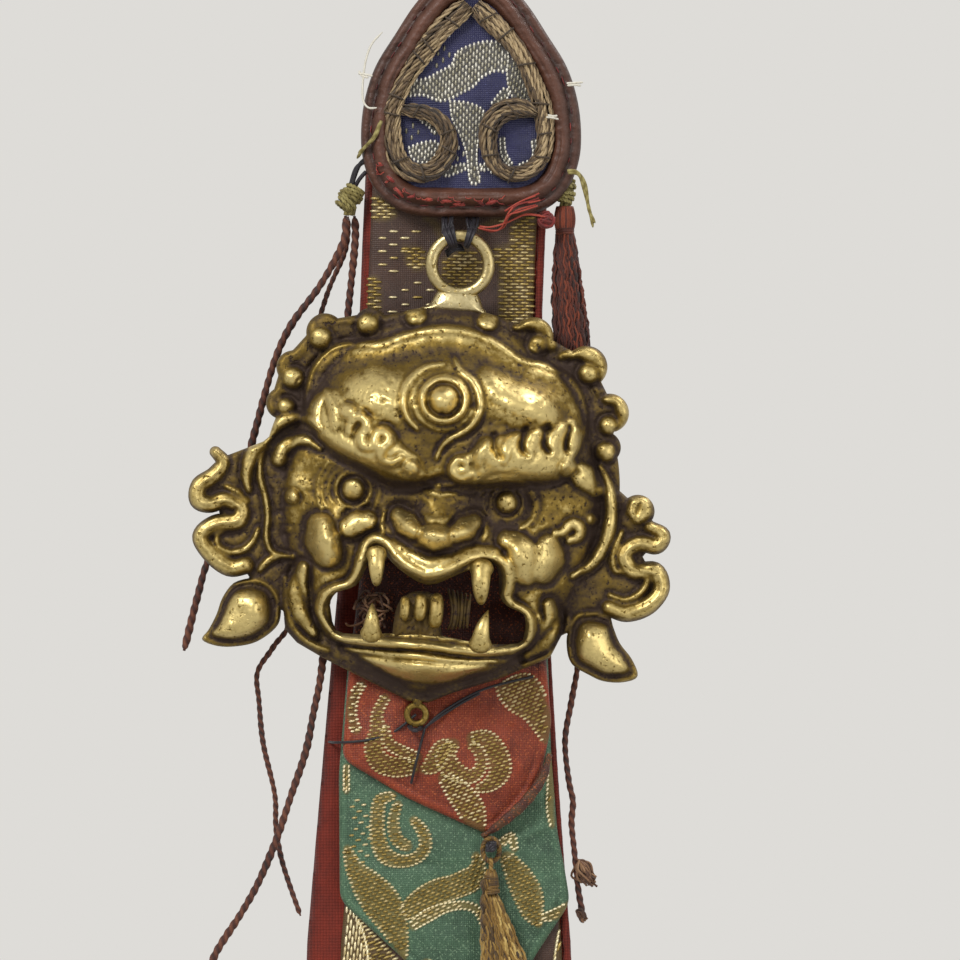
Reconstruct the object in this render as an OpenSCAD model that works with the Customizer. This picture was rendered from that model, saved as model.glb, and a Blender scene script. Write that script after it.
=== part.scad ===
// Hanging banner with a cast brass guardian mask tied to it.
// Seen from the front: X runs to the right, Z up, and the front faces -Y.
// The origin is the centre of the hanging ring's hole. Sizes are in millimetres.

/* [Hanging ring] */
// Radius of the hole that a nail or hook goes through
ring_bore_r = 5; // [4:0.5:8]
// Width of the flat land inside the hole
ring_land_w = 1.2; // [0.8:0.1:1.4]
// Radius of the ring's wire
ring_wire_r = 1; // [0.8:0.1:1.3]
// Radius of the straight bar under the ring
bar_r = 0.8; // [0.6:0.1:1]
// Free height between the ring and the bar
bar_drop = 1.5; // [1.4:0.1:3]

/* [Leather tab] */
// Width of the tab that wraps the bar
tab_w = 5; // [3:0.5:7]
// Thickness of one ply of the tab
tab_ply_t = 0.9; // [0.6:0.1:1]
// How far the tab runs down behind the patch
tab_tail = 14; // [10:1:15]
// Running clearance of the tab round the bar
tab_clear = 0.15; // [0.1:0.05:0.3]

/* [Leather patch] */
// Width of the patch at its widest
patch_w = 30.6; // [28:0.2:34]
// Height of the patch from its straight foot to its point
patch_h = 34.8; // [32:0.2:38]
// Thickness of the patch's leather
patch_t = 2.2; // [1.6:0.1:2.6]
// Bare margin of leather outside the rolled rim
rim_margin = 0.9; // [0.8:0.1:1.2]
// Width of the rolled rim
rim_w = 3; // [2.6:0.1:3.2]
// How far the rolled rim stands up
rim_h = 2.4; // [1.8:0.1:2.8]
// Thickness of the brocade inlay
inlay_t = 0.6; // [0.4:0.1:0.8]
// Width of the couched cord laid on the inlay
couch_w = 2.4; // [1.8:0.1:2.4]
// Height of the couched cord
couch_h = 1.5; // [1:0.1:1.8]
// Length of one stitch round the rim
stitch_l = 1.4; // [1:0.1:1.8]
// Thickness of the stitching thread
stitch_d = 0.5; // [0.4:0.05:0.6]

/* [Strip] */
// Width of the strip above the mask
strip_neck_w = 25.5; // [24.5:0.5:27]
// Width of the strip near its foot
strip_foot_w = 37; // [35:0.5:40]
// How far the foot of the strip has drifted to the left
strip_drift = 3; // [0:0.5:4]
// Thickness of the wadded strip without its brocade
strip_t = 4; // [3:0.1:5]
// Thickness of the red cloth round the wadding
backing_t = 0.8; // [0.6:0.1:1]
// Thickness of the gold and brown brocade on the front
ground_t = 0.6; // [0.4:0.1:0.8]
// Red margin on the left of the brocade, near the foot
margin_left = 4.5; // [3:0.1:5]
// Red piping left bare on the right of the brocade
margin_right = 1; // [0.8:0.1:1.5]

/* [Tongues] */
// Thickness of the green tongue
green_t = 1.3; // [1:0.1:1.6]
// Thickness of the red tongue
red_t = 1.5; // [1.2:0.1:1.8]
// How far the tongues' edges are rolled
tongue_roll = 1.6; // [1:0.1:2]

/* [Mask] */
// How far the mask leans clockwise, in degrees
mask_roll = 4.9; // [0:0.1:8]
// Thickness of the cast edge round the mask
flange_t = 2.2; // [1.8:0.1:2.8]
// How far the middle of the face rises above the edge
face_rise = 6; // [5:0.1:7]
// Wall of the hollow back
mask_wall = 2; // [1.6:0.1:2.4]
// Gap between the mask and the cloth that it lies on
seat_gap = 0.3; // [0.3:0.05:0.6]
// Radius of the hole in the mask's own ring
mask_ring_bore_r = 3.1; // [2.9:0.1:3.3]
// Radius of the wire of the mask's own ring
mask_ring_wire_r = 0.85; // [0.7:0.05:0.95]
// Radius of the hole in the chin ring
chin_bore_r = 0.85; // [0.8:0.05:1]
// Radius of the wire of the chin ring
chin_wire_r = 0.45; // [0.35:0.05:0.5]
// Slack of the thread that holds the chin
chin_slack = 3; // [2:0.1:4]
// Thickness of the waxed thread of the ties
thread_d = 0.5; // [0.4:0.05:0.6]

/* [Tassels] */
// Length of a tassel's skirt
skirt_l = 18; // [14:0.5:20]
// Width of a tassel's skirt at its foot
skirt_w = 8; // [6:0.2:9]
// Depth of a tassel's skirt at its foot
skirt_d = 3.2; // [2.4:0.1:3.4]
// Radius of a tassel's bound head
head_r = 1.4; // [1.2:0.1:1.5]
// Radius of the sewn peg that a tassel hangs on
peg_r = 0.5; // [0.4:0.05:0.6]
// Thickness of a tassel's hanging loop
loop_d = 0.7; // [0.6:0.05:0.8]
// Running clearance in a tassel's loops
loop_clear = 0.15; // [0.1:0.05:0.2]

/* [Cords] */
// Thickness of the two thick cords on the left
cord_d = 1.1; // [0.9:0.05:1.1]
// Thickness of the thin cord on the left
thin_cord_d = 0.8; // [0.7:0.05:0.9]
// Thickness of the cord on the right
right_cord_d = 0.9; // [0.8:0.05:1]
// Radius of the knots that the side cords hang from
knot_r = 1.9; // [1.7:0.1:2.1]

/* [Hidden] */

// Heights of the hanging parts
ring_outer_r = ring_bore_r + ring_wire_r + sqrt(pow(ring_wire_r, 2) - pow(ring_land_w / 2, 2));
tab_inner_r = bar_r + tab_clear;
tab_outer_r = tab_inner_r + tab_ply_t;
bar_z = -ring_outer_r - bar_drop - bar_r;
post_x = tab_w / 2 + 0.4 + bar_r;
// How far the strip leans back under its ring, in degrees: the cast mask is heavier than
// all the rest and lies in front, so this puts the weight straight below the bar
hang_lean = 5.24;
patch_top_z = -12;
patch_foot_z = patch_top_z - patch_h;

// Layers of the banner, each a distance towards the front from the ring's plane
patch_back = tab_ply_t;
ground_front = patch_back;
strip_front = ground_front - ground_t;
green_front = ground_front + green_t;
red_front = green_front + red_t;
mask_back = red_front + seat_gap;
patch_front = patch_back + patch_t;
inlay_front = patch_front + inlay_t;

// Heights along the strip
strip_top_z = -30;
strip_neck_z = -60;
strip_foot_z = -149;
strip_corner_z = -164;
strip_tip_z = -191.5;
strip_top_x = -1.5;

// Place of the mask, and places on it
mask_x = -4.3;
mask_z = -86;
mask_top = 26.6;
mask_foot = -28;
ring_up = mask_top + 1.3 + mask_ring_wire_r * 2 + mask_ring_bore_r;
chin_x = -0.7;
chin_down = mask_foot - chin_bore_r - chin_wire_r * 2;

// Small helpers
function unit(v) = v / norm(v);
function left_of(v) = [-v[1], v[0]];
function mix(a, b, t) = a + (b - a) * t;
function clamp01(t) = max(0, min(1, t));

// Moves every edge of an anticlockwise outline inwards by d
function inset(pts, d) = let (n = len(pts)) [
    for (i = [0:n - 1])
        let (
            nu = left_of(unit(pts[i] - pts[(i + n - 1) % n])),
            nv = left_of(unit(pts[(i + 1) % n] - pts[i])),
            m = unit(nu + nv)
        )
        pts[i] + m * d / max(0.5, m * nu)
];

function at_height(pts, h) = [for (p = pts) [p[0], p[1], h]];

// One point on a smooth curve through b and c, with a and d beside them
function spline_at(a, b, c, d, t) = 0.5 * (2 * b + (c - a) * t
    + (2 * a - 5 * b + 4 * c - d) * t * t + (3 * b - a - 3 * c + d) * t * t * t);

// A smooth curve through a route's points, with k steps between neighbours
function smooth(pts, k) = let (n = len(pts)) [
    for (i = [0:n - 2], j = [0:k - 1])
        spline_at(pts[max(0, i - 1)], pts[i], pts[i + 1], pts[min(n - 1, i + 2)], j / k),
    pts[n - 1]
];

// The direction of a route at its point i
function heading(pts, i) = unit(pts[min(len(pts) - 1, i + 1)] - pts[max(0, i - 1)]);

// Builds on the XY plane and stands it up, so that what was up faces the front
module facing(h = 0) {
    translate([0, -h, 0]) rotate([90, 0, 0]) children();
}

// A closed solid through rings of points, each ring anticlockwise seen from above
module loft(rings) {
    n = len(rings[0]);
    k = len(rings);
    polyhedron(
        points = [for (r = rings) each r],
        faces = [
            [for (j = [0:n - 1]) j],
            for (i = [0:k - 2], j = [0:n - 1])
                [i * n + j, (i + 1) * n + j, (i + 1) * n + (j + 1) % n],
            for (i = [0:k - 2], j = [0:n - 1])
                [i * n + j, (i + 1) * n + (j + 1) % n, i * n + (j + 1) % n],
            [for (j = [n - 1:-1:0]) (k - 1) * n + j]
        ]
    );
}

// A padded piece of cloth on an outline: drawn-in side and rolled edge
module pad(pts, t, roll) {
    profile = [[0.12, 0], [0, 0.35], [0.12, 0.7], [0.45, 0.93], [1, 1], [2, 1]];
    loft([for (p = profile) at_height(inset(pts, p[0] * roll), p[1] * t)]);
}

// A tube with s sides along a route; half is its half width and half height
module tube(pts, half, s = 8) {
    up = [0, 0, 1];
    loft([
        for (i = [0:len(pts) - 1])
            let (
                d = heading(pts, i),
                side = unit(cross(d, up)),
                over = cross(side, d)
            )
            [for (j = [0:s - 1])
                let (a = -360 * (j + 0.5) / s)
                pts[i] + side * half[0] * cos(a) + over * half[1] * sin(a)]
    ]);
}

// A round free cord; its route runs mostly downwards
module free_cord(pts, d, s = 8) {
    loft([
        for (i = [0:len(pts) - 1])
            let (
                run = (i == 0 || i == len(pts) - 1) ? [0, 0, -1] : heading(pts, i),
                side = unit(cross([0, 1, 0], run)),
                over = cross(run, side)
            )
            [for (j = [0:s - 1])
                let (a = 360 * (j + 0.5) / s)
                pts[i] + side * cos(a) * d / 2 + over * sin(a) * d / 2]
    ]);
}

// A ring of round wire lying on the XY plane, exact all round
module wire_ring(bore_r, wire_r) {
    rotate_extrude($fn = 64)
        translate([bore_r + wire_r, 0])
            circle(r = wire_r, $fn = 32);
}

// Turns what hangs from the ring's bar into its balance
module hung() {
    translate([0, 0, bar_z]) rotate([hang_lean, 0, 0]) translate([0, 0, -bar_z]) children();
}

// Hanging ring: a round ring with a flat land inside, two posts and a straight bar
module hanging_ring() {
    wire_x = ring_bore_r + sqrt(pow(ring_wire_r, 2) - pow(ring_land_w / 2, 2));
    post_top = -sqrt(pow(wire_x, 2) - pow(post_x, 2));
    color("darkgoldenrod") union() {
        rotate([90, 0, 0])
            rotate_extrude($fn = 96)
                intersection() {
                    translate([wire_x, 0]) circle(r = ring_wire_r, $fn = 48);
                    translate([ring_bore_r, -ring_wire_r])
                        square([2 * ring_wire_r + 1, 2 * ring_wire_r]);
                }
        for (side = [-1, 1])
            translate([side * post_x, 0, bar_z])
                cylinder(r = bar_r, h = post_top - bar_z, $fn = 32);
        translate([-post_x, 0, bar_z])
            rotate([0, 90, 0])
                cylinder(r = bar_r, h = 2 * post_x, $fn = 32);
        for (side = [-1, 1])
            translate([side * post_x, 0, bar_z]) sphere(r = bar_r, $fn = 32);
    }
}

// Leather tab: one strap folded round the bar, its two plies sewn behind the patch
module hanging_tab() {
    tail_top = -tab_outer_r * 0.2;
    color("saddlebrown")
        translate([-tab_w / 2, 0, bar_z])
            rotate([90, 0, 90])
                linear_extrude(height = tab_w)
                    difference() {
                        union() {
                            circle(r = tab_outer_r, $fn = 64);
                            translate([-tab_ply_t, tail_top - tab_tail])
                                square([2 * tab_ply_t, tab_tail]);
                        }
                        circle(r = tab_inner_r, $fn = 64);
                    }
}

// The patch's outline: a pointed arch on a round foot. Each point gives a share of the
// half width and a share of the height, from the middle of the foot up to the point.
patch_shape = [
    [0, 0], [0.45, 0.005], [0.7, 0.04], [0.87, 0.11], [0.97, 0.21], [1, 0.32], [0.97, 0.46],
    [0.87, 0.6], [0.69, 0.73], [0.51, 0.85], [0.31, 0.94], [0, 1]
];
patch_side = smooth([
    for (p = patch_shape) [p[0] * patch_w / 2, patch_foot_z + p[1] * patch_h]
], 2);
function patch_outline() = [
    each patch_side,
    for (i = [len(patch_side) - 2:-1:1]) [-patch_side[i][0], patch_side[i][1]]
];

module patch_base() {
    color("saddlebrown")
        facing(patch_back)
            linear_extrude(height = patch_t)
                polygon(patch_outline());
}

// Rolled leather rim round the patch, a closed bead of leather on the margin
module patch_rim() {
    outer = inset(patch_outline(), rim_margin);
    profile = [[0, 0], [0.08, 0.55], [0.3, 0.92], [0.55, 1], [0.85, 0.75], [1, 0]];
    n = len(outer);
    k = len(profile);
    color("sienna")
        facing(patch_front)
            polyhedron(
                points = [
                    for (p = profile) each at_height(inset(outer, p[0] * rim_w), p[1] * rim_h)
                ],
                faces = [
                    for (i = [0:k - 1], j = [0:n - 1]) each [
                        [i * n + j, ((i + 1) % k) * n + j, ((i + 1) % k) * n + (j + 1) % n],
                        [i * n + j, ((i + 1) % k) * n + (j + 1) % n, i * n + (j + 1) % n]
                    ]
                ]
            );
}

module patch_inlay() {
    color("midnightblue")
        facing(patch_front)
            linear_extrude(height = inlay_t)
                polygon(inset(patch_outline(), rim_margin + rim_w));
}

// Route of one couched cord: down the side of the arch and round into a curl, in
// shares of the room that the rim leaves
couch_route = [
    [0.12, 1], [0.4, 0.9], [0.65, 0.76], [0.82, 0.6], [0.93, 0.42], [0.97, 0.24],
    [0.87, 0.08], [0.64, 0.02], [0.4, 0.07], [0.29, 0.2], [0.36, 0.33], [0.56, 0.38], [0.7, 0.35]
];
couch_in = rim_margin + rim_w + couch_w / 2;
couch_foot_z = patch_foot_z + couch_in + 1;
couch_top_z = patch_top_z - couch_in - 1.8;
module couched_cord(side) {
    route = smooth([
        for (p = couch_route)
            [side * p[0] * (patch_w / 2 - couch_in), mix(couch_foot_z, couch_top_z, p[1]),
                inlay_front + couch_h / 2]
    ], 2);
    color("tan")
        facing()
            tube(route, [couch_w / 2, couch_h / 2]);
}
module couched_cord_left() { couched_cord(-1); }
module couched_cord_right() { couched_cord(1); }

// Running stitches on the bare margin round the rim, one on each side of the outline
module rim_stitches() {
    line = inset(patch_outline(), rim_margin / 2);
    n = len(line);
    color("firebrick")
        facing(patch_front)
            for (i = [0:n - 1])
                let (a = line[i], b = line[(i + 1) % n])
                translate((a + b) / 2)
                    rotate([0, 0, atan2(b[1] - a[1], b[0] - a[0])])
                        translate([-stitch_l / 2, -stitch_d / 2, 0])
                            cube([stitch_l, stitch_d, stitch_d * 0.7]);
}

// The strip: its half width and its middle at each height
function strip_half(z) = mix(strip_neck_w, strip_foot_w,
    pow(clamp01((z - strip_neck_z) / (strip_foot_z - strip_neck_z)), 1.3)) / 2;
function strip_mid(z) = let (t = clamp01((z - strip_top_z) / (strip_foot_z - strip_top_z)))
    strip_top_x - strip_drift * (1 - pow(1 - t, 2));
function strip_left_margin(z) = mix(backing_t, margin_left,
    clamp01((z - strip_neck_z) / (-109 - strip_neck_z)));
strip_heights = [
    strip_top_z, -45, strip_neck_z, -75, -90, -105, -120, -135, strip_foot_z, strip_corner_z
];
function on_strip(shape) = [
    for (p = shape) [strip_mid(p[1]) + p[0] * strip_half(p[1]), p[1]]
];

// Outline of the strip, less a share of its left margin and a right margin
function strip_outline(left_share, right) = [
    [strip_mid(strip_tip_z), strip_tip_z + right],
    for (i = [len(strip_heights) - 1:-1:0])
        let (z = strip_heights[i]) [strip_mid(z) + strip_half(z) - right, z],
    for (z = strip_heights)
        [strip_mid(z) - strip_half(z) + left_share * strip_left_margin(z), z]
];

// Red cloth bag round the wadding, with soft rolled edges
module red_backing() {
    outline = strip_outline(0, 0);
    color("firebrick")
        facing(strip_front - strip_t)
            difference() {
                loft([
                    at_height(inset(outline, 0.7), 0),
                    at_height(inset(outline, 0.2), 0.2 * strip_t),
                    at_height(outline, 0.5 * strip_t),
                    at_height(inset(outline, 0.15), 0.8 * strip_t),
                    at_height(inset(outline, 0.6), strip_t)
                ]);
                translate([0, 0, backing_t])
                    linear_extrude(height = strip_t - 2 * backing_t)
                        polygon(inset(outline, backing_t + 0.7));
            }
}

module wadded_core() {
    color("linen")
        facing(strip_front - strip_t + backing_t)
            linear_extrude(height = strip_t - 2 * backing_t)
                polygon(inset(strip_outline(0, 0), backing_t + 0.7));
}

module ground_brocade() {
    color("rosybrown")
        facing(strip_front)
            linear_extrude(height = ground_t)
                polygon(inset(strip_outline(1, margin_right), 0.3));
}

// Padded tongues: sewn flat at their hidden tops, pointed at their tips. Each point
// gives a share of the strip's half width from its middle, and a height.
green_shape = [
    [0.26, -160], [0.59, -153.5], [0.76, -148.4], [0.92, -144.4], [1.02, -142], [0.99, -136],
    [0.96, -132.4], [0.95, -121.4], [0.97, -104], [-0.84, -104], [-0.85, -124],
    [-0.77, -141.6], [-0.3, -149.2], [-0.01, -154.5]
];
green_outline = on_strip(green_shape);
module green_tongue() {
    color("seagreen")
        facing(ground_front)
            pad(green_outline, green_t, tongue_roll);
}

red_shape = [
    [0.42, -132.6], [0.71, -128.2], [0.86, -123.6], [0.97, -117], [0.95, -109.3],
    [0.95, -93], [-0.78, -93], [-0.83, -110], [-0.83, -121.9], [-0.27, -127.3]
];
red_outline = on_strip(red_shape);
module red_tongue() {
    color("orangered")
        facing(green_front)
            pad(red_outline, red_t, tongue_roll);
}

// Puts a piece of the mask in its place, built with the face up on the XY plane
module on_mask() {
    translate([mask_x, -mask_back, mask_z])
        rotate([0, mask_roll, 0])
            rotate([90, 0, 0])
                children();
}

// Swellings of the face: place, half widths and height
swellings = [
    [-10, 13, 7, 5, 4.2], [11, 14, 7, 5, 4.2], [-9, 6, 6, 3, 3.8], [9, 6.6, 7, 3, 3.8],
    [-0.5, 13.7, 5, 5, 3.6], [0, 1, 4, 4, 2.2], [0, -4.6, 5.5, 2.4, 5.4],
    [-14.8, -6.4, 2.6, 4, 3.6], [12.5, -6.6, 4.2, 4, 3.6], [0, -9.4, 9, 3, 4],
    [-14.4, -16, 3, 4, 3], [14.2, -16, 3, 4, 3], [0, -20, 11, 2.6, 3.8],
    [0, -23, 6, 2.6, 5.2], [-11.9, 0.2, 3.6, 3, -1.8], [9.6, 0.4, 3.6, 3, -1.8]
];
function swell(s, x, y) =
    s[4] * exp(-pow((x - s[0]) / s[2], 2) - pow((y - s[1]) / s[3], 2));
function total(list, i = 0) = i == len(list) ? 0 : list[i] + total(list, i + 1);
function face_share(x, y) = clamp01(1.25 * (1 - pow(x / 21.5, 2) - pow((y - 0.3) / 25.6, 2)));
function face_h(x, y) = let (c = face_share(x, y))
    flange_t + face_rise * pow(c, 0.7) + (c == 0 ? 0 : pow(c, 0.4))
        * total([for (s = swellings) swell(s, x, y)]);

// A block with the relief as its upper side, on a grid of square cells
module relief(x0, x1, y0, y1, step, drop, low) {
    nx = round((x1 - x0) / step);
    ny = round((y1 - y0) / step);
    w = nx + 1;
    top = w * (ny + 1);
    polyhedron(
        points = [
            for (j = [0:ny], i = [0:nx])
                let (x = x0 + i * step, y = y0 + j * step)
                [x, y, max(low + 0.1, face_h(x, y) - drop)],
            [x0, y0, low], [x0 + nx * step, y0, low],
            [x0 + nx * step, y0 + ny * step, low], [x0, y0 + ny * step, low]
        ],
        faces = [
            for (j = [0:ny - 1], i = [0:nx - 1])
                let (a = j * w + i) each [[a, a + w, a + w + 1], [a, a + w + 1, a + 1]],
            [top, top + 1, top + 2, top + 3],
            [top + 1, top, for (i = [0:nx]) i],
            [top + 3, top + 2, for (i = [nx:-1:0]) ny * w + i],
            [top + 2, top + 1, for (j = [0:ny]) j * w + nx],
            [top, top + 3, for (j = [ny:-1:0]) j * w]
        ]
    );
}

// Beads round the halo: place and radius
halo_beads = [
    [-22.2, 11, 1.2], [-21.6, 15.2, 1.6], [-18.3, 21, 1.6], [-11.8, 23.5, 1.6], [-5.5, 25, 1.5],
    [4.5, 25, 1.5], [11.8, 23, 1.5], [19.2, 19.4, 1.7], [22.3, 12.7, 1.6], [22.1, 8.7, 1.5]
];
// Outer lobes of the halo: place and radius
halo_lobes = [
    [-22.9, 11.5, 2.2], [-21.8, 16.6, 2.3], [-17.8, 21.8, 2.6], [-11.6, 23.4, 2.3],
    [11, 23.6, 2.7], [18.6, 20.1, 2.9], [22.3, 14, 2.7], [22.1, 9.2, 2.2]
];

// Outline of the cast plate: face, jaw and chin
jaw_outline = [
    [-21.5, -10], [-19.8, -19.6], [-18, -21.3], [-14, -23.2], [-8, -25.6], [-2, mask_foot],
    [0.8, mask_foot], [4, -26.4], [10, -24], [17, -20.4], [20.5, -12]
];
module plate_outline() {
    intersection() {
        translate([0, 2]) circle(r = 24.7, $fn = 56);
        translate([-30, -25]) square([60, mask_top + 25]);
    }
    polygon(jaw_outline);
}

// Ribbons of flame beside the ears: a route with the ribbon's half width at each point
left_ribbon = [
    [-31.4, 4, 0.9], [-29.8, 2.6, 1.2], [-31.4, 0.7, 1.2], [-33.3, -0.6, 1.3], [-33.4, -2.7, 1.3],
    [-31.6, -3.4, 1.1], [-29.6, -2.2, 1.1], [-27.2, -3.3, 1.3], [-27.6, -5.2, 1.3],
    [-30.6, -5.9, 1.3], [-32.2, -7.8, 1.4], [-30.8, -10, 1.4], [-28.2, -11.3, 1.5],
    [-26, -10.6, 1.3]
];
right_ribbon = [
    [29.3, -1.3, 1], [31, -2.2, 1.3], [30.3, -3.7, 1.3], [27.8, -3.5, 1.2], [26, -5.3, 1.4],
    [27.4, -7.4, 1.2], [30.4, -7.4, 1.3], [31.4, -9.6, 1.3], [29.8, -12, 1.4], [27, -13.2, 1.4],
    [24.6, -12.8, 1.2]
];
left_web = [
    [-23, 8], [-25, 6], [-29.4, 3.4], [-32, -1], [-28, -4], [-30, -8], [-26, -12], [-24, -14.5],
    [-19, -18]
];
right_web = [
    [22, 8], [24.4, 3.6], [28.4, 0], [29, -3.6], [25.6, -5.6], [29.8, -10], [24.6, -13.6],
    [22, -15], [17, -18]
];

// A low loaf, the cross piece of the ribbons and ridges
module loaf(x, y, r, h) {
    translate([x, y, 0]) cylinder(r1 = r, r2 = r * 0.55, h = h, $fn = 8);
}
module ribbon(pts, h) {
    for (i = [0:len(pts) - 2])
        hull() {
            loaf(pts[i][0], pts[i][1], pts[i][2], h);
            loaf(pts[i + 1][0], pts[i + 1][1], pts[i + 1][2], h);
        }
}

// A raised ridge that follows the face
module ridge(pts, r, lift = 0) {
    for (i = [0:len(pts) - 2])
        hull()
            for (p = [pts[i], pts[i + 1]])
                translate([p[0], p[1], face_h(p[0], p[1]) + lift]) sphere(r = r, $fn = 6);
}
module bead(x, y, r, lift = 0, s = 10) {
    translate([x, y, face_h(x, y) + lift]) sphere(r = r, $fn = s);
}

forehead_rim = [
    [-19.6, 12], [-18.4, 17.2], [-15.2, 20.1], [-10, 21.2], [-5.5, 23.1], [0, 24], [5.5, 23.1],
    [9.4, 21.1], [12.8, 20], [16.2, 19.2], [18.7, 16.4], [19.5, 12.6]
];
upper_lip = [
    [-14.4, -14], [-11.5, -12.2], [-10.4, -8.6], [-8, -6], [-5.4, -7.8], [-0.6, -10.2],
    [3.4, -8.2], [7, -6.7], [9.8, -7.9], [10.4, -11], [13.6, -15], [13.5, -18], [10, -19.8]
];
lower_lip = [
    [-14.4, -14], [-15, -17.2], [-12.4, -19.7], [-6, -20.1], [2, -19.7], [10, -19.8]
];
left_ear = [[-23.6, 8.2], [-26, 4.6], [-26.8, 1], [-24.8, -1.6], [-23.2, -4], [-22.6, -8]];
right_ear = [[22.2, 6], [23.2, 1], [23, -2.4], [21.6, -6.2], [19.8, -8.3]];
swirl = [[0.8, 19.2], [3.6, 16.6], [4.8, 14], [4, 11], [1.6, 8.6], [-0.4, 6.8]];
eyes = [[-11.9, 0.3], [9.5, 0.4]];
third_eye = [-0.4, 13.7];
fangs = [[-7.4, -8.4, -7, -12.2], [6.6, -9, 6.8, -12.8], [-6.9, -18.7, -7, -15.2], [7, -18.7, 7.4, -15]];

// The open mouth, cut right through
mouth_outline = [
    [-13.9, -15.4], [-13, -13.8], [-10.4, -12.6], [-9.2, -10], [-8.4, -7.6], [-7.2, -7.6],
    [-4.6, -9.8], [-0.6, -11.6], [3.4, -9.8], [7, -8.1], [8.8, -8.8], [9.2, -12], [10.4, -13.6],
    [12.8, -14.6], [13.2, -16.8], [12.4, -18.8], [7, -19], [0, -18.3], [-6, -18.8], [-9, -19.3],
    [-12.8, -19.1]
];

// Teardrop beside the jaw: a flat plate with a swollen middle
module drop(centre, tip) {
    hull() {
        translate(centre) cylinder(r = 4.6, h = flange_t, $fn = 24);
        translate(tip) cylinder(r = 0.5, h = flange_t, $fn = 8);
    }
    hull() {
        translate([centre[0], centre[1], flange_t - 0.4]) cylinder(r1 = 3, r2 = 1.4, h = 3.2, $fn = 12);
        translate([mix(centre, tip, 0.72)[0], mix(centre, tip, 0.72)[1], flange_t - 0.4])
            cylinder(r1 = 0.6, r2 = 0.2, h = 1.2, $fn = 6);
    }
}

// The cast face: hollow behind, open at the mouth, with ribbons, beads and fangs
module mask_face() {
    color("goldenrod")
        on_mask()
            union() {
                difference() {
                    union() {
                        intersection() {
                            relief(-25, 25, -29, 27, 2, 0, 0);
                            linear_extrude(height = 30) plate_outline();
                        }
                        ridge(forehead_rim, 0.8);
                        ridge(upper_lip, 1, 0.6);
                        ridge(lower_lip, 1, 0.6);
                        ridge(left_ear, 0.8);
                        ridge(right_ear, 0.8);
                        ridge(swirl, 0.6, 0.2);
                        ridge([for (a = [0:36:360]) third_eye + 3.1 * [cos(a), sin(a)]], 0.6, 0.2);
                        ridge([for (a = [-60:40:240]) eyes[0] + 2.7 * [cos(a), sin(a)]], 0.5, 0.1);
                        ridge([for (a = [-60:40:240]) eyes[1] + 3.1 * [cos(a), sin(a)]], 0.5, 0.1);
                        bead(third_eye[0], third_eye[1], 1.8, 0.6, 12);
                        for (e = eyes) bead(e[0], e[1], 1.3, 0.9);
                        for (b = [[2.3, 4.8, 1.6], [6, 7.4, 1.3], [9.6, 8.8, 1.2], [13, 9.6, 1.2],
                            [15.8, 10.8, 1.2], [-4.3, 4.5, 1.2], [-8.6, 6.6, 1.6], [-12.6, 10.4, 1.3],
                            [-15.9, 11.6, 1.2]])
                            bead(b[0], b[1], b[2], 0.3, 8);
                        for (b = [[-4.6, -3.5, 1.7], [-0.2, -4.9, 1.8], [4, -3.5, 1.7],
                            [-14.8, -6.4, 1.9], [-10.8, -4.3, 1.5], [10.2, -5, 1.9],
                            [14.6, -6.4, 2], [13.2, -9.4, 2], [-1.4, -22.8, 2.2], [1.6, -22.8, 2.2]])
                            bead(b[0], b[1], b[2], 0, 8);
                        for (b = [[19.9, 4.3, 1.9], [18.6, -2, 1.3], [-21.8, 5, 1.3], [-20.1, -1.3, 1]])
                            bead(b[0], b[1], b[2], 0.3, 8);
                    }
                    intersection() {
                        relief(-21, 21, -25.5, 24.5, 2.5, mask_wall, -1);
                        translate([0, 0.4, -2]) scale([1, 1.13, 1]) cylinder(r = 20, h = 30, $fn = 32);
                    }
                    translate([0, 0, -1]) linear_extrude(height = 30) polygon(mouth_outline);
                }
                for (f = fangs)
                    hull() {
                        translate([f[0], f[1], 9]) sphere(r = 1, $fn = 8);
                        translate([f[0], f[1] + sign(f[1] - f[3]) * 1.2, 8.4]) sphere(r = 1, $fn = 8);
                        translate([f[2], f[3], 9.6]) sphere(r = 0.3, $fn = 6);
                    }
                translate([-4.6, -19.4, 6]) cube([6, 6.6, 3]);
                for (b = halo_lobes)
                    translate([b[0], b[1], 0]) cylinder(r = b[2], h = flange_t, $fn = 16);
                for (b = halo_beads) translate([b[0], b[1], flange_t]) sphere(r = b[2], $fn = 10);
                linear_extrude(height = flange_t * 0.8) polygon(left_web);
                linear_extrude(height = flange_t * 0.8) polygon(right_web);
                ribbon(left_ribbon, flange_t + 1.2);
                ribbon(right_ribbon, flange_t + 1.2);
                translate([27.4, 1, 0]) cylinder(r1 = 2.1, r2 = 1.4, h = flange_t + 1.2, $fn = 12);
                drop([-25, -17.6], [-30.8, -21.9]);
                drop([23.2, -18.2], [29, -21.8]);
                ridge([[-18.4, -11.8], [-18.2, -15], [-16.8, -18.4]], 1.1, 0.4);
                ridge([[17.3, -12.4], [17.8, -15], [16.6, -18.4]], 1.1, 0.4);
            }
}

// The mask's own ring, brazed on a saddle at the top of the halo
saddle_top = ring_up - mask_ring_bore_r - 0.4;
saddle = [[-3.8, mask_top], [3.8, mask_top], [2.6, saddle_top], [-2.6, saddle_top]];
module mask_ring() {
    color("darkgoldenrod")
        on_mask()
            translate([0, 0, mask_ring_wire_r])
                difference() {
                    union() {
                        translate([0, ring_up, 0]) wire_ring(mask_ring_bore_r, mask_ring_wire_r);
                        translate([0, 0, -mask_ring_wire_r * 0.8])
                            linear_extrude(height = mask_ring_wire_r * 1.6)
                                polygon(saddle);
                    }
                    translate([0, ring_up, -5]) cylinder(r = mask_ring_bore_r, h = 10, $fn = 64);
                }
}

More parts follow.
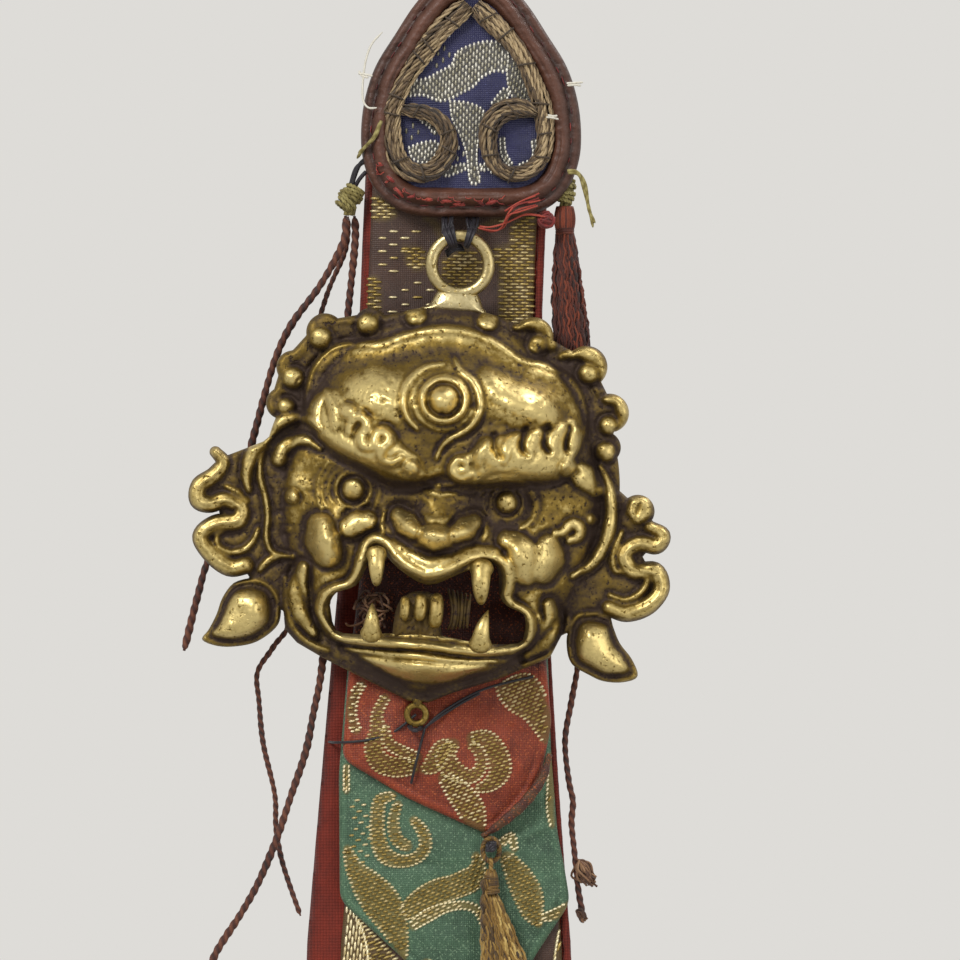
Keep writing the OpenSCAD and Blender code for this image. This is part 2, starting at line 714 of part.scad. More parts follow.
// The small ring under the chin, on a short stem
module chin_ring() {
    mid = flange_t / 2;
    color("darkgoldenrod")
        on_mask()
            translate([chin_x, chin_down, mid])
                difference() {
                    union() {
                        wire_ring(chin_bore_r, chin_wire_r);
                        translate([-0.6, chin_bore_r + chin_wire_r, -0.5])
                            cube([1.2, mask_foot - chin_down - chin_bore_r - chin_wire_r, 1]);
                    }
                    translate([0, 0, -2]) cylinder(r = chin_bore_r, h = 4, $fn = 64);
                }
}

// Where the ring tie's loops sit on the mask's ring, as angles from its top
tie_angles = [-30, -16, 14];
tie_loop_r = mask_ring_wire_r + 0.15 + thread_d / 2;

// Waxed thread: loops round the mask's ring and short stitches into the strip
module ring_tie() {
    mid_r = mask_ring_bore_r + mask_ring_wire_r;
    color("indigo") {
        on_mask()
            translate([0, ring_up, mask_ring_wire_r])
                for (a = tie_angles)
                    rotate([0, 0, -a])
                        translate([0, mid_r, 0])
                            rotate([0, 90, 0])
                                wire_ring(tie_loop_r - thread_d / 2, thread_d / 2);
        for (a = tie_angles)
            let (
                up = ring_up + (mid_r + tie_loop_r) * cos(a),
                over = (mid_r + tie_loop_r) * sin(a),
                x = mask_x + over * cos(mask_roll) + up * sin(mask_roll),
                z = mask_z + up * cos(mask_roll) - over * sin(mask_roll),
                out = mask_back + mask_ring_wire_r
            )
            translate([x, 0, z - thread_d * 0.3])
                rotate([90, 0, 0])
                    translate([0, 0, ground_front])
                        cylinder(d = thread_d, h = out - ground_front, $fn = 24);
    }
}

// Waxed thread through the chin ring: a slack loop with both ends sewn into the tongue
module chin_tie() {
    wire_y = chin_down - chin_bore_r - chin_wire_r;
    leg = chin_wire_r + 0.25 + thread_d / 2;
    reach = flange_t / 2 + chin_slack;
    color("indigo")
        on_mask()
            translate([chin_x, wire_y, 0]) {
                for (side = [-1, 1])
                    translate([0, side * leg, -seat_gap])
                        cylinder(d = thread_d, h = reach + seat_gap, $fn = 24);
                translate([0, 0, reach])
                    rotate([90, 0, 90])
                        intersection() {
                            wire_ring(leg - thread_d / 2, thread_d / 2);
                            translate([-5, 0, -5]) cube(10);
                        }
            }
}

// Sizes shared by the three tassels
peg_len = 3.4;
loop_out = 2;
loop_bore_r = 1.25;
loop_mid_r = loop_bore_r + loop_d / 2;
loop_sag = loop_bore_r - peg_r - loop_clear;
link_z = -loop_sag - loop_mid_r;
link_bore_r = loop_d / 2 + loop_clear;
head_top = link_z - link_bore_r - loop_d;

// Where the three tassels' pegs are sewn: under each tongue's tip and above the strip's
peg_below = 1.2;
centre_at = [red_outline[0][0], red_outline[0][1] - peg_below];
green_at = [green_outline[0][0], green_outline[0][1] - peg_below];
foot_at = [strip_mid(strip_tip_z), strip_tip_z + 3.3];

// Sewn peg that a tassel hangs on, standing out from the cloth at height face
module peg(at, face) {
    color("saddlebrown")
        translate([at[0], -face, at[1]])
            rotate([90, 0, 0]) {
                cylinder(r = peg_r, h = peg_len, $fn = 24);
                translate([0, 0, peg_len]) sphere(r = peg_r * 1.7, $fn = 24);
            }
}

// Cord eye round the peg; it swings sideways
module hanging_loop(at, face) {
    color("peru")
        translate([at[0], -face - loop_out, at[1] - loop_sag])
            rotate([90, 0, 0])
                wire_ring(loop_bore_r, loop_d / 2);
}

// Tassel: a link round the eye, a bound head and a skirt that sways as it hangs.
// shift gives how far the skirt's middle has drifted to the right at its foot.
module tassel(at, face, shift) {
    folds = 12;
    levels = [0, 0.12, 0.3, 0.5, 0.75, 1];
    color("peru")
        translate([at[0], -face - loop_out, at[1]]) {
            translate([0, 0, link_z])
                rotate([0, 90, 0])
                    wire_ring(link_bore_r, loop_d / 2);
            translate([0, 0, head_top - head_r * 0.9]) sphere(r = head_r, $fn = 32);
            translate([0, 0, head_top - head_r * 3])
                cylinder(r = head_r * 0.8, h = head_r * 1.8, $fn = 32);
            loft([
                for (i = [len(levels) - 1:-1:0])
                    let (
                        t = levels[i],
                        w = mix(head_r, skirt_w / 2, pow(t, 0.7)),
                        d = mix(head_r, skirt_d / 2, pow(t, 0.7)),
                        z = head_top - head_r * 2.4 - t * skirt_l
                    )
                    [for (j = [0:2 * folds - 1])
                        let (
                            a = 360 * j / (2 * folds),
                            k = 1 - 0.09 * t * (j % 2)
                        )
                        [shift * pow(t, 1.6) + w * k * cos(a), d * k * sin(a), z]]
            ]);
        }
}

module centre_peg() { peg(centre_at, green_front); }
module centre_loop() { hanging_loop(centre_at, green_front); }
module centre_tassel() { tassel(centre_at, green_front, 3.6); }
module green_peg() { peg(green_at, ground_front); }
module green_loop() { hanging_loop(green_at, ground_front); }
module green_tassel() { tassel(green_at, ground_front, 0); }
module foot_peg() { peg(foot_at, ground_front); }
module foot_loop() { hanging_loop(foot_at, ground_front); }
module foot_tassel() { tassel(foot_at, ground_front, 0); }

// A barrel-shaped knot with a flat foot for the cords to leave from
knot_foot = 1.7;
module knot(at) {
    translate(at)
        intersection() {
            sphere(r = knot_r, $fn = 48);
            translate([0, 0, -knot_foot / 2])
                cylinder(r = knot_r + 1, h = knot_foot * 1.75, center = true, $fn = 48);
        }
}
function below_knot(at, dx, dy) = [at[0] + dx, at[1] + dy, at[2] - knot_foot * 1.375];

// Places of the side knots: against the strip's left edge, and behind the patch's
// right corner
left_knot_z = -44;
right_knot_z = -43;
left_knot_at = [strip_mid(left_knot_z) - strip_half(left_knot_z) - knot_r - 0.1, 1.4, left_knot_z];
right_knot_at = [
    strip_mid(right_knot_z) + strip_half(right_knot_z) + knot_r + 0.5, knot_r - ground_front + 0.3,
    right_knot_z
];

module left_knot() { color("darkkhaki") knot(left_knot_at); }
module right_knot() { color("darkolivegreen") knot(right_knot_at); }

// Routes of the free cords: from the knot down behind the mask and out below it
left_outer_route = [
    [-17.8, 0.5, -50], [-21, 0.4, -56], [-25, 0, -61.5], [-27.5, 0, -67], [-30, 0, -76],
    [-32.5, 0, -85], [-36.5, 0, -94], [-38, 0, -99], [-40, 0, -107]
];
left_inner_route = [
    [-16.2, 1.2, -50], [-17.2, 1.2, -60], [-18.6, 1, -75], [-19.6, 0, -92], [-20.6, -1, -108],
    [-22, -1.2, -116], [-23, -1.4, -121], [-25, -1.4, -127], [-27, -1.4, -133], [-29.5, -1, -139],
    [-32, -1, -143.5], [-35.5, -1, -149], [-36.8, -1, -153]
];
left_thin_route = [
    [-17.6, 2.6, -51], [-20.4, 2.2, -58], [-23.4, 1.5, -70], [-24.6, 1.2, -90], [-25, 1, -102],
    [-27.6, 0.8, -106.5], [-29.8, 0.8, -110], [-29.6, 0.8, -114], [-29, 0.8, -120],
    [-27.4, 0.8, -127], [-27.2, 0.8, -132], [-26.2, 0.8, -137], [-23.8, 0.8, -144]
];
right_route = [
    [15.4, 1, -76], [16, 0.6, -84], [16, 0.4, -96], [15, 0.4, -108], [14, 0.4, -114],
    [13.1, 0.4, -119.5], [13.6, 0.4, -125], [14.2, 0.4, -128], [14, 0.4, -131],
    [14.4, 0.4, -135], [14.9, 0.4, -140], [15.6, 0.4, -144]
];
module left_cord_outer() {
    color("sienna")
        free_cord(smooth([
            below_knot(left_knot_at, -0.62, -0.6), each left_outer_route
        ], 2), cord_d);
}
module left_cord_inner() {
    color("sienna")
        free_cord(smooth([
            below_knot(left_knot_at, 0.62, -0.2), each left_inner_route
        ], 2), cord_d);
}
module left_cord_thin() {
    color("rosybrown")
        free_cord(smooth([
            below_knot(left_knot_at, -0.3, 0.75), each left_thin_route
        ], 2), thin_cord_d);
}

// The tassel on the right: a red bound head under the knot and a long skirt
right_skirt_foot = -68;
module right_tassel() {
    top = below_knot(right_knot_at, 0, 0);
    folds = 12;
    levels = [0, 0.08, 0.2, 0.45, 0.75, 1];
    color("brown") {
        translate([top[0], top[1], top[2] - 3.4]) cylinder(r = 1.3, h = 3.4, $fn = 32);
        translate([top[0], top[1], 0])
            loft([
                for (i = [len(levels) - 1:-1:0])
                    let (
                        t = levels[i],
                        w = mix(1.1, 2.7, pow(t, 0.6)),
                        d = mix(1.1, 1.5, pow(t, 0.6)),
                        z = mix(top[2] - 3, right_skirt_foot, t)
                    )
                    [for (j = [0:2 * folds - 1])
                        let (a = 360 * j / (2 * folds), k = 1 - 0.1 * t * (j % 2))
                        [1 * t + w * k * cos(a), d * k * sin(a), z]]
            ]);
    }
}
module right_cord() {
    color("rosybrown")
        free_cord(smooth([
            [right_knot_at[0] + 1, right_knot_at[1], right_skirt_foot], each right_route
        ], 1), right_cord_d);
}

hanging_ring();
hung() hanging_tab();
hung() patch_base();
hung() patch_rim();
hung() patch_inlay();
hung() couched_cord_left();
hung() couched_cord_right();
hung() rim_stitches();
hung() red_backing();
hung() wadded_core();
hung() ground_brocade();
hung() green_tongue();
hung() red_tongue();
hung() mask_face();
hung() mask_ring();
hung() chin_ring();
hung() ring_tie();
hung() chin_tie();
hung() centre_peg();
hung() centre_loop();
hung() centre_tassel();
hung() green_peg();
hung() green_loop();
hung() green_tassel();
hung() foot_peg();
hung() foot_loop();
hung() foot_tassel();
hung() left_knot();
hung() left_cord_outer();
hung() left_cord_inner();
hung() left_cord_thin();
hung() right_knot();
hung() right_tassel();
hung() right_cord();
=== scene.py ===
"""Looks of a hanging banner with a cast guardian mask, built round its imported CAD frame.

Lengths are in millimetres and become metres when a mesh is made. X is to the right,
Z is up and the banner faces -Y. "out" is a distance towards the front, so y = -out.
"""
import logging
import math
from collections.abc import Callable, Sequence
from dataclasses import dataclass
from enum import Enum

import bpy
import numpy as np
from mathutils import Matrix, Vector


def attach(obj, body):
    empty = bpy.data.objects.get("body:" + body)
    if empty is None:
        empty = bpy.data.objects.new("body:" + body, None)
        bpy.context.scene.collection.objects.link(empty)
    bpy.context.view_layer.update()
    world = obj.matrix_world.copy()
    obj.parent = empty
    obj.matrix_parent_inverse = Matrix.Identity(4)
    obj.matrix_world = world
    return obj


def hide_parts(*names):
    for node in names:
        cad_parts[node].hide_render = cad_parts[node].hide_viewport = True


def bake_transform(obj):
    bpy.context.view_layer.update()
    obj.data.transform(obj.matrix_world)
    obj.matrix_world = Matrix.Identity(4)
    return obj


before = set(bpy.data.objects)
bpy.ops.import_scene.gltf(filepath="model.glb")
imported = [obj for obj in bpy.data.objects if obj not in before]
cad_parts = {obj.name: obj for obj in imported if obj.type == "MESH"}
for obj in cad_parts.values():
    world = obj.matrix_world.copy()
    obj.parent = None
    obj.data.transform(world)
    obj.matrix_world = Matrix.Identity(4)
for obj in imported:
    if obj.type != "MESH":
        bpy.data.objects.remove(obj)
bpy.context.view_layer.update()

MM = 0.001
TURN = 2 * math.pi
log = logging.getLogger("banner")


# Curves and distances


def spline(points: Sequence, steps: int) -> np.ndarray:
    """A smooth curve through points.

    Args:
        points: the points, in two or three dimensions.
        steps: points to give each stretch.

    Returns:
        The curve, one row a point.
    """
    p = np.asarray(points, float)
    before = np.vstack([p[:1], p[:-2]])
    after = np.vstack([p[2:], p[-1:]])
    t = (np.arange(steps) / steps)[None, :, None]
    a, b, c, d = before[:, None], p[:-1, None], p[1:, None], after[:, None]
    curve = 0.5 * (2 * b + (c - a) * t + (2 * a - 5 * b + 4 * c - d) * t**2
                   + (3 * b - a - 3 * c + d) * t**3)
    return np.vstack([curve.reshape(-1, p.shape[1]), p[-1:]])


def travel(path: np.ndarray) -> np.ndarray:
    """Distance from the start of a path to each of its points."""
    return np.concatenate([[0.0], np.cumsum(np.linalg.norm(np.diff(path, axis=0), axis=1))])


def evenly(path: np.ndarray, step: float) -> np.ndarray:
    """A path with its points a given step apart.

    Args:
        path: the path.
        step: distance between points.

    Returns:
        The new path, both ends kept.
    """
    s = travel(path)
    at = np.linspace(0, s[-1], max(2, int(round(s[-1] / step)) + 1))
    return np.stack([np.interp(at, s, path[:, k]) for k in range(path.shape[1])], axis=1)


def loop_curve(points: Sequence, steps: int) -> np.ndarray:
    """A smooth closed curve through points, without its first point again at the end."""
    return spline([*points, points[0]], steps)[:-1]


def sideways(path: np.ndarray) -> np.ndarray:
    """Directions at right angles to a flat path.

    Args:
        path: the path.

    Returns:
        A unit direction to its left at each point.
    """
    run = np.gradient(path, axis=0)
    run /= np.linalg.norm(run, axis=1)[:, None]
    return np.stack([-run[:, 1], run[:, 0]], 1)


def track(x: np.ndarray, out: np.ndarray, z: np.ndarray) -> np.ndarray:
    """A path in the flat design from x, out and z, each one for all or one a point."""
    return np.stack(np.broadcast_arrays(x, np.negative(out), z), -1).astype(float)


def through(points: Sequence, steps: int = 6) -> np.ndarray:
    """A smooth path through places given as x, z and out."""
    x, z, out = np.array(points, float).T
    return spline(track(x, out, z), steps)


def line_distance(x: np.ndarray, z: np.ndarray, path: np.ndarray) -> tuple:
    """How far points lie from a flat path, and where along it.

    Args:
        x: their places across.
        z: their heights.
        path: the path.

    Returns:
        The distances, and the shares of the path's length at the nearest places.
    """
    best = np.full(x.shape, 1e9)
    share = np.zeros(x.shape)
    s = travel(path)
    for i in range(len(path) - 1):
        a, d = path[i], path[i + 1] - path[i]
        length = max(d @ d, 1e-9)
        t = np.clip(((x - a[0]) * d[0] + (z - a[1]) * d[1]) / length, 0, 1)
        gap = (x - a[0] - t * d[0])**2 + (z - a[1] - t * d[1])**2
        near = gap < best
        best[near] = gap[near]
        share[near] = (s[i] + t[near] * (s[i + 1] - s[i])) / s[-1]
    return np.sqrt(best), share


def inside(x: np.ndarray, z: np.ndarray, outline: np.ndarray) -> np.ndarray:
    """Distance inside a closed outline, negative outside.

    Args:
        x: places across.
        z: heights.
        outline: its corners.

    Returns:
        The distances.
    """
    ring = np.vstack([outline, outline[:1]])
    gap, _ = line_distance(x, z, ring)
    odd = np.zeros(x.shape, bool)
    for (ax, az), (bx, bz) in zip(ring[:-1], ring[1:]):
        if az != bz:
            crosses = (az > z) != (bz > z)
            odd ^= crosses & (x < (bx - ax) * (z - az) / (bz - az) + ax)
    return np.where(odd, gap, -gap)


def soft_step(value: np.ndarray, low: float, high: float) -> np.ndarray:
    """Smooth rise from 0 at low to 1 at high."""
    t = np.clip((value - low) / (high - low), 0, 1)
    return t * t * (3 - 2 * t)


def ripple(x: np.ndarray, z: np.ndarray, size: float, seed: int, waves: int = 9) -> np.ndarray:
    """Gentle unevenness made of crossing waves.

    Args:
        x: places across.
        z: heights.
        size: usual distance between crests.
        seed: picks the pattern.
        waves: how many waves cross.

    Returns:
        Values between about -1 and 1.
    """
    pick = np.random.default_rng(seed)
    total = np.zeros(np.shape(x))
    for _ in range(waves):
        turn, phase = pick.uniform(0, TURN, 2)
        k = TURN / (size * pick.uniform(0.7, 1.6))
        total += np.sin(k * (np.cos(turn) * x + np.sin(turn) * z) + phase)
    return total / math.sqrt(waves)


def blurred(heights: np.ndarray, width: float) -> np.ndarray:
    """Smooths a lattice of values.

    Args:
        heights: the values.
        width: spread of the blur, in cells.

    Returns:
        The smoothed values.
    """
    reach = int(3 * width) + 1
    k = np.exp(-0.5 * (np.arange(-reach, reach + 1) / width)**2)
    k /= k.sum()
    out = heights
    for axis in (0, 1):
        wide = np.pad(out, [(reach, reach) if a == axis else (0, 0) for a in (0, 1)], "edge")
        rows = out.shape[axis]
        out = sum(w * np.take(wide, range(i, i + rows), axis) for i, w in enumerate(k))
    return out


# Meshes


class Shape:
    """Points, faces and per-point values gathered for one mesh."""

    def __init__(self) -> None:
        """Starts with nothing."""
        self.points: list = []
        self.faces: list = []
        self.values: list = []
        self.count = 0

    def add(self, points: np.ndarray, faces: np.ndarray, **values: np.ndarray) -> None:
        """Adds a patch of mesh.

        Args:
            points: its points.
            faces: its faces of three or four corners, counted from its own first point.
            values: named values, one for all or one a point.
        """
        points = np.asarray(points, float)
        self.points.append(points)
        self.faces.append(np.asarray(faces, np.int64) + self.count)
        self.values.append({k: np.broadcast_to(v, len(points)) for k, v in values.items()})
        self.count += len(points)

    def tube(self, path: np.ndarray, radius: float | np.ndarray, sides: int = 8, up: tuple = (0, 1, 0),
             flat: float = 1.0, **values: float | np.ndarray) -> None:
        """Adds a closed tube along a path.

        Args:
            path: the path.
            radius: one for all, one a point, or one a point and side.
            sides: how many sides it has.
            up: a direction that the path never follows.
            flat: its height as a share of its width.
            values: named values, one for all or one a point of the path.
        """
        n = len(path)
        run = np.gradient(path, axis=0)
        run /= np.linalg.norm(run, axis=1)[:, None] + 1e-12
        side = np.cross(run, np.asarray(up, float))
        side /= np.linalg.norm(side, axis=1)[:, None] + 1e-12
        over = np.cross(side, run)
        a = np.linspace(0, TURN, sides, endpoint=False)
        r = np.asarray(radius, float)
        r = np.broadcast_to(r[:, None] if r.ndim == 1 else r, (n, sides))
        ring = path[:, None] + r[..., None] * (np.cos(a)[None, :, None] * side[:, None]
                                               + flat * np.sin(a)[None, :, None] * over[:, None])
        i = (np.arange(n - 1) * sides)[:, None]
        j, k = np.arange(sides)[None, :], (np.arange(sides)[None, :] + 1) % sides
        walls = np.stack([i + j, i + k, i + k + sides, i + j + sides], axis=-1).reshape(-1, 4)
        per_point = {name: np.repeat(np.broadcast_to(v, n), sides) if np.ndim(v) < 2
                     else np.asarray(v).reshape(-1) for name, v in values.items()}
        ends = {name: np.concatenate([v, v[:1], v[-1:]]) for name, v in per_point.items()}
        points = np.vstack([ring.reshape(-1, 3), path[:1], path[-1:]])
        first, last = n * sides, n * sides + 1
        caps = [[first, (q + 1) % sides, q] for q in range(sides)]
        caps += [[last, (n - 1) * sides + q, (n - 1) * sides + (q + 1) % sides]
                 for q in range(sides)]
        start = self.count
        self.add(points, walls, **ends)
        self.faces.append(np.asarray(caps) + start)

    def hoop(self, middle: np.ndarray, across: tuple, radius: float, wire: float,
             rings: int = 48, sides: int = 12, **values: float) -> None:
        """Adds a round wire ring.

        Args:
            middle: its centre.
            across: two directions that span its plane.
            radius: from the centre to the wire's middle.
            wire: the wire's radius.
            rings: steps round the ring.
            sides: steps round the wire.
            values: named values.
        """
        u, v = (np.asarray(d, float) for d in across)
        w = np.cross(u, v)
        a = np.linspace(0, TURN, rings, endpoint=False)[:, None, None]
        b = np.linspace(0, TURN, sides, endpoint=False)[None, :, None]
        spoke = np.cos(a) * u + np.sin(a) * v
        points = np.asarray(middle) + (radius + wire * np.cos(b)) * spoke + wire * np.sin(b) * w
        i, j = np.arange(rings)[:, None], np.arange(sides)[None, :]
        i2, j2 = (i + 1) % rings, (j + 1) % sides
        faces = np.stack([i * sides + j, i2 * sides + j, i2 * sides + j2, i * sides + j2], -1)
        self.add(points.reshape(-1, 3), faces.reshape(-1, 4), **values)

    def ball(self, middle: tuple, radii: tuple, rings: int = 12, sides: int = 20,
             rough: float = 0.0, seed: int = 1, **values: float) -> None:
        """Adds a round lump.

        Args:
            middle: its centre.
            radii: half its size along X, Y and Z.
            rings: steps from pole to pole.
            sides: steps round it.
            rough: unevenness, as a share of the radius.
            seed: picks the unevenness.
            values: named values.
        """
        b = np.linspace(0, math.pi, rings + 1)[1:-1, None]
        a = np.linspace(0, TURN, sides, endpoint=False)[None, :]
        shell = np.stack([np.sin(b) * np.cos(a), np.sin(b) * np.sin(a),
                          np.cos(b) + 0 * a], -1).reshape(-1, 3)
        shell = np.vstack([shell, [[0, 0, 1], [0, 0, -1]]])
        if rough:
            wave = ripple(shell[:, 0] + shell[:, 2], shell[:, 1] - shell[:, 2], 0.9, seed)
            shell *= (1 + rough * wave)[:, None]
        i, j = np.arange(rings - 2)[:, None] * sides, np.arange(sides)[None, :]
        k = (j + 1) % sides
        quads = np.stack([i + j, i + j + sides, i + k + sides, i + k], -1).reshape(-1, 4)
        top, foot, last = (rings - 1) * sides, (rings - 1) * sides + 1, (rings - 2) * sides
        caps = [[top, q, (q + 1) % sides] for q in range(sides)]
        caps += [[foot, last + (q + 1) % sides, last + q] for q in range(sides)]
        start = self.count
        self.add(np.asarray(middle) + shell * np.asarray(radii), quads, **values)
        self.faces.append(np.asarray(caps) + start)

    def mesh(self, name: str, hangs: bool = True) -> bpy.types.Object:
        """Makes the Blender object.

        Args:
            name: its name.
            hangs: leans it back with the strip.

        Returns:
            The object, in metres.
        """
        data = bpy.data.meshes.new(name)
        points = np.vstack(self.points)
        points = (BALANCE.points(points) if hangs else points) * MM
        corners = np.concatenate([f.reshape(-1) for f in self.faces])
        sizes = np.concatenate([np.full(len(f), f.shape[1]) for f in self.faces])
        data.vertices.add(len(points))
        data.vertices.foreach_set("co", points.astype(np.float32).reshape(-1))
        data.loops.add(len(corners))
        data.loops.foreach_set("vertex_index", corners.astype(np.int32))
        data.polygons.add(len(sizes))
        starts = np.concatenate([[0], np.cumsum(sizes)[:-1]])
        data.polygons.foreach_set("loop_start", starts.astype(np.int32))
        data.polygons.foreach_set("use_smooth", np.ones(len(sizes), bool))
        data.update(calc_edges=True)
        for key in {k for v in self.values for k in v}:
            whole = np.concatenate([v.get(key, np.zeros(len(p)))
                                    for v, p in zip(self.values, self.points)])
            layer = data.attributes.new(key, "FLOAT", "POINT")
            layer.data.foreach_set("value", whole.astype(np.float32))
        data.validate()
        made = bpy.data.objects.new(name, data)
        bpy.context.scene.collection.objects.link(made)
        return made


class Lattice:
    """A square grid over a rectangle, which sheets and the casting are cut from."""

    def __init__(self, x0: float, x1: float, z0: float, z1: float, step: float) -> None:
        """Lays the grid.

        Args:
            x0: its left side.
            x1: its right side.
            z0: its foot.
            z1: its top.
            step: a cell's size.
        """
        self.step = step
        self.x0, self.z0 = x0, z0
        xs = np.arange(x0, x1 + step / 2, step)
        zs = np.arange(z0, z1 + step / 2, step)
        self.x, self.z = np.meshgrid(xs, zs)

    def around(self, path: np.ndarray, margin: float) -> tuple:
        """The part of the grid round a path.

        Args:
            path: the path.
            margin: how far beyond it to reach.

        Returns:
            The slices of rows and columns.
        """
        rows, columns = self.x.shape
        (x0, z0), (x1, z1) = path.min(0) - margin, path.max(0) + margin
        i0, i1 = (int((v - self.z0) / self.step) for v in (z0, z1))
        j0, j1 = (int((v - self.x0) / self.step) for v in (x0, x1))
        return (slice(max(0, i0), min(rows, i1 + 2)), slice(max(0, j0), min(columns, j1 + 2)))

    def read(self, heights: np.ndarray, x: np.ndarray, z: np.ndarray) -> np.ndarray:
        """Values between the grid's points.

        Args:
            heights: the grid's values.
            x: places across.
            z: heights.

        Returns:
            The values there.
        """
        i = np.clip((np.asarray(z) - self.z0) / self.step, 0, self.x.shape[0] - 1.001)
        j = np.clip((np.asarray(x) - self.x0) / self.step, 0, self.x.shape[1] - 1.001)
        i0, j0 = i.astype(int), j.astype(int)
        u, v = i - i0, j - j0
        return ((heights[i0, j0] * (1 - v) + heights[i0, j0 + 1] * v) * (1 - u)
                + (heights[i0 + 1, j0] * (1 - v) + heights[i0 + 1, j0 + 1] * v) * u)

    def plate(self, shape: Shape, field: np.ndarray, front: np.ndarray, back: np.ndarray,
              roll: float, low: float = 0.3, place: Callable | None = None,
              **values: float | np.ndarray) -> None:
        """Adds a closed plate with a rounded edge where field is above 0.

        Args:
            shape: what it is added to.
            field: distance inside the outline.
            front: how far out its front is, before its edge is rounded.
            back: how far out its back is.
            roll: width of the rounded edge.
            low: share of the thickness left at the edge.
            place: turns x, out and z into points; none for the flat design.
            values: named values, one for all or one a grid point.
        """
        corner = (field[:-1, :-1] + field[1:, :-1] + field[:-1, 1:] + field[1:, 1:]) / 4
        keep = corner > 0
        used = np.zeros(field.shape, int)
        for di in (0, 1):
            for dj in (0, 1):
                used[di:di + keep.shape[0], dj:dj + keep.shape[1]] += keep
        rim = (used > 0) & (used < 4)
        slope_z, slope_x = np.gradient(field, self.step)
        steep = np.maximum(slope_x**2 + slope_z**2, 0.1)
        reach = 0.9 * self.step
        x = self.x - np.where(rim, np.clip(field * slope_x / steep, -reach, reach), 0)
        z = self.z - np.where(rim, np.clip(field * slope_z / steep, -reach, reach), 0)
        depth = np.where(rim, 0, np.clip(field / roll, 0, 1))
        lift = low + (1 - low) * np.sqrt(1 - (1 - depth)**2)
        out = back + (front - back) * lift
        picked = used > 0
        n = picked.sum()
        index = np.full(field.shape, -1)
        index[picked] = np.arange(n)
        place = place or track
        points = np.vstack([place(x[picked], h[picked], z[picked])
                            for h in (out, np.broadcast_to(back, out.shape))])
        a, b = index[:-1, :-1][keep], index[:-1, 1:][keep]
        c, d = index[1:, 1:][keep], index[1:, :-1][keep]
        faces = [np.stack([a, b, c, d], 1), np.stack([d, c, b, a], 1) + n]
        wide = np.pad(keep, 1)
        rows, columns = keep.shape
        for di, dj, p, q in ((-1, 0, a, b), (0, 1, b, c), (1, 0, c, d), (0, -1, d, a)):
            beside = wide[1 + di:1 + di + rows, 1 + dj:1 + dj + columns][keep]
            u, v = p[~beside], q[~beside]
            faces.append(np.stack([u, u + n, v + n, v], 1))
        given = {}
        for key, value in values.items():
            facing = np.broadcast_to(value, field.shape)[picked]
            given[key] = np.concatenate([facing, 0.4 * facing])
        shape.add(points, np.vstack(faces), **given)


# Materials


class Wire:
    """A value in a material's node tree, with the arithmetic of numbers."""

    def __init__(self, tree: "Tree", socket: bpy.types.NodeSocket) -> None:
        """Keeps the tree and the socket."""
        self.tree, self.socket = tree, socket

    def math(self, operation: str, *others: object) -> "Wire":
        """The result of a Math node on this value and others."""
        node = self.tree.node("ShaderNodeMath", {"operation": operation},
                              dict(enumerate((self, *others))))
        return Wire(self.tree, node.outputs[0])

    def __add__(self, other: object) -> "Wire":
        """Sum."""
        return self.math("ADD", other)

    __radd__ = __add__

    def __mul__(self, other: object) -> "Wire":
        """Product."""
        return self.math("MULTIPLY", other)

    __rmul__ = __mul__

    def __sub__(self, other: object) -> "Wire":
        """Difference."""
        return self.math("SUBTRACT", other)

    def __rsub__(self, other: object) -> "Wire":
        """Difference from a number."""
        return (self * -1.0) + other

    def __pow__(self, other: object) -> "Wire":
        """Power."""
        return self.math("POWER", other)

    def __abs__(self) -> "Wire":
        """Size without the sign."""
        return self.math("ABSOLUTE")

    def limited(self) -> "Wire":
        """Held between 0 and 1."""
        return self.math("MAXIMUM", 0.0).math("MINIMUM", 1.0)

    def stretched(self, low: float, high: float) -> "Wire":
        """0 at low, 1 at high, and held between them."""
        return ((self - low) * (1 / (high - low))).limited()


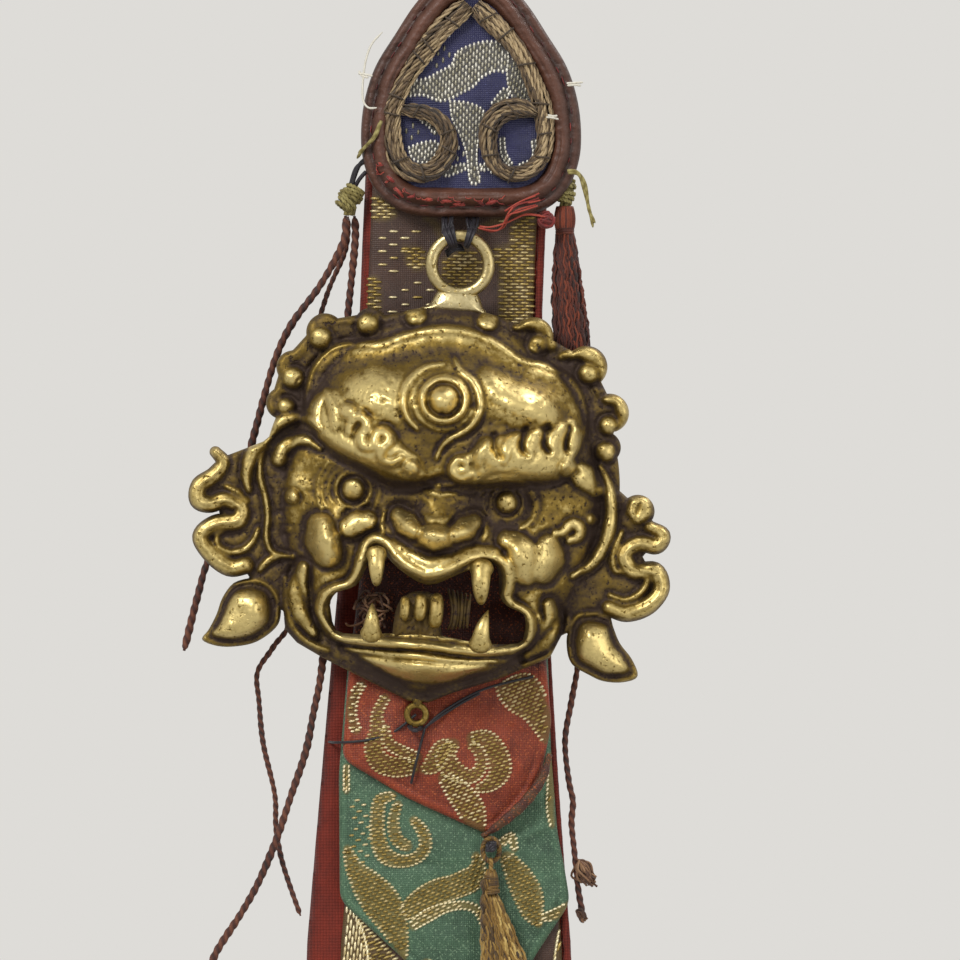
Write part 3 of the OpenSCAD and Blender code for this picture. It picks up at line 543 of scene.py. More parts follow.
class Tree:
    """A material's node tree under construction."""

    def __init__(self, name: str) -> None:
        """Starts a material with its shader and output.

        Args:
            name: the material's name.
        """
        self.material = bpy.data.materials.new(name)
        self.material.use_nodes = True
        self.nodes = self.material.node_tree.nodes
        self.nodes.clear()
        self.shader = self.node("ShaderNodeBsdfPrincipled")
        self.output = self.node("ShaderNodeOutputMaterial", sockets={0: self.shader.outputs[0]})

    def join(self, target: bpy.types.NodeSocket, value: object) -> None:
        """Links a value to a socket, or sets it there.

        Args:
            target: the socket.
            value: a wire, a socket, a number or a colour.
        """
        if isinstance(value, Wire):
            value = value.socket
        if isinstance(value, bpy.types.NodeSocket):
            self.material.node_tree.links.new(value, target)
        else:
            target.default_value = value

    def node(self, kind: str, settings: dict | None = None,
             sockets: dict | None = None) -> bpy.types.Node:
        """Adds a node.

        Args:
            kind: its type.
            settings: its properties; "stops" fills a colour ramp.
            sockets: its inputs, by name or number.

        Returns:
            The node.
        """
        made = self.nodes.new(kind)
        for key, value in (settings or {}).items():
            if key == "stops":
                ramp = made.color_ramp.elements
                while len(ramp) < len(value):
                    ramp.new(0.5)
                for stop, (place, colour) in zip(ramp, value):
                    stop.position = place
                    stop.color = (*colour, 1)
            else:
                setattr(made, key, value)
        for key, value in (sockets or {}).items():
            self.join(made.inputs[key], value)
        return made

    def given(self, name: str) -> Wire:
        """A value that the mesh carries at its points."""
        node = self.node("ShaderNodeAttribute", {"attribute_name": name})
        return Wire(self, node.outputs["Fac"])

    def place(self) -> bpy.types.NodeSocket:
        """The surface's own place, in metres."""
        return self.node("ShaderNodeTexCoord").outputs["Object"]

    def axes(self) -> tuple:
        """The place as three wires, in millimetres."""
        split = self.node("ShaderNodeSeparateXYZ", sockets={0: self.place()})
        return tuple(Wire(self, o) * 1000.0 for o in split.outputs)

    def noise(self, size: float, detail: float = 3.0, stretch: tuple = (1, 1, 1)) -> Wire:
        """Cloudy variation.

        Args:
            size: the usual size of a cloud, in millimetres.
            detail: how much finer detail it has.
            stretch: its scale along each axis.

        Returns:
            Values about 0.5.
        """
        vector = self.node("ShaderNodeVectorMath", {"operation": "MULTIPLY"},
                           {0: self.place(), 1: stretch}).outputs[0]
        node = self.node("ShaderNodeTexNoise", sockets={
            "Vector": vector, "Scale": 1000.0 / size, "Detail": detail})
        return Wire(self, node.outputs[0])

    def ramp(self, value: Wire, stops: Sequence) -> bpy.types.NodeSocket:
        """A colour for each value, through a colour ramp."""
        return self.node("ShaderNodeValToRGB", {"stops": stops}, {0: value}).outputs[0]

    def mix(self, share: object, one: object, two: object) -> bpy.types.NodeSocket:
        """A colour between two colours.

        Args:
            share: how much of the second.
            one: the first, or its socket.
            two: the second, or its socket.

        Returns:
            The mixed colour.
        """
        one, two = ((*c, 1) if isinstance(c, tuple) else c for c in (one, two))
        node = self.node("ShaderNodeMix", {"data_type": "RGBA"}, {0: share, 6: one, 7: two})
        return node.outputs[2]

    def bump(self, height: Wire, depth: float) -> bpy.types.NodeSocket:
        """A normal bent by a pattern of heights.

        Args:
            height: the pattern.
            depth: its real height, in millimetres.

        Returns:
            The normal.
        """
        return self.node("ShaderNodeBump", sockets={
            "Height": height, "Distance": depth * MM, "Strength": 1.0}).outputs[0]

    def dress(self, **sockets: object) -> bpy.types.Material:
        """Sets the shader's sockets.

        Args:
            sockets: their values, by name.

        Returns:
            The finished material.
        """
        for key, value in sockets.items():
            name = key.replace("_", " ")
            if isinstance(value, tuple) and len(value) == 3:
                value = (*value, 1)
            self.join(self.shader.inputs[name], value)
        return self.material


def rgb(code: str) -> tuple:
    """Linear colour of a hex code such as c8b060."""
    parts = [int(code[i:i + 2], 16) / 255 for i in (0, 2, 4)]
    return tuple(p / 12.92 if p < 0.04045 else ((p + 0.055) / 1.055)**2.4 for p in parts)


@dataclass(frozen=True)
class Brass:
    """Cast or drawn brass: rubbed bright where it stands proud, dark in its hollows."""

    name: str
    hollow: str
    middle: str
    bright: str
    grain: float
    rough: float
    tarnish: float
    level: float = 0.0

    def material(self) -> bpy.types.Material:
        """Builds the material.

        Returns:
            Brass that reads a value at the mesh's points, 0 in hollows and 1 on crests: patina and rubbing,
            with painted shade and painted highlight on the broad forms.
        """
        t = Tree(self.name)
        clouds = t.noise(3.2, 4.0)
        specks = t.noise(0.45, 3.0)
        pits = t.noise(0.6, 3.0).stretched(0.6, 0.72)
        # Dark in hollows and bright on crests: real patina and rubbing, with painted shade and painted
        # highlight carried in the same value.
        worn = (t.given("worn") + self.level + (clouds - 0.5) * self.tarnish
                + (specks - 0.5) * self.tarnish - pits * self.grain).limited()
        colour = t.ramp(worn, [(0.0, rgb(self.hollow)), (0.5, rgb(self.middle)),
                               (1.0, rgb(self.bright))])
        cast = t.noise(self.grain, 4.0)
        return t.dress(
            Base_Color=colour,
            Metallic=worn.stretched(0.05, 0.45) * 0.45 + 0.55,
            Roughness=(1 - worn) * 0.3 + self.rough + (specks - 0.5) * 0.14,
            Normal=t.bump(cast * 0.5 - pits, 0.25 * self.grain),
        )


@dataclass(frozen=True)
class Cloth:
    """Woven cloth with threads that show close by."""

    name: str
    colour: str
    shade: str
    pitch: float
    rough: float
    sheen: float
    glint: str = ""
    glint_share: float = 0.0
    gold: str = "8a7a40"

    def material(self) -> bpy.types.Material:
        """Builds the material.

        Returns:
            Cloth in plain weave; a value at the mesh's points lightens it, "shade" adds painted shade, and
            "gold" turns it to the colour of its woven figures, each where the mesh gives it.
        """
        t = Tree(self.name)
        x, _, z = t.axes()
        warp = (x * (math.pi / self.pitch)).math("SINE")
        weft = (z * (math.pi / self.pitch)).math("SINE")
        over = warp * weft * 0.5 + 0.5
        height = abs(warp) * over + abs(weft) * (1 - over)
        clouds = t.noise(4.0, 4.0)
        fibre = t.noise(0.3, 2.0, (1, 1, 0.3))
        # Lighter on the threads' crests and darker between them: painted shading of the weave.
        tone = (height * 0.35 + clouds * 0.75 + (fibre - 0.5) * 0.5
                + t.given("worn") * 0.5 - t.given("shade") * 0.8 - 0.05).limited()
        colour = t.mix(tone, rgb(self.shade), rgb(self.colour))
        # Painted glints: light specks on the threads where they float over.
        if self.glint:
            sparkle = t.noise(0.3, 1.0).stretched(1 - self.glint_share, 1.02 - self.glint_share)
            colour = t.mix(sparkle * over.stretched(0.35, 0.6) * 0.5, colour, rgb(self.glint))
        colour = t.mix(t.given("gold") * (tone * 0.3 + 0.65), colour, rgb(self.gold))
        return t.dress(
            Base_Color=colour,
            Roughness=(1 - height) * 0.2 + self.rough,
            Sheen_Weight=self.sheen,
            Sheen_Roughness=0.4,
            Normal=t.bump(height * 0.7 + fibre * 0.5, 0.09),
        )


@dataclass(frozen=True)
class Leather:
    """Thin leather, rubbed with use, with a fine grain."""

    name: str
    colour: str
    shade: str
    worn: str

    def material(self) -> bpy.types.Material:
        """Builds the material.

        Returns:
            Leather that "worn" lightens along its folds.
        """
        t = Tree(self.name)
        clouds = t.noise(5.0, 5.0)
        creases = t.noise(1.1, 5.0, (1, 1, 1.6))
        cells = Wire(t, t.node("ShaderNodeTexVoronoi", sockets={
            "Vector": t.place(), "Scale": 2600.0}).outputs[0])
        tone = (clouds * 1.5 - 0.25 + (creases - 0.5) * 0.5).limited()
        colour = t.mix(tone, rgb(self.shade), rgb(self.colour))
        rubbed = (t.given("worn") * (0.4 + clouds)).limited()
        return t.dress(
            Base_Color=t.mix(rubbed, colour, rgb(self.worn)),
            Roughness=(creases - 0.5) * 0.4 + 0.56,
            Normal=t.bump(cells * 0.35 + creases, 0.12),
        )


@dataclass(frozen=True)
class Yarn:
    """Thread, cord or strand, coloured from dark to light by its "tone" value."""

    name: str
    dark: str
    middle: str
    light: str
    rough: float = 0.7
    metal: float = 0.0
    sheen: float = 0.3
    fibre: float = 0.05

    def material(self) -> bpy.types.Material:
        """Builds the material.

        Returns:
            Yarn with fine fibres.
        """
        t = Tree(self.name)
        fibres = t.noise(0.22, 3.0, (1, 1, 0.35))
        clouds = t.noise(2.5, 3.0)
        tone = (t.given("tone") + (fibres - 0.5) * 0.55 + (clouds - 0.5) * 0.35).limited()
        colour = t.ramp(tone, [(0.0, rgb(self.dark)), (0.5, rgb(self.middle)),
                               (1.0, rgb(self.light))])
        return t.dress(
            Base_Color=colour,
            Roughness=(fibres - 0.5) * 0.3 + self.rough,
            Metallic=self.metal,
            Sheen_Weight=self.sheen,
            Normal=t.bump(fibres, self.fibre),
        )


class Finish(Enum):
    """The finishes of the banner's pieces."""

    CAST_BRASS = Brass("cast_brass", "3a2b22", "806a34", "d4bf80", 0.42, 0.38, 0.5)
    RING_BRASS = Brass("ring_brass", "483924", "94804c", "e2d4a6", 0.35, 0.26, 0.3)
    DRAWN_BRASS = Brass("drawn_brass", "483924", "94804c", "e2d4a6", 0.35, 0.28, 0.4, 0.6)
    RED_CLOTH = Cloth("red_bag_cloth", "8c2a12", "380a04", 0.42, 0.75, 0.12)
    GREEN_SILK = Cloth("green_silk", "587c5c", "1e3428", 0.3, 0.5, 0.15, "93b08c", 0.42, "7c6c34")
    ORANGE_SILK = Cloth("orange_silk", "aa421a", "3c0e06", 0.32, 0.52, 0.15, "cc6a34", 0.42,
                        "6e5220")
    BROWN_SILK = Cloth("brown_silk", "54382a", "20130d", 0.28, 0.48, 0.12, "8a6a4c", 0.3, "5e4a24")
    BLUE_SILK = Cloth("blue_silk", "242456", "0c0c26", 0.28, 0.46, 0.12, "6a70a8", 0.28, "6c6850")
    WADDING = Cloth("wadding", "d8ccb4", "9c8c70", 0.9, 0.95, 0.4)
    LEATHER = Leather("patch_leather", "46271a", "1f0f08", "6e422e")
    TAB_LEATHER = Leather("tab_leather", "4a281a", "22110a", "74462e")
    METAL_THREAD = Yarn("metal_thread", "4a3c18", "b09650", "fff2c8", 0.38, 0.5, 0.0, 0.02)
    SILVER_THREAD = Yarn("silver_thread", "504c38", "9c9680", "f2eee0", 0.38, 0.45, 0.0, 0.02)
    TAN_THREAD = Yarn("tan_thread", "251a10", "665034", "bfa67c", 0.62, 0.0, 0.15)
    RED_THREAD = Yarn("red_thread", "3a0a05", "80201a", "b84a34", 0.6, 0.0, 0.15)
    DARK_THREAD = Yarn("dark_waxed_thread", "0a070d", "17111a", "342a36", 0.5, 0.0, 0.1)
    RUSSET_CORD = Yarn("russet_cord", "1a0a06", "4e2517", "7e4c34", 0.72, 0.0, 0.1)
    RED_YARN = Yarn("red_yarn", "190805", "481a0d", "863c20", 0.7, 0.0, 0.1)
    GOLD_YARN = Yarn("gold_yarn", "33200a", "8a6622", "d4b468", 0.58, 0.0, 0.15)
    OLIVE_YARN = Yarn("olive_yarn", "3a3414", "80723a", "c0b474", 0.7, 0.0, 0.1)
    BROWN_YARN = Yarn("brown_yarn", "2a1810", "6e4a32", "a8835e", 0.7, 0.0, 0.1)
    PALE_THREAD = Yarn("pale_thread", "8a8270", "cfc6b0", "f4efe0", 0.6)


FINISHES: dict = {}


def finished(piece: bpy.types.Object, finish: Finish) -> bpy.types.Object:
    """Gives a piece its material, made once for all that share it.

    Args:
        piece: the piece.
        finish: its finish.

    Returns:
        The piece.
    """
    if finish not in FINISHES:
        FINISHES[finish] = finish.value.material()
    piece.data.materials.append(FINISHES[finish])
    return piece


def settle(shape: Shape, name: str, finish: Finish, body: str, slot: str,
           nodes: tuple = ()) -> bpy.types.Object:
    """Makes a piece and ties it to its body.

    Args:
        shape: its mesh.
        name: its name.
        finish: its finish.
        body: the CAD body that it moves with, or none if it bends between two.
        slot: not used.
        nodes: the CAD nodes that it stands for.

    Returns:
        The piece.
    """
    piece = finished(shape.mesh(name), finish)
    if body:
        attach(piece, body)
    if nodes:
        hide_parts(*nodes)
    log.info("%s: %d faces on %s", name, len(piece.data.polygons), body)
    return piece


# The setting: camera, lamps and backdrop


@dataclass(frozen=True)
class Balance:
    """How the strip leans back under the ring's bar, so that the mask's weight hangs below it."""

    bar: float = -9.1
    lean: float = math.radians(5.24)

    def points(self, flat: np.ndarray) -> np.ndarray:
        """Turns places of the flat design back with the leaning strip.

        Args:
            flat: the places.

        Returns:
            The places in the frame, in millimetres.
        """
        p = np.asarray(flat, float)
        c, s = math.cos(self.lean), math.sin(self.lean)
        y, z = p[..., 1], p[..., 2] - self.bar
        return np.stack([p[..., 0], y * c - z * s, self.bar + y * s + z * c], -1)


BALANCE = Balance()


@dataclass(frozen=True)
class Studio:
    """Camera at the photograph's angle, soft lamps, a pale floor and a pale surround."""

    eye: tuple = (1.24, -608.0, -83.2)
    view: float = 2 * math.atan(66 / 600)
    floor: float = -262.0
    fade: tuple = (180.0, 560.0)
    dim: float = 0.24
    pale: float = 1.0
    lamps: tuple = (("key_lamp", (-0.42, -0.62, 0.42), 0.34, 5.6),
                    ("fill_lamp", (0.6, -0.5, 0.0), 0.6, 1.9),
                    ("rim_lamp", (0.3, 0.2, 0.45), 0.3, 2.0))

    def camera(self) -> None:
        """Places the camera square to the leaning strip."""
        data = bpy.data.cameras.new("photo_camera")
        data.sensor_width = 36.0
        data.lens = 18.0 / math.tan(self.view / 2)
        data.clip_start = 0.01
        made = bpy.data.objects.new("photo_camera", data)
        made.location = BALANCE.points(self.eye) * MM
        made.rotation_euler = (math.pi / 2 + BALANCE.lean, 0, 0)
        bpy.context.scene.collection.objects.link(made)
        bpy.context.scene.camera = made

    def lamp(self, name: str, place: tuple, size: float, power: float) -> None:
        """Adds a soft square lamp aimed at the mask.

        Args:
            name: the lamp's name.
            place: where it stands, in metres.
            size: its side, in metres.
            power: its strength, in watts.
        """
        data = bpy.data.lights.new(name, "AREA")
        data.size = size
        data.energy = power
        made = bpy.data.objects.new(name, data)
        made.location = place
        aim = Vector((0, 0, -0.09)) - Vector(place)
        made.rotation_euler = aim.to_track_quat("-Z", "Y").to_euler()
        bpy.context.scene.collection.objects.link(made)

    def ground(self) -> None:
        """Lays a floor of pale paper that fades into the surround, and is clear from below."""
        side = self.fade[1]
        shape = Shape()
        shape.add(np.array([[x, y, self.floor] for x, y in
                            ((-side, -side), (side, -side), (side, side), (-side, side))]),
                  np.array([[0, 1, 2, 3]]))
        piece = shape.mesh("studio_floor", hangs=False)
        t = Tree("studio_paper")
        t.dress(Base_Color=t.mix(t.noise(120.0, 2.0), rgb("dedcd8"), rgb("e6e4e1")), Roughness=0.9)
        x, y, _ = t.axes()
        far = ((x * x + y * y)**0.5).stretched(*self.fade)
        below = t.node("ShaderNodeNewGeometry").outputs["Backfacing"]
        clear = t.node("ShaderNodeBsdfTransparent").outputs[0]
        seen = t.node("ShaderNodeMixShader", sockets={
            0: far.math("MAXIMUM", below), 1: t.shader.outputs[0], 2: clear})
        t.join(t.output.inputs[0], seen.outputs[0])
        piece.data.materials.append(t.material)

    def sky(self) -> bpy.types.World:
        """Makes the world: dim light on the object, and a pale surround in all it shows.

        Returns:
            The world.
        """
        world = bpy.data.worlds.new("studio_world")
        world.use_nodes = True
        tree = world.node_tree
        dim = tree.nodes["Background"]
        dim.inputs[0].default_value = (0.86, 0.88, 0.9, 1)
        dim.inputs[1].default_value = self.dim
        pale = tree.nodes.new("ShaderNodeBackground")
        pale.inputs[0].default_value = (*rgb("dedcd8"), 1)
        pale.inputs[1].default_value = self.pale
        path = tree.nodes.new("ShaderNodeLightPath")
        seen = path.outputs["Is Camera Ray"]
        for other in ("Is Glossy Ray", "Is Transmission Ray"):
            either = tree.nodes.new("ShaderNodeMath")
            either.operation = "MAXIMUM"
            tree.links.new(seen, either.inputs[0])
            tree.links.new(path.outputs[other], either.inputs[1])
            seen = either.outputs[0]
        mix = tree.nodes.new("ShaderNodeMixShader")
        for socket, value in zip(mix.inputs, (seen, dim.outputs[0], pale.outputs[0])):
            tree.links.new(value, socket)
        tree.links.new(mix.outputs[0], tree.nodes["World Output"].inputs[0])
        return world

    def build(self) -> None:
        """Sets up the scene's colours, lamps, camera and backdrop."""
        scene = bpy.context.scene
        scene.view_settings.view_transform = "Standard"
        scene.world = self.sky()
        for lamp in self.lamps:
            self.lamp(*lamp)
        self.ground()
        self.camera()


# Cords, knots and tassels


@dataclass(frozen=True)
class FreeCord:
    """One twisted silk cord that hangs free from a knot."""

    name: str
    node: str
    body: str
    start: tuple
    route: tuple
    thick: float
    pitch: float

    def path(self) -> np.ndarray:
        """The cord's middle line in the flat design, with close points."""
        return evenly(spline([self.start, *self.route], 8), self.pitch / 12)

    def build(self) -> bpy.types.Object:
        """Returns:
            The cord.
        """
        path = self.path()
        s = travel(path)
        sides = 14
        a = np.linspace(0, TURN, sides, endpoint=False)[None, :]
        twist = TURN * s[:, None] / self.pitch
        lobe = np.abs(np.cos(a - twist))
        slack = 1 + 0.05 * np.sin(s / 2.3)[:, None] + 0.03 * np.sin(s / 0.9 + 1)[:, None]
        radius = self.thick / 2 * (0.74 + 0.27 * lobe) * slack
        ends = np.clip(np.minimum(s, s[-1] - s) / 0.6, 0.35, 1)[:, None]
        # Lighter on the crest of each ply and darker in the grooves between them: painted highlight and
        # painted shade.
        tone = 0.12 + 0.62 * lobe**1.5 + 0.12 * np.sin(s / 3.1)[:, None]
        shape = Shape()
        shape.tube(path, radius * ends, sides, tone=tone)
        piece = settle(shape, self.name, Finish.RUSSET_CORD, self.body, "russet_cord", (self.node,))
        row = BALANCE.points(path) * MM
        length = float(travel(row)[-1])
        self.thick * MM
        log.info("%s is %.1f mm long", self.name, length / MM)
        return piece


LEFT_CORDS = (
    FreeCord("left_cord_thick", "left_cord_outer", "left_cords", (-17.534, 0.8, -46.3375), (
        (-17.8, 0.5, -50), (-21, 0.4, -56), (-25, 0, -61.5), (-27.5, 0, -67), (-30, 0, -76),
        (-32.5, 0, -85), (-36.5, 0, -94), (-38, 0, -99), (-40, 0, -107)), 1.1, 2.9),
    FreeCord("left_cord_long", "left_cord_inner", "left_cords", (-16.294, 1.2, -46.3375), (
        (-16.2, 1.2, -50), (-17.2, 1.2, -60), (-18.6, 1, -75), (-19.6, 0, -92),
        (-20.6, -1, -108), (-22, -1.2, -116), (-23, -1.4, -121), (-25, -1.4, -127),
        (-27, -1.4, -133), (-29.5, -1, -139), (-32, -1, -143.5), (-35.5, -1, -149),
        (-36.8, -1, -153)), 1.1, 2.7),
    FreeCord("left_cord_fine", "left_cord_thin", "left_cords", (-17.214, 2.15, -46.3375), (
        (-17.6, 2.6, -51), (-20.4, 2.2, -58), (-23.4, 1.5, -70), (-24.6, 1.2, -90),
        (-25, 1, -102), (-27.6, 0.8, -106.5), (-29.8, 0.8, -110), (-29.6, 0.8, -114),
        (-29, 0.8, -120), (-27.4, 0.8, -127), (-27.2, 0.8, -132), (-26.2, 0.8, -137),
        (-23.8, 0.8, -144)), 0.8, 2.3),
)
RIGHT_CORDS = (
    FreeCord("right_cord_fine", "right_cord", "right_cords", (14.03, 1.3, -68), (
        (15.4, 1, -76), (16, 0.6, -84), (16, 0.4, -96), (15, 0.4, -108), (14, 0.4, -114),
        (13.1, 0.4, -119.5), (13.6, 0.4, -125), (14.2, 0.4, -128), (14, 0.4, -131),
        (14.4, 0.4, -135), (14.9, 0.4, -140), (15.6, 0.4, -144)), 0.9, 2.6),
)


# Casting


class Relief:
    """A cast surface: broad masses first, then bands and beads on them, then cuts."""

    def __init__(self, grid: Lattice, base: np.ndarray) -> None:
        """Starts from a smooth surface.

        Args:
            grid: the lattice that it lies on.
            base: its heights.
        """
        self.grid = grid
        self.base = base.copy()
        self.proud = np.full(base.shape, -1e9)
        self.moat = np.zeros(base.shape)
        self.cut = np.zeros(base.shape)

    def mass(self, outline: Sequence, rise: float, edge: float) -> None:
        """Raises or sinks what lies inside an outline.

        Args:
            outline: the outline's corners.
            rise: how far.
            edge: width of its rounded edge.
        """
        depth = inside(self.grid.x, self.grid.z, loop_curve(outline, 5))
        share = np.clip(depth / edge, 0, 1)
        self.base += rise * np.sqrt(1 - (1 - share)**2) * (depth > 0)

    def hump(self, x: float, z: float, rx: float, rz: float, rise: float) -> None:
        """Adds a soft swelling."""
        g = self.grid
        self.base += rise * np.exp(-((g.x - x) / rx)**2 - ((g.z - z) / rz)**2)

    def band(self, points: Sequence, wide: tuple, rise: float, moat: float = 0.35,
             soft: float = 0.42, closed: bool = False) -> None:
        """Lays a rounded band along a route.

        Args:
            points: the route.
            wide: half widths, spread evenly along it.
            rise: how far its widest place stands proud.
            moat: depth of the hollow beside it.
            soft: width of that hollow.
            closed: joins its ends.
        """
        path = spline([*points, points[0]] if closed else points, 6)
        self.lay(path, wide, rise, moat, soft)

    def lay(self, path: np.ndarray, wide: tuple, rise: float, moat: float,
            soft: float = 0.42) -> None:
        """Lays a band along a ready path.

        Args:
            path: the path.
            wide: half widths, spread evenly along it.
            rise: how far its widest place stands proud.
            moat: depth of the hollow beside it.
            soft: width of that hollow.
        """
        part = self.grid.around(path, max(wide) + 2.6 * soft)
        gap, share = line_distance(self.grid.x[part], self.grid.z[part], path)
        radius = np.interp(share, np.linspace(0, 1, len(wide)), wide)
        q = gap / radius
        cap = np.clip(1 - q * q, 0, None)**(0.5 + 0.12 * min(max(wide), 2.5))
        tall = rise * (radius / max(wide))**0.6
        top = np.where(q < 1, self.base[part] + tall * cap - 0.1, -1e9)
        self.proud[part] = np.maximum(self.proud[part], top)
        beside = np.exp(-(np.clip(gap - radius, 0, None) / soft)**2)
        self.moat[part] = np.maximum(self.moat[part], moat * beside)

    def ring(self, x: float, z: float, radius: float, half: float, rise: float,
             turn: tuple = (0, 360), flat: float = 1.0, moat: float = 0.35) -> None:
        """Lays a band round a circle or an arc.

        Args:
            x: its centre across.
            z: its centre's height.
            radius: from the centre to its crest.
            half: its half width.
            rise: how far it stands proud.
            turn: where it starts and ends, in degrees from +X.
            flat: its height as a share of its width.
            moat: depth of the hollow beside it.
        """
        a = np.radians(np.linspace(*turn, 49))
        path = np.stack([x + radius * np.cos(a), z + flat * radius * np.sin(a)], 1)
        self.lay(path, (half, half), rise, moat)

    def bead(self, x: float, z: float, radius: float, rise: float, moat: float = 0.5) -> None:
        """Sets a round bead."""
        self.lay(np.array([[x - 0.05, z], [x + 0.05, z]]), (radius, radius), rise, moat)

    def groove(self, points: Sequence, half: float, depth: float) -> None:
        """Cuts a groove.

        Args:
            points: its route.
            half: its half width.
            depth: its depth.
        """
        path = spline(points, 5)
        part = self.grid.around(path, 3 * half)
        gap, _ = line_distance(self.grid.x[part], self.grid.z[part], path)
        self.cut[part] = np.maximum(self.cut[part], depth * np.exp(-(gap / half)**2))

    def heights(self) -> np.ndarray:
        """The finished surface."""
        step = np.maximum(self.base - self.moat, self.proud)
        return blurred(step, 0.95) - blurred(self.cut, 0.6)


@dataclass(frozen=True)
class MaskFrame:
    """Where the mask hangs, and how its own x, up and height turn into the row's axes."""

    x: float = -4.3
    z: float = -86.0
    out: float = 4.0
    roll: float = math.radians(4.9)

    def points(self, x: np.ndarray, h: np.ndarray, up: np.ndarray) -> np.ndarray:
        """Places on the mask in the flat design.

        Args:
            x: places across the mask.
            h: how far out from its back.
            up: heights on it.

        Returns:
            The places.
        """
        c, s = math.cos(self.roll), math.sin(self.roll)
        return np.stack([self.x + c * x + s * up, -self.out - h + 0 * x,
                         self.z - s * x + c * up], -1)


@dataclass(frozen=True)
class MaskRings:
    """The mask's two rings in its own x, out and up, as in the solid."""

    out: float = 0.85
    up: float = 32.7
    radius: float = 3.95
    wire: float = 0.85
    chin: tuple = (-0.7, 1.1, -29.75)
    chin_radius: float = 1.3
    chin_wire: float = 0.45


FRAME = MaskFrame()
RINGS = MaskRings()

# Swellings of the face: place, half widths and height, as in the solid
SWELLINGS = (
    (-10, 13, 7, 5, 4.2), (11, 14, 7, 5, 4.2), (-9, 6, 6, 3, 3.8), (9, 6.6, 7, 3, 3.8),
    (-0.5, 13.7, 5, 5, 3.6), (0, 1, 4, 4, 2.2), (0, -4.6, 5.5, 2.4, 5.4),
    (-14.8, -6.4, 2.6, 4, 3.6), (12.5, -6.6, 4.2, 4, 3.6), (0, -9.4, 9, 3, 4),
    (-14.4, -16, 3, 4, 3), (14.2, -16, 3, 4, 3), (0, -20, 11, 2.6, 3.8),
    (0, -23, 6, 2.6, 5.2), (-11.9, 0.2, 3.6, 3, -1.8), (9.6, 0.4, 3.6, 3, -1.8),
)


def face_height(x: np.ndarray, z: np.ndarray) -> np.ndarray:
    """The face's main form, the same as the solid's.

    Args:
        x: places across.
        z: heights.

    Returns:
        How far out its front is.
    """
    share = np.clip(1.25 * (1 - (x / 21.5)**2 - ((z - 0.3) / 25.6)**2), 0, 1)
    swell = sum(h * np.exp(-((x - a) / rx)**2 - ((z - b) / rz)**2)
                for a, b, rx, rz, h in SWELLINGS)
    return 2.2 + 6 * share**0.7 + np.where(share > 0, share**0.4, 0) * swell


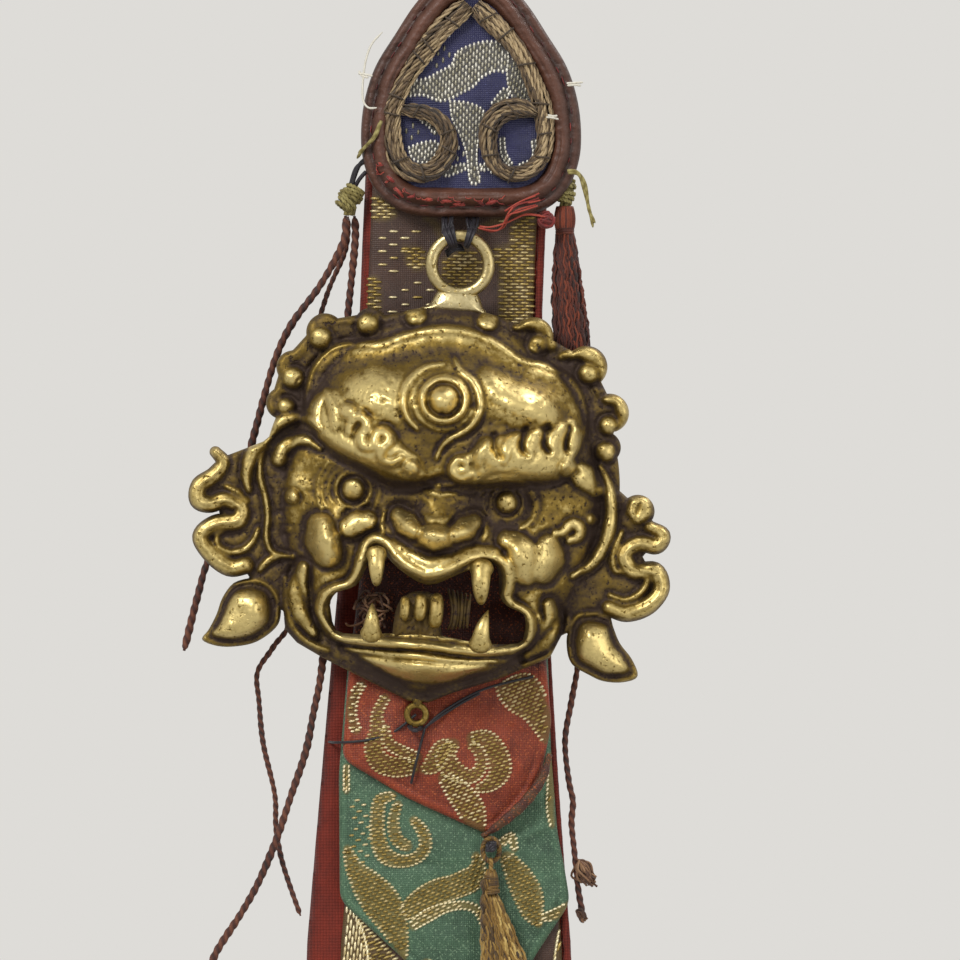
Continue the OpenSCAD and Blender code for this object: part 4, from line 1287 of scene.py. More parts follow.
@dataclass
class Mask:
    """The hollow-cast guardian face with its halo, ears, ribbons, drops, fangs and rings."""

    wall: float = 2.0
    top: float = 26.6
    foot: float = -25.0
    disc: tuple = (0, 2, 24.7)
    leaf: tuple = (27.4, 0.8, 2.3)
    mouth_edge: tuple = (
        (-13.9, -15.4), (-13, -13.8), (-10.4, -12.6), (-9.2, -10), (-8.4, -7.6), (-7.2, -7.6),
        (-4.6, -9.8), (-0.6, -11.6), (3.4, -9.8), (7, -8.1), (8.8, -8.8), (9.2, -12),
        (10.4, -13.6), (12.8, -14.6), (13.2, -16.8), (12.4, -18.8), (7, -19), (0, -18.3),
        (-6, -18.8), (-9, -19.3), (-12.8, -19.1),
    )
    jaw: tuple = (
        (-21.5, -10), (-19.8, -19.6), (-18, -21.3), (-14, -23.2), (-8, -25.6), (-2, -28),
        (0.8, -28), (4, -26.4), (10, -24), (17, -20.4), (20.5, -12),
    )
    lobes: tuple = (
        (-22.9, 11.5, 2.2), (-21.8, 16.6, 2.3), (-17.8, 21.8, 2.6), (-11.6, 23.4, 2.3),
        (11, 23.6, 2.7), (18.6, 20.1, 2.9), (22.3, 14, 2.7), (22.1, 9.2, 2.2),
    )
    beads: tuple = (
        (-22.2, 11.1, 1.3), (-21.6, 15.1, 1.55), (-18.3, 20.9, 1.6), (-11.9, 23.3, 1.65),
        (-5.5, 25.2, 1.7), (4.5, 25.2, 1.6), (11.6, 22.6, 1.45), (18.9, 19.2, 1.5),
        (22.3, 12.3, 1.4), (22.1, 8.6, 1.5),
    )
    scallops: tuple = (
        [(-24.2, 9.4), (-24.4, 11.6), (-23.6, 13.2)], [(-23.6, 14.4), (-23.3, 17), (-21.4, 18.4)],
        [(-20.6, 19), (-20.6, 21.4), (-19.2, 22.6)], [(-18.2, 22.9), (-16.4, 23.9), (-14.4, 23.9)],
        [(-10.4, 24.6), (-9.2, 24.8), (-8, 24.4)],
    )
    hoods: tuple = (
        [(8.4, 24.6), (10.6, 25.4), (12.8, 24.6), (13.4, 22.6)],
        [(15, 21.2), (17.6, 22), (20.3, 20.8), (21.2, 18.6)],
        [(21.6, 15.8), (23.4, 15.6), (24.4, 13.6), (23.8, 11.6)],
    )
    left_ribbon: tuple = (
        (-31.5, 4, 0.8), (-30.3, 2.6, 1.1), (-31.4, 0.8, 1.2), (-33.2, -0.8, 1.3),
        (-33.2, -2.8, 1.3), (-31.4, -3.2, 1.1), (-29.6, -2.4, 1.1), (-27.2, -3.4, 1.3),
        (-27.6, -5.2, 1.3), (-30.6, -5.9, 1.3), (-32.4, -7.8, 1.3), (-30.8, -10, 1.4),
        (-28.2, -11.6, 1.4), (-26, -11.2, 1.3),
    )
    right_ribbon: tuple = (
        (29.2, -1.2, 0.9), (31, -2.2, 1.2), (30.3, -3.7, 1.2), (27.8, -3.6, 1.2),
        (26, -5.3, 1.3), (27.4, -7.4, 1.2), (30.4, -7.2, 1.3), (31.4, -9.6, 1.3),
        (29.8, -12, 1.4), (27, -13.2, 1.4), (24.6, -12.8, 1.2),
    )
    left_web: tuple = (
        (-23, 8), (-25, 6), (-30.4, 3.4), (-33, -1.6), (-31, -3.4), (-29.6, -5), (-31.8, -7.8),
        (-29.6, -10.6), (-26, -12), (-24, -14.5), (-19, -18),
    )
    right_web: tuple = (
        (22, 8), (24.4, 3.6), (28.4, 0.6), (30.4, -2.6), (28.6, -5.4), (30.8, -8.6), (28.6, -12),
        (24.6, -13.6), (22, -15), (17, -18),
    )
    left_drop: tuple = (
        (-25.1, -12.9), (-27.4, -13.8), (-28.8, -16), (-29.4, -18.3), (-30.3, -20.5),
        (-31.1, -22), (-28.9, -22.7), (-26.2, -22.5), (-23.5, -21.6), (-21.2, -19.6),
        (-20.6, -17.8), (-21, -15.1), (-22.6, -13.3),
    )
    right_drop: tuple = (
        (22.6, -13.5), (20.1, -14), (19.2, -16), (19.2, -18.7), (20.1, -21), (22.6, -22.3),
        (24.7, -23), (27.4, -22.9), (29.3, -21.9), (28.3, -19.6), (26.5, -17.6),
        (25.4, -15.5), (24.7, -14),
    )
    fangs: tuple = (
        ((-7.9, -7.6), (-7.7, -9.8), (-7.5, -12.3), 1.2, 0.5),
        ((6.5, -8.2), (6.6, -10.8), (6.9, -13.6), 1.4, 0.5),
        ((-7.7, -19.2), (-7.7, -17), (-7.9, -14.6), 1.25, 0.88),
        ((7.2, -19.4), (7.3, -16.8), (7.9, -14.2), 1.3, 0.9),
    )
    front_teeth: tuple = ((-1.5, -12.9, -16.6, 0.85), (0.7, -12.6, -17.4, 0.95),
                          (-3.6, -13.4, -16.8, 0.7))
    tongue: tuple = (
        (-4.9, -19.4), (1.4, -19.4), (1.5, -16.5), (1, -13.6), (-0.6, -12.6), (-3, -13),
        (-4.6, -15), (-4.9, -19.4),
    )
    saddle: tuple = ((4.8, 25.9), (3.7, 27), (3.2, 28.1), (2.6, 29), (1.4, 29.5))
    pits: tuple = ((-11, 12, 3.2, 120), (10, 14.5, 3.6, 60), (-21, 2, 3, 50),
                   (0, -22.5, 4, 40), (0, 0, 14, 160))

    def __post_init__(self) -> None:
        """Lays the lattice that the casting is cut from, with the face's main form."""
        self.grid = Lattice(-35.6, 33.6, -29.4, 28.2, 0.2)
        self.relief = Relief(self.grid, face_height(self.grid.x, self.grid.z))

    def outline(self) -> np.ndarray:
        """Distance inside the casting's outline at each point of the lattice.

        Returns:
            The distances, with the mouth cut out.
        """
        g = self.grid
        x, z, r = self.disc
        field = np.minimum(r - np.hypot(g.x - x, g.z - z), self.top - g.z)
        field = np.minimum(field, g.z - self.foot)
        edges = [np.array(e, float) for e in (self.jaw, self.left_web, self.right_web)]
        edges += [loop_curve(drop, 4) for drop in (self.left_drop, self.right_drop)]
        for edge in edges:
            field = np.maximum(field, inside(g.x, g.z, edge))
        for x, z, r in (*self.lobes, self.leaf):
            field = np.maximum(field, r - np.hypot(g.x - x, g.z - z))
        for chain, half in ((self.lobes[:4], 1.6), (self.lobes[4:], 0.9)):
            field = np.maximum(field, half - line_distance(g.x, g.z, np.array(chain)[:, :2])[0])
        for ribbon in (self.left_ribbon, self.right_ribbon):
            path = spline(ribbon, 6)
            gap, share = line_distance(g.x, g.z, path[:, :2])
            half = np.interp(share, np.linspace(0, 1, len(path)), path[:, 2])
            field = np.maximum(field, half - gap)
        return np.minimum(field, -inside(g.x, g.z, loop_curve(self.mouth_edge, 3)))

    def forehead(self) -> None:
        """Models the dome of the forehead, its rim and the third eye."""
        r = self.relief
        rim = [(-19.5, 10.4), (-19.6, 13.4), (-19, 16.4), (-17.7, 18.7), (-15.5, 20.2),
               (-12.5, 20.7), (-9.8, 21), (-7, 22.3), (-3.6, 23.4), (0, 23.8), (3.6, 23.2),
               (6.7, 21.9), (9.6, 20.2), (12.8, 19.8), (16, 18.6), (18.3, 16), (19.2, 13.2),
               (19.2, 10.6)]
        r.mass([*rim, (18.4, 8), (17, 4.6), (9, 3), (3.4, 2.4), (0, 3.4), (-3.6, 2.2),
                (-9.6, 4), (-15.4, 6)], 1.3, 1.1)
        for x, z in spline([(p[0] * 0.86, 4 + (p[1] - 4) * 0.83) for p in rim[1:-1]], 3):
            r.hump(x, z, 2.0, 1.7, -0.24)
        r.band(rim, (0.35, 0.5, 0.5, 0.5, 0.35), 0.75, 0.35)
        for hump in ((-9.4, 12.6, 4.4, 4.6, 1.5), (-14.6, 11, 2.6, 3.6, 0.8), (-10, 16.6, 3, 2, 0.4),
                     (10.6, 13.4, 5.4, 3.2, 1.3), (5.8, 16.6, 1.8, 2.4, 0.8),
                     (-0.6, 13.8, 4.6, 4.6, 0.8)):
            r.hump(*hump)
        r.band([(4.8, 17.9), (7, 16.2), (9.8, 14.8), (13, 13.2), (15.2, 12.2)],
               (1.2, 2.2, 2.4, 2.0, 1.2), 0.8, 0.1, 1.2)
        r.bead(-0.5, 13.7, 1.9, 1.7, 0.8)
        r.ring(-0.5, 13.7, 3.0, 0.52, 0.95, moat=0.6)
        r.ring(-0.5, 13.7, 4.1, 0.3, 0.3, (200, 345), moat=0.4)
        r.band([(-1.2, 18.6), (-3.4, 18), (-5.3, 16.2), (-6, 13.6), (-5.4, 11), (-3.8, 9.4)],
               (0.3, 0.5, 0.55, 0.35), 0.75, 0.5)
        r.band([(0.4, 19.6), (1.3, 18), (3.1, 16.7), (4.3, 14.4), (4.3, 12), (3.1, 10),
                (0.8, 8.5), (-0.4, 7.1), (-0.9, 5.6)], (0.25, 0.5, 0.6, 0.6, 0.5, 0.3), 0.8, 0.5)

    def brows(self) -> None:
        """Models the curled brows and the fingers of flame on them."""
        r = self.relief
        r.mass([(0.6, 4.9), (1.2, 3.2), (3.4, 2.5), (6.4, 2.8), (9.2, 3.5), (12, 3.9), (15, 4.5),
                (17.4, 6.2), (18.6, 9), (18, 12), (16.4, 12.6), (14.4, 11), (11.6, 10.6), (8.8, 9.9),
                (5.4, 8.8), (3.4, 7), (1.6, 6.4)], 1.5, 1.5)
        r.mass([(-19, 9), (-17.4, 6.9), (-14, 5.2), (-10.7, 3.8), (-7.8, 2.4), (-5, 1.9),
                (-2.5, 2.9), (-2.6, 5.2), (-5.2, 6.9), (-6.6, 8.6), (-9, 9.8), (-11.6, 11.6),
                (-14, 12.4), (-15.6, 14), (-17.6, 13.6), (-19, 11.6)], 1.4, 1.6)
        r.band([(4.0, 3.9), (3.0, 2.9), (1.7, 3.2), (1.1, 4.5), (1.9, 5.7), (3.2, 5.5),
                (3.3, 4.5), (2.5, 4.2)], (0.45, 0.5, 0.45, 0.3), 0.5, 0.35)
        lobes = ([(4.9, 5.6), (5.1, 7), (5.5, 8.2)], [(8.3, 6.2), (8.8, 7.9), (9.4, 9.2)],
                 [(11.5, 6.9), (12, 8.7), (12.3, 10.1)], [(14.8, 7.6), (15.3, 9.5), (15.6, 11)],
                 [(17.3, 7.6), (17.8, 9), (18, 10.4)])
        for lobe in lobes:
            r.band(lobe, (0.7, 1.2, 1.15), 0.75, 0.3)
        for cut in ([(6.7, 9.4), (6.8, 8), (7.3, 7), (8, 6.5)],
                    [(10.8, 10.6), (10.4, 9), (10.6, 7.9), (11.4, 7.2)],
                    [(13.8, 11.4), (13.4, 9.8), (13.6, 8.5), (14.4, 7.9)],
                    [(16.9, 11.6), (16.6, 10.2), (16.5, 9.1), (17, 8.1)]):
            r.groove(cut, 0.42, 1.0)
        for cut in ([(5.6, 5.4), (5.7, 7)], [(9.2, 6.3), (9.5, 7.8)], [(12.4, 7.1), (12.7, 8.7)],
                    [(15.5, 7.8), (15.8, 9.6)]):
            r.groove(cut, 0.26, 0.4)
        r.bead(-4.1, 4.1, 1.15, 1.0, 0.6)
        r.band([(-5.6, 5.2), (-6.8, 4.4), (-8.2, 4.9), (-8.2, 6.4), (-7.2, 7.6), (-8, 8.9),
                (-9.2, 8.2), (-9.6, 6.6), (-10.9, 6.5), (-11.3, 7.9), (-10.6, 9.3), (-11.4, 10.4),
                (-12.8, 9.6), (-13, 8.2)], (0.5, 0.75, 0.75, 0.75, 0.55), 0.8, 0.6)
        r.bead(-13.4, 11, 1.15, 1.0, 0.6)
        r.band([(-15, 8.6), (-15.4, 10.8), (-16.2, 12.6), (-16.8, 13.8)], (0.5, 0.75, 0.45), 0.7, 0.5)
        r.band([(-17.6, 8.6), (-18, 11), (-17.2, 12.8)], (0.35, 0.5, 0.35), 0.5, 0.4)
        r.groove([(-17.8, 6.6), (-14.6, 4.4), (-10, 2.6), (-7, 1.2), (-3.6, 1.1), (-1, 2.2)], 0.55, 0.6)
        r.groove([(0.4, 1.8), (4, 1.5), (8, 2.4), (12, 2.9), (15.6, 3.5), (18.4, 5.6)], 0.5, 0.6)
        r.band([(-15.6, 4.1), (-12.4, 3.1), (-9.4, 1.9), (-6.8, 0.7)], (0.25, 0.4, 0.25), 0.35, 0.3)

    def eyes(self) -> None:
        """Models both eyes with their rings and lids."""
        r = self.relief
        for x, z, inner, outer in ((-11.9, 0.5, 2.4, 3.5), (9.2, 0.5, 2.2, 3.2)):
            r.hump(x, z, 2.4, 2.2, 0.9)
            r.bead(x, z, 1.6, 1.4, 0.9)
            r.ring(x, z, inner, 0.36, 0.38, moat=0.45)
            r.ring(x, z, outer, 0.32, 0.2, (20, 250), flat=0.85, moat=0.25)
        for gap in (4.4, 5.1):
            r.ring(-11.8, 0.4, gap, 0.28, 0.25, (140, 215), moat=0.3)
        r.band([(5.1, 1.4), (6.3, 3), (9, 3.7), (11.6, 3), (13.1, 1), (12.9, -1.2), (11.4, -2.8)],
               (0.35, 0.5, 0.5, 0.35), 0.4, 0.3)
        r.band([(-8.6, 2.2), (-8.3, 0.2), (-8.8, -1.8)], (0.25, 0.35, 0.25), 0.3, 0.25)

    def nose(self) -> None:
        """Models the nose's bridge, its broad wings and the lip's body below."""
        r = self.relief
        for i, z in enumerate((2, 0.8, -0.4, -1.6)):
            r.band([(-2.2, z + 0.4), (0, z), (2.2, z + 0.4)], (0.25, 0.4, 0.25), 0.35, 0.35)
        r.hump(0, -1.6, 1.8, 2, 0.9)
        for side in (-1, 1):
            r.band([(side * 5.2 - 0.2, -2.5), (side * 4.1 - 0.2, -3.4), (side * 2.9 - 0.2, -4.2)],
                   (1.2, 1.75, 1.3), 2.0, 0.9, 0.8)
            r.groove([(side * 2.3 - 0.1, -2.6), (side * 1.9 - 0.1, -3.6),
                      (side * 2.3 - 0.1, -5)], 0.4, 0.7)
        r.band([(-1.3, -4.8), (-0.1, -5), (1.1, -4.8)], (1.4, 1.9, 1.4), 2.2, 0.6)
        r.band([(-5.6, -6.2), (-3.2, -7.6), (-0.5, -8.6), (2.4, -7.7), (5.6, -6.4), (8.4, -6.4)],
               (0.7, 1.0, 1.1, 1.0, 0.7), 0.9, 0.5, 0.7)
        r.groove([(-5.4, -5.6), (-3, -7), (-0.4, -7.4), (2.6, -6.8), (5, -5.6)], 0.5, 0.6)
        for side in (-1, 1):
            r.band([(side * 6.9 - 0.4, -2), (side * 7.2 - 0.4, -3.8), (side * 6.8 - 0.4, -5)],
                   (0.25, 0.4, 0.25), 0.4, 0.4)

    def cheeks(self) -> None:
        """Models the cheeks' lobes and the jaw's crescents."""
        r = self.relief
        rows = (
            ([(-16, -5), (-15.6, -6.6), (-14.7, -8.4)], (2.0, 2.6, 2.1), 2.3),
            ([(-9.6, -3.5), (-10.8, -3.9), (-11.8, -4.7)], (1.5, 1.8, 1.5), 1.7),
            ([(9.6, -4.5), (10.8, -5), (12.2, -6.8), (12.6, -8.6)], (1.3, 1.9, 2.6, 2.0), 2.0),
            ([(15.4, -5), (15.7, -6.6), (15, -8.4)], (1.7, 2.2, 1.8), 2.2),
            ([(-18, -10.8), (-18.5, -13.6), (-17.8, -16.8), (-15.8, -19.6)], (0.9, 1.6, 1.6, 0.8), 1.9),
            ([(16.2, -13), (16.9, -15.4), (16.2, -18), (13.8, -20.2)], (0.9, 1.35, 1.3, 0.7), 1.6),
        )
        for route, wide, rise in rows:
            r.band(route, wide, rise, 0.9, 0.9)
        r.band([(-20.3, -12.4), (-19.9, -16), (-18.8, -18.9), (-16.6, -20.9), (-13.6, -22)],
               (0.35, 0.5, 0.5, 0.4), 0.7, 0.4)
        r.band([(19, -14.6), (18.6, -17.6), (16.8, -20), (13.6, -21.6)], (0.3, 0.5, 0.35), 0.7, 0.4)

    def mouth(self) -> None:
        """Models the lips, the gums and the chin."""
        r = self.relief
        r.band([(-14.8, -14.2), (-13.2, -13.2), (-11.4, -12.5), (-10.4, -11), (-10, -9),
                (-9.6, -7.2), (-8.8, -6.1), (-7.8, -5.9), (-6.6, -6.4), (-5.2, -7.8), (-3.8, -8.9),
                (-2, -9.8), (-0.5, -10.1), (1.4, -9.4), (3.2, -8.3), (5, -7.3), (7, -6.8),
                (8.6, -7.1), (9.7, -8), (10.3, -9.4), (10.4, -11), (10.3, -12.6), (11.3, -13.6),
                (12.8, -14.4), (13.9, -15.7), (13.9, -17.2), (13.1, -18.6), (11.4, -19.6)],
               (0.7, 0.85, 0.75, 0.85, 0.8, 0.95, 0.75), 1.4, 0.8)
        r.band([(-14.6, -14.4), (-15.3, -16), (-15, -17.6), (-13.8, -19), (-12, -19.9), (-8, -20.1),
                (-4, -19.9), (0, -19.8), (4, -20.1), (8, -20.3), (11.8, -19.5)],
               (0.7, 0.85, 0.75, 0.62, 0.6, 0.62), 1.3, 0.8)
        r.band([(-11.4, -21.5), (-6, -21.6), (-1, -21.4), (4, -21.7), (9.6, -21.4)],
               (0.3, 0.48, 0.48, 0.3), 0.7, 0.5)
        r.groove([(-12, -20.8), (-6, -20.9), (0, -20.7), (6, -21), (11, -20.8)], 0.3, 0.5)
        r.band([(-8.4, -18.8), (-5, -18.5), (-1, -18.3), (3, -18.4), (6, -18.8), (8.4, -19)],
               (0.4, 0.5, 0.45, 0.4), 0.8, 0.5)
        r.band([(14.9, -14.6), (15.5, -16.4), (15, -18.4), (13.4, -20.2)], (0.3, 0.45, 0.3), 0.6, 0.4)
        for x, z in ((-8, -8.6), (6.2, -8.9)):
            for lift in (0, 0.7):
                r.ring(x, z - 0.6, 1.25 + 0.3 * lift, 0.3, 0.5, (20, 160), 0.8 + 0.3 * lift, 0.3)
        r.mass([(-9.8, -22), (-4, -22.1), (2, -22), (8.6, -21.9), (5.4, -23.8), (1.6, -25.9),
                (-0.4, -26.4), (-2.2, -26), (-6, -24)], 1.9, 2.2)
        r.groove([(-14, -22.6), (-8, -24.8), (-2.6, -26.9), (1.4, -26.9), (6, -24.6), (12, -22.4)],
                 0.6, 0.5)

    def halo(self) -> None:
        """Models the beads round the halo and the low scallops behind them."""
        r = self.relief
        for curl in self.scallops:
            r.band(curl, (0.8, 1.2, 0.9), 0.35, 0.1, 0.6)
        for x, z, size in self.beads:
            r.bead(x, z, size, 1.2 * size**0.5, 0.7)
        for curl in self.hoods:
            r.band(curl, (0.6, 1.3, 0.9), 1.2, 0.5)

    def ears(self) -> None:
        """Models both ears."""
        r = self.relief
        rows = (
            ([(-17.2, 8.4), (-20, 9.8), (-23, 8.8), (-25, 6.6), (-26.5, 3.6), (-26.9, 1.2),
              (-26.4, -0.8)], (0.4, 0.95, 1.2, 1.05, 0.55), 1.6),
            ([(-24.6, 5.4), (-25.1, 3.2), (-24.9, 0.8), (-24, -1.6), (-23.5, -4), (-23.4, -7),
              (-22.6, -8.9), (-21, -9.4), (-19.6, -9.4)], (0.35, 0.5, 0.5, 0.45, 0.4), 0.9),
            ([(-22.5, 3.9), (-22, 5.3), (-20.6, 6.5), (-18.6, 6.6), (-16.8, 5.6)],
             (1.3, 1.1, 0.75, 0.4), 1.7),
            ([(-23.9, -11.6), (-22.8, -10.2), (-21.2, -9.6)], (0.5, 0.6, 0.4), 0.8),
            ([(17.3, 5.8), (19.2, 5.2), (21.4, 3.4)], (1.3, 2.0, 1.3), 1.9),
            ([(16.2, -3.1), (17.2, -2.9), (18.4, -1.6), (19.6, -2.2), (19.4, -3.4), (18.2, -3.9)],
             (0.6, 0.8, 0.9, 0.6), 0.9),
            ([(21.6, 6.6), (22.9, 4.2), (23.6, 1.2), (23.6, -1.9), (22.8, -4.8), (21.4, -7.2),
              (19.2, -8.8)], (0.45, 0.9, 1.1, 0.95, 0.5), 1.6),
        )
        for route, wide, rise in rows:
            r.band(route, wide, rise, 0.6)
        r.hump(-20.4, -0.2, 2, 3.4, 0.7)
        r.bead(-20.3, -1.2, 1.05, 1.2)
        r.bead(-20.6, -5.8, 0.6, 0.5, 0.3)
        r.bead(21.2, -0.8, 0.9, 0.8, 0.3)

    def ribbons(self) -> None:
        """Models the curling ribbons and the leaf beside the ears."""
        r = self.relief
        for ribbon in (self.left_ribbon, self.right_ribbon):
            route = [p[:2] for p in ribbon]
            r.band(route, tuple(0.95 * p[2] for p in ribbon), 1.5, 0.4, 0.6)
            path = spline(route, 6)
            side = sideways(path)
            for way in (-0.34, 0.4):
                r.groove(path[3:-3:5] + way * side[3:-3:5], 0.2, 0.3)
        r.band([(-29.2, -6.6), (-30.2, -7.4), (-29.8, -9), (-28, -9.6), (-26.2, -9), (-25.1, -7.6),
                (-24.6, -6)], (0.4, 0.6, 0.55, 0.35), 0.9, 0.5)
        r.band([(-29.6, -0.6), (-28, -1.2), (-26.4, -2.4)], (0.3, 0.6, 0.4), 0.8, 0.4)
        r.band([(25.4, -2.2), (24.8, -4), (24.4, -6), (25, -7.6), (26.4, -7.6)],
               (0.4, 0.6, 0.55, 0.4), 1.0, 0.5)
        r.band([(27.4, -8), (29, -7.9), (29.4, -9), (28.4, -10.6), (26.5, -11.5), (24.4, -11)],
               (0.45, 0.6, 0.55, 0.4), 0.9, 0.5)
        r.mass([(25.6, 0.4), (26, 2.4), (27.4, 2.9), (29, 2.6), (29.2, 0.2), (27.4, -1)], 1.2, 0.8)
        r.groove([(27, -0.2), (27.2, 1), (27.6, 2)], 0.25, 0.4)

    def drops(self) -> None:
        """Models the two teardrops beside the jaw."""
        r = self.relief
        for drop in (self.left_drop, self.right_drop):
            middle = np.mean(drop, axis=0)
            border, bulb = ([tuple(middle + k * (np.array(p) - middle)) for p in drop]
                            for k in (0.94, 0.74))
            r.band(border, (0.35, 0.35), 0.5, 0.35, closed=True)
            r.mass(bulb, 2.4, 2.3)
        r.hump(-24.2, -17.2, 1.3, 2, 0.7)
        r.hump(22, -17.4, 1.3, 1.8, 0.7)

    def surface(self) -> np.ndarray:
        """The front of the casting, with its hammered and pitted skin.

        Returns:
            Heights above the mask's back plane.
        """
        g = self.grid
        for part in (self.forehead, self.brows, self.eyes, self.nose, self.cheeks, self.mouth,
                     self.halo, self.ears, self.ribbons, self.drops):
            part()
        h = self.relief.heights()
        h += 0.07 * ripple(g.x, g.z, 3.4, 5) + 0.03 * ripple(g.x, g.z, 1.2, 6)
        pick = np.random.default_rng(31)
        for x, z, spread, count in self.pits:
            spots = pick.normal((x, z), spread, (count, 2))
            for spot, size in zip(spots, pick.uniform(0.13, 0.3, count)):
                part = g.around(spot[None], 1)
                gap = np.hypot(g.x[part] - spot[0], g.z[part] - spot[1])
                h[part] -= size * 0.8 * np.exp(-(gap / size)**2)
        return h

    def casting(self) -> None:
        """Builds the cast face, hollow behind and open at the mouth."""
        g = self.grid
        front = self.surface()
        hollow = np.clip(1 - (g.x / 20)**2 - ((g.z - 0.4) / 22.6)**2, 0, 1) > 0
        back = np.where(hollow, np.clip(face_height(g.x, g.z) - self.wall, 0, None), 0)
        back = np.minimum(blurred(back, 3), front - 1.2)
        # Patina in the fine hollows and rubbing on the crests, plus painted shade and painted highlight
        # across the broad forms (the coarse term); darker where the casting lies low.
        coarse = blurred(front[::3, ::3], 8).repeat(3, 0).repeat(3, 1)[:len(g.x), :len(g.x[0])]
        worn = (0.5 + 0.95 * (front - blurred(front, 2.4)) + 0.42 * (front - blurred(front, 9))
                + 0.1 * np.clip(front - coarse, -2.5, 2.5))
        worn = np.clip(worn, 0, 1) * (0.66 + 0.34 * soft_step(front, 1.6, 5.0))
        shape = Shape()
        g.plate(shape, self.outline(), front, back, 0.8, 0.45, FRAME.points, worn=worn)
        settle(shape, "mask_casting", Finish.CAST_BRASS, "mask", "aged_brass", ("mask_face",))

    def teeth(self) -> None:
        """Builds the fangs, the front teeth and the tongue in the mouth."""
        shape = Shape()
        for root, middle, tip, wide, point in self.fangs:
            path = evenly(spline([root, middle, tip], 8), 0.22)
            t = travel(path) / travel(path)[-1]
            size = wide * (1 - point * t**1.8) * np.sqrt(np.clip(1 - t**9, 0.02, 1))
            size = size * (1 + 0.22 * np.exp(-((t - 0.1) / 0.09)**2))
            shape.tube(FRAME.points(path[:, 0], 10.6 + 1.2 * np.sin(math.pi * t), path[:, 1]),
                       size, 16, worn=0.5 + 0.4 * np.sin(math.pi * t))
        t = np.linspace(0, 1, 16)
        for x, top, foot, wide in self.front_teeth:
            points = FRAME.points(x + 0.2 * np.sin(3 * t), 8.9 + 0.4 * np.sin(3 * t),
                                  np.linspace(top, foot, 16))
            size = wide * np.sqrt(np.clip(1 - (2 * t - 1)**6, 0.05, 1))
            shape.tube(points, size, 14, worn=0.35 + 0.4 * np.sin(math.pi * t))
        pick = np.random.default_rng(12)
        t = np.linspace(0, 1, 14)
        # The ridges at the back of the mouth are kept dark: painted shade.
        for i in range(6):
            points = FRAME.points(2.2 + 0.62 * i + (0.9 - 0.2 * i) * np.sin(2.6 * t),
                                  7.4 + 0.9 * np.sin(3 * t) + 0.2 * (i % 2),
                                  -11.9 - 0.1 * i - (5.6 - 0.2 * i) * t)
            size = (0.24 + 0.1 * pick.random()) * np.sin(2.6 * t + 0.27)**0.5
            shape.tube(points, size, 8, worn=0.16)
        grid = Lattice(-5.2, 2.0, -20, -12, 0.2)
        field = inside(grid.x, grid.z, spline(self.tongue, 5)[:-1])
        front = 8.7 + 0.12 * ripple(grid.x, grid.z, 1.4, 9) - 0.5 * np.exp(-((grid.x + 1.2) / 0.4)**2)
        grid.plate(shape, field, front, np.array(6.0), 2.2, 0.2, FRAME.points, worn=0.2)
        settle(shape, "mask_teeth", Finish.CAST_BRASS, "mask", "aged_brass")
        shape = Shape()
        t = np.linspace(0, TURN, 22)
        for k in range(16):
            x = pick.uniform(-10, -6.4) + 1.5 * np.sin(t * pick.uniform(0.3, 0.8) + k)
            up = pick.uniform(-17.4, -14.4) + 1.3 * np.cos(t * pick.uniform(0.4, 0.9) + 2 * k)
            shape.tube(FRAME.points(x, 3.4 + 1.2 * np.sin(t + k), up), 0.16, 5, up=(0.3, 0.5, 0.8),
                       tone=pick.uniform(0.2, 0.7))
        settle(shape, "mask_mouth_threads", Finish.BROWN_YARN, "mask", "dark_thread")

    def rings(self) -> None:
        """Builds the suspension ring on its saddle and the small ring under the chin."""
        c, s = math.cos(FRAME.roll), math.sin(FRAME.roll)
        plane = ((c, 0, -s), (s, 0, c))
        shape = Shape()
        shape.hoop(FRAME.points(0.0, RINGS.out, RINGS.up), plane, RINGS.radius, RINGS.wire, 72, 18,
                   worn=0.68)
        grid = Lattice(-5, 5, 25.6, 30, 0.14)
        edge = loop_curve([*self.saddle, *[(-x, z) for x, z in self.saddle[::-1]]], 5)
        field = np.minimum(inside(grid.x, grid.z, edge), np.hypot(grid.x, grid.z - RINGS.up) - 3.2)
        front = 1.9 + 0.3 * np.cos(grid.x * 0.4) - 0.25 * (grid.z - 27)
        grid.plate(shape, field, front, np.array(0.05), 1.7, 0.25, FRAME.points, worn=0.8)
        settle(shape, "mask_hanging_ring", Finish.RING_BRASS, "mask", "aged_brass",
               ("mask_ring",))
        shape = Shape()
        x, out, up = RINGS.chin
        shape.hoop(FRAME.points(x, out, up), plane, RINGS.chin_radius, RINGS.chin_wire, 40, 12,
                   worn=0.5)
        stem = FRAME.points(np.full(6, x), out, np.linspace(-28.6, -27.6, 6))
        shape.tube(stem, np.linspace(0.5, 0.8, 6), 12, worn=0.4)
        settle(shape, "mask_chin_ring", Finish.CAST_BRASS, "mask", "aged_brass", ("chin_ring",))

    def build(self) -> None:
        """Builds every piece of the mask."""
        self.casting()
        self.teeth()
        self.rings()
# Woven figures


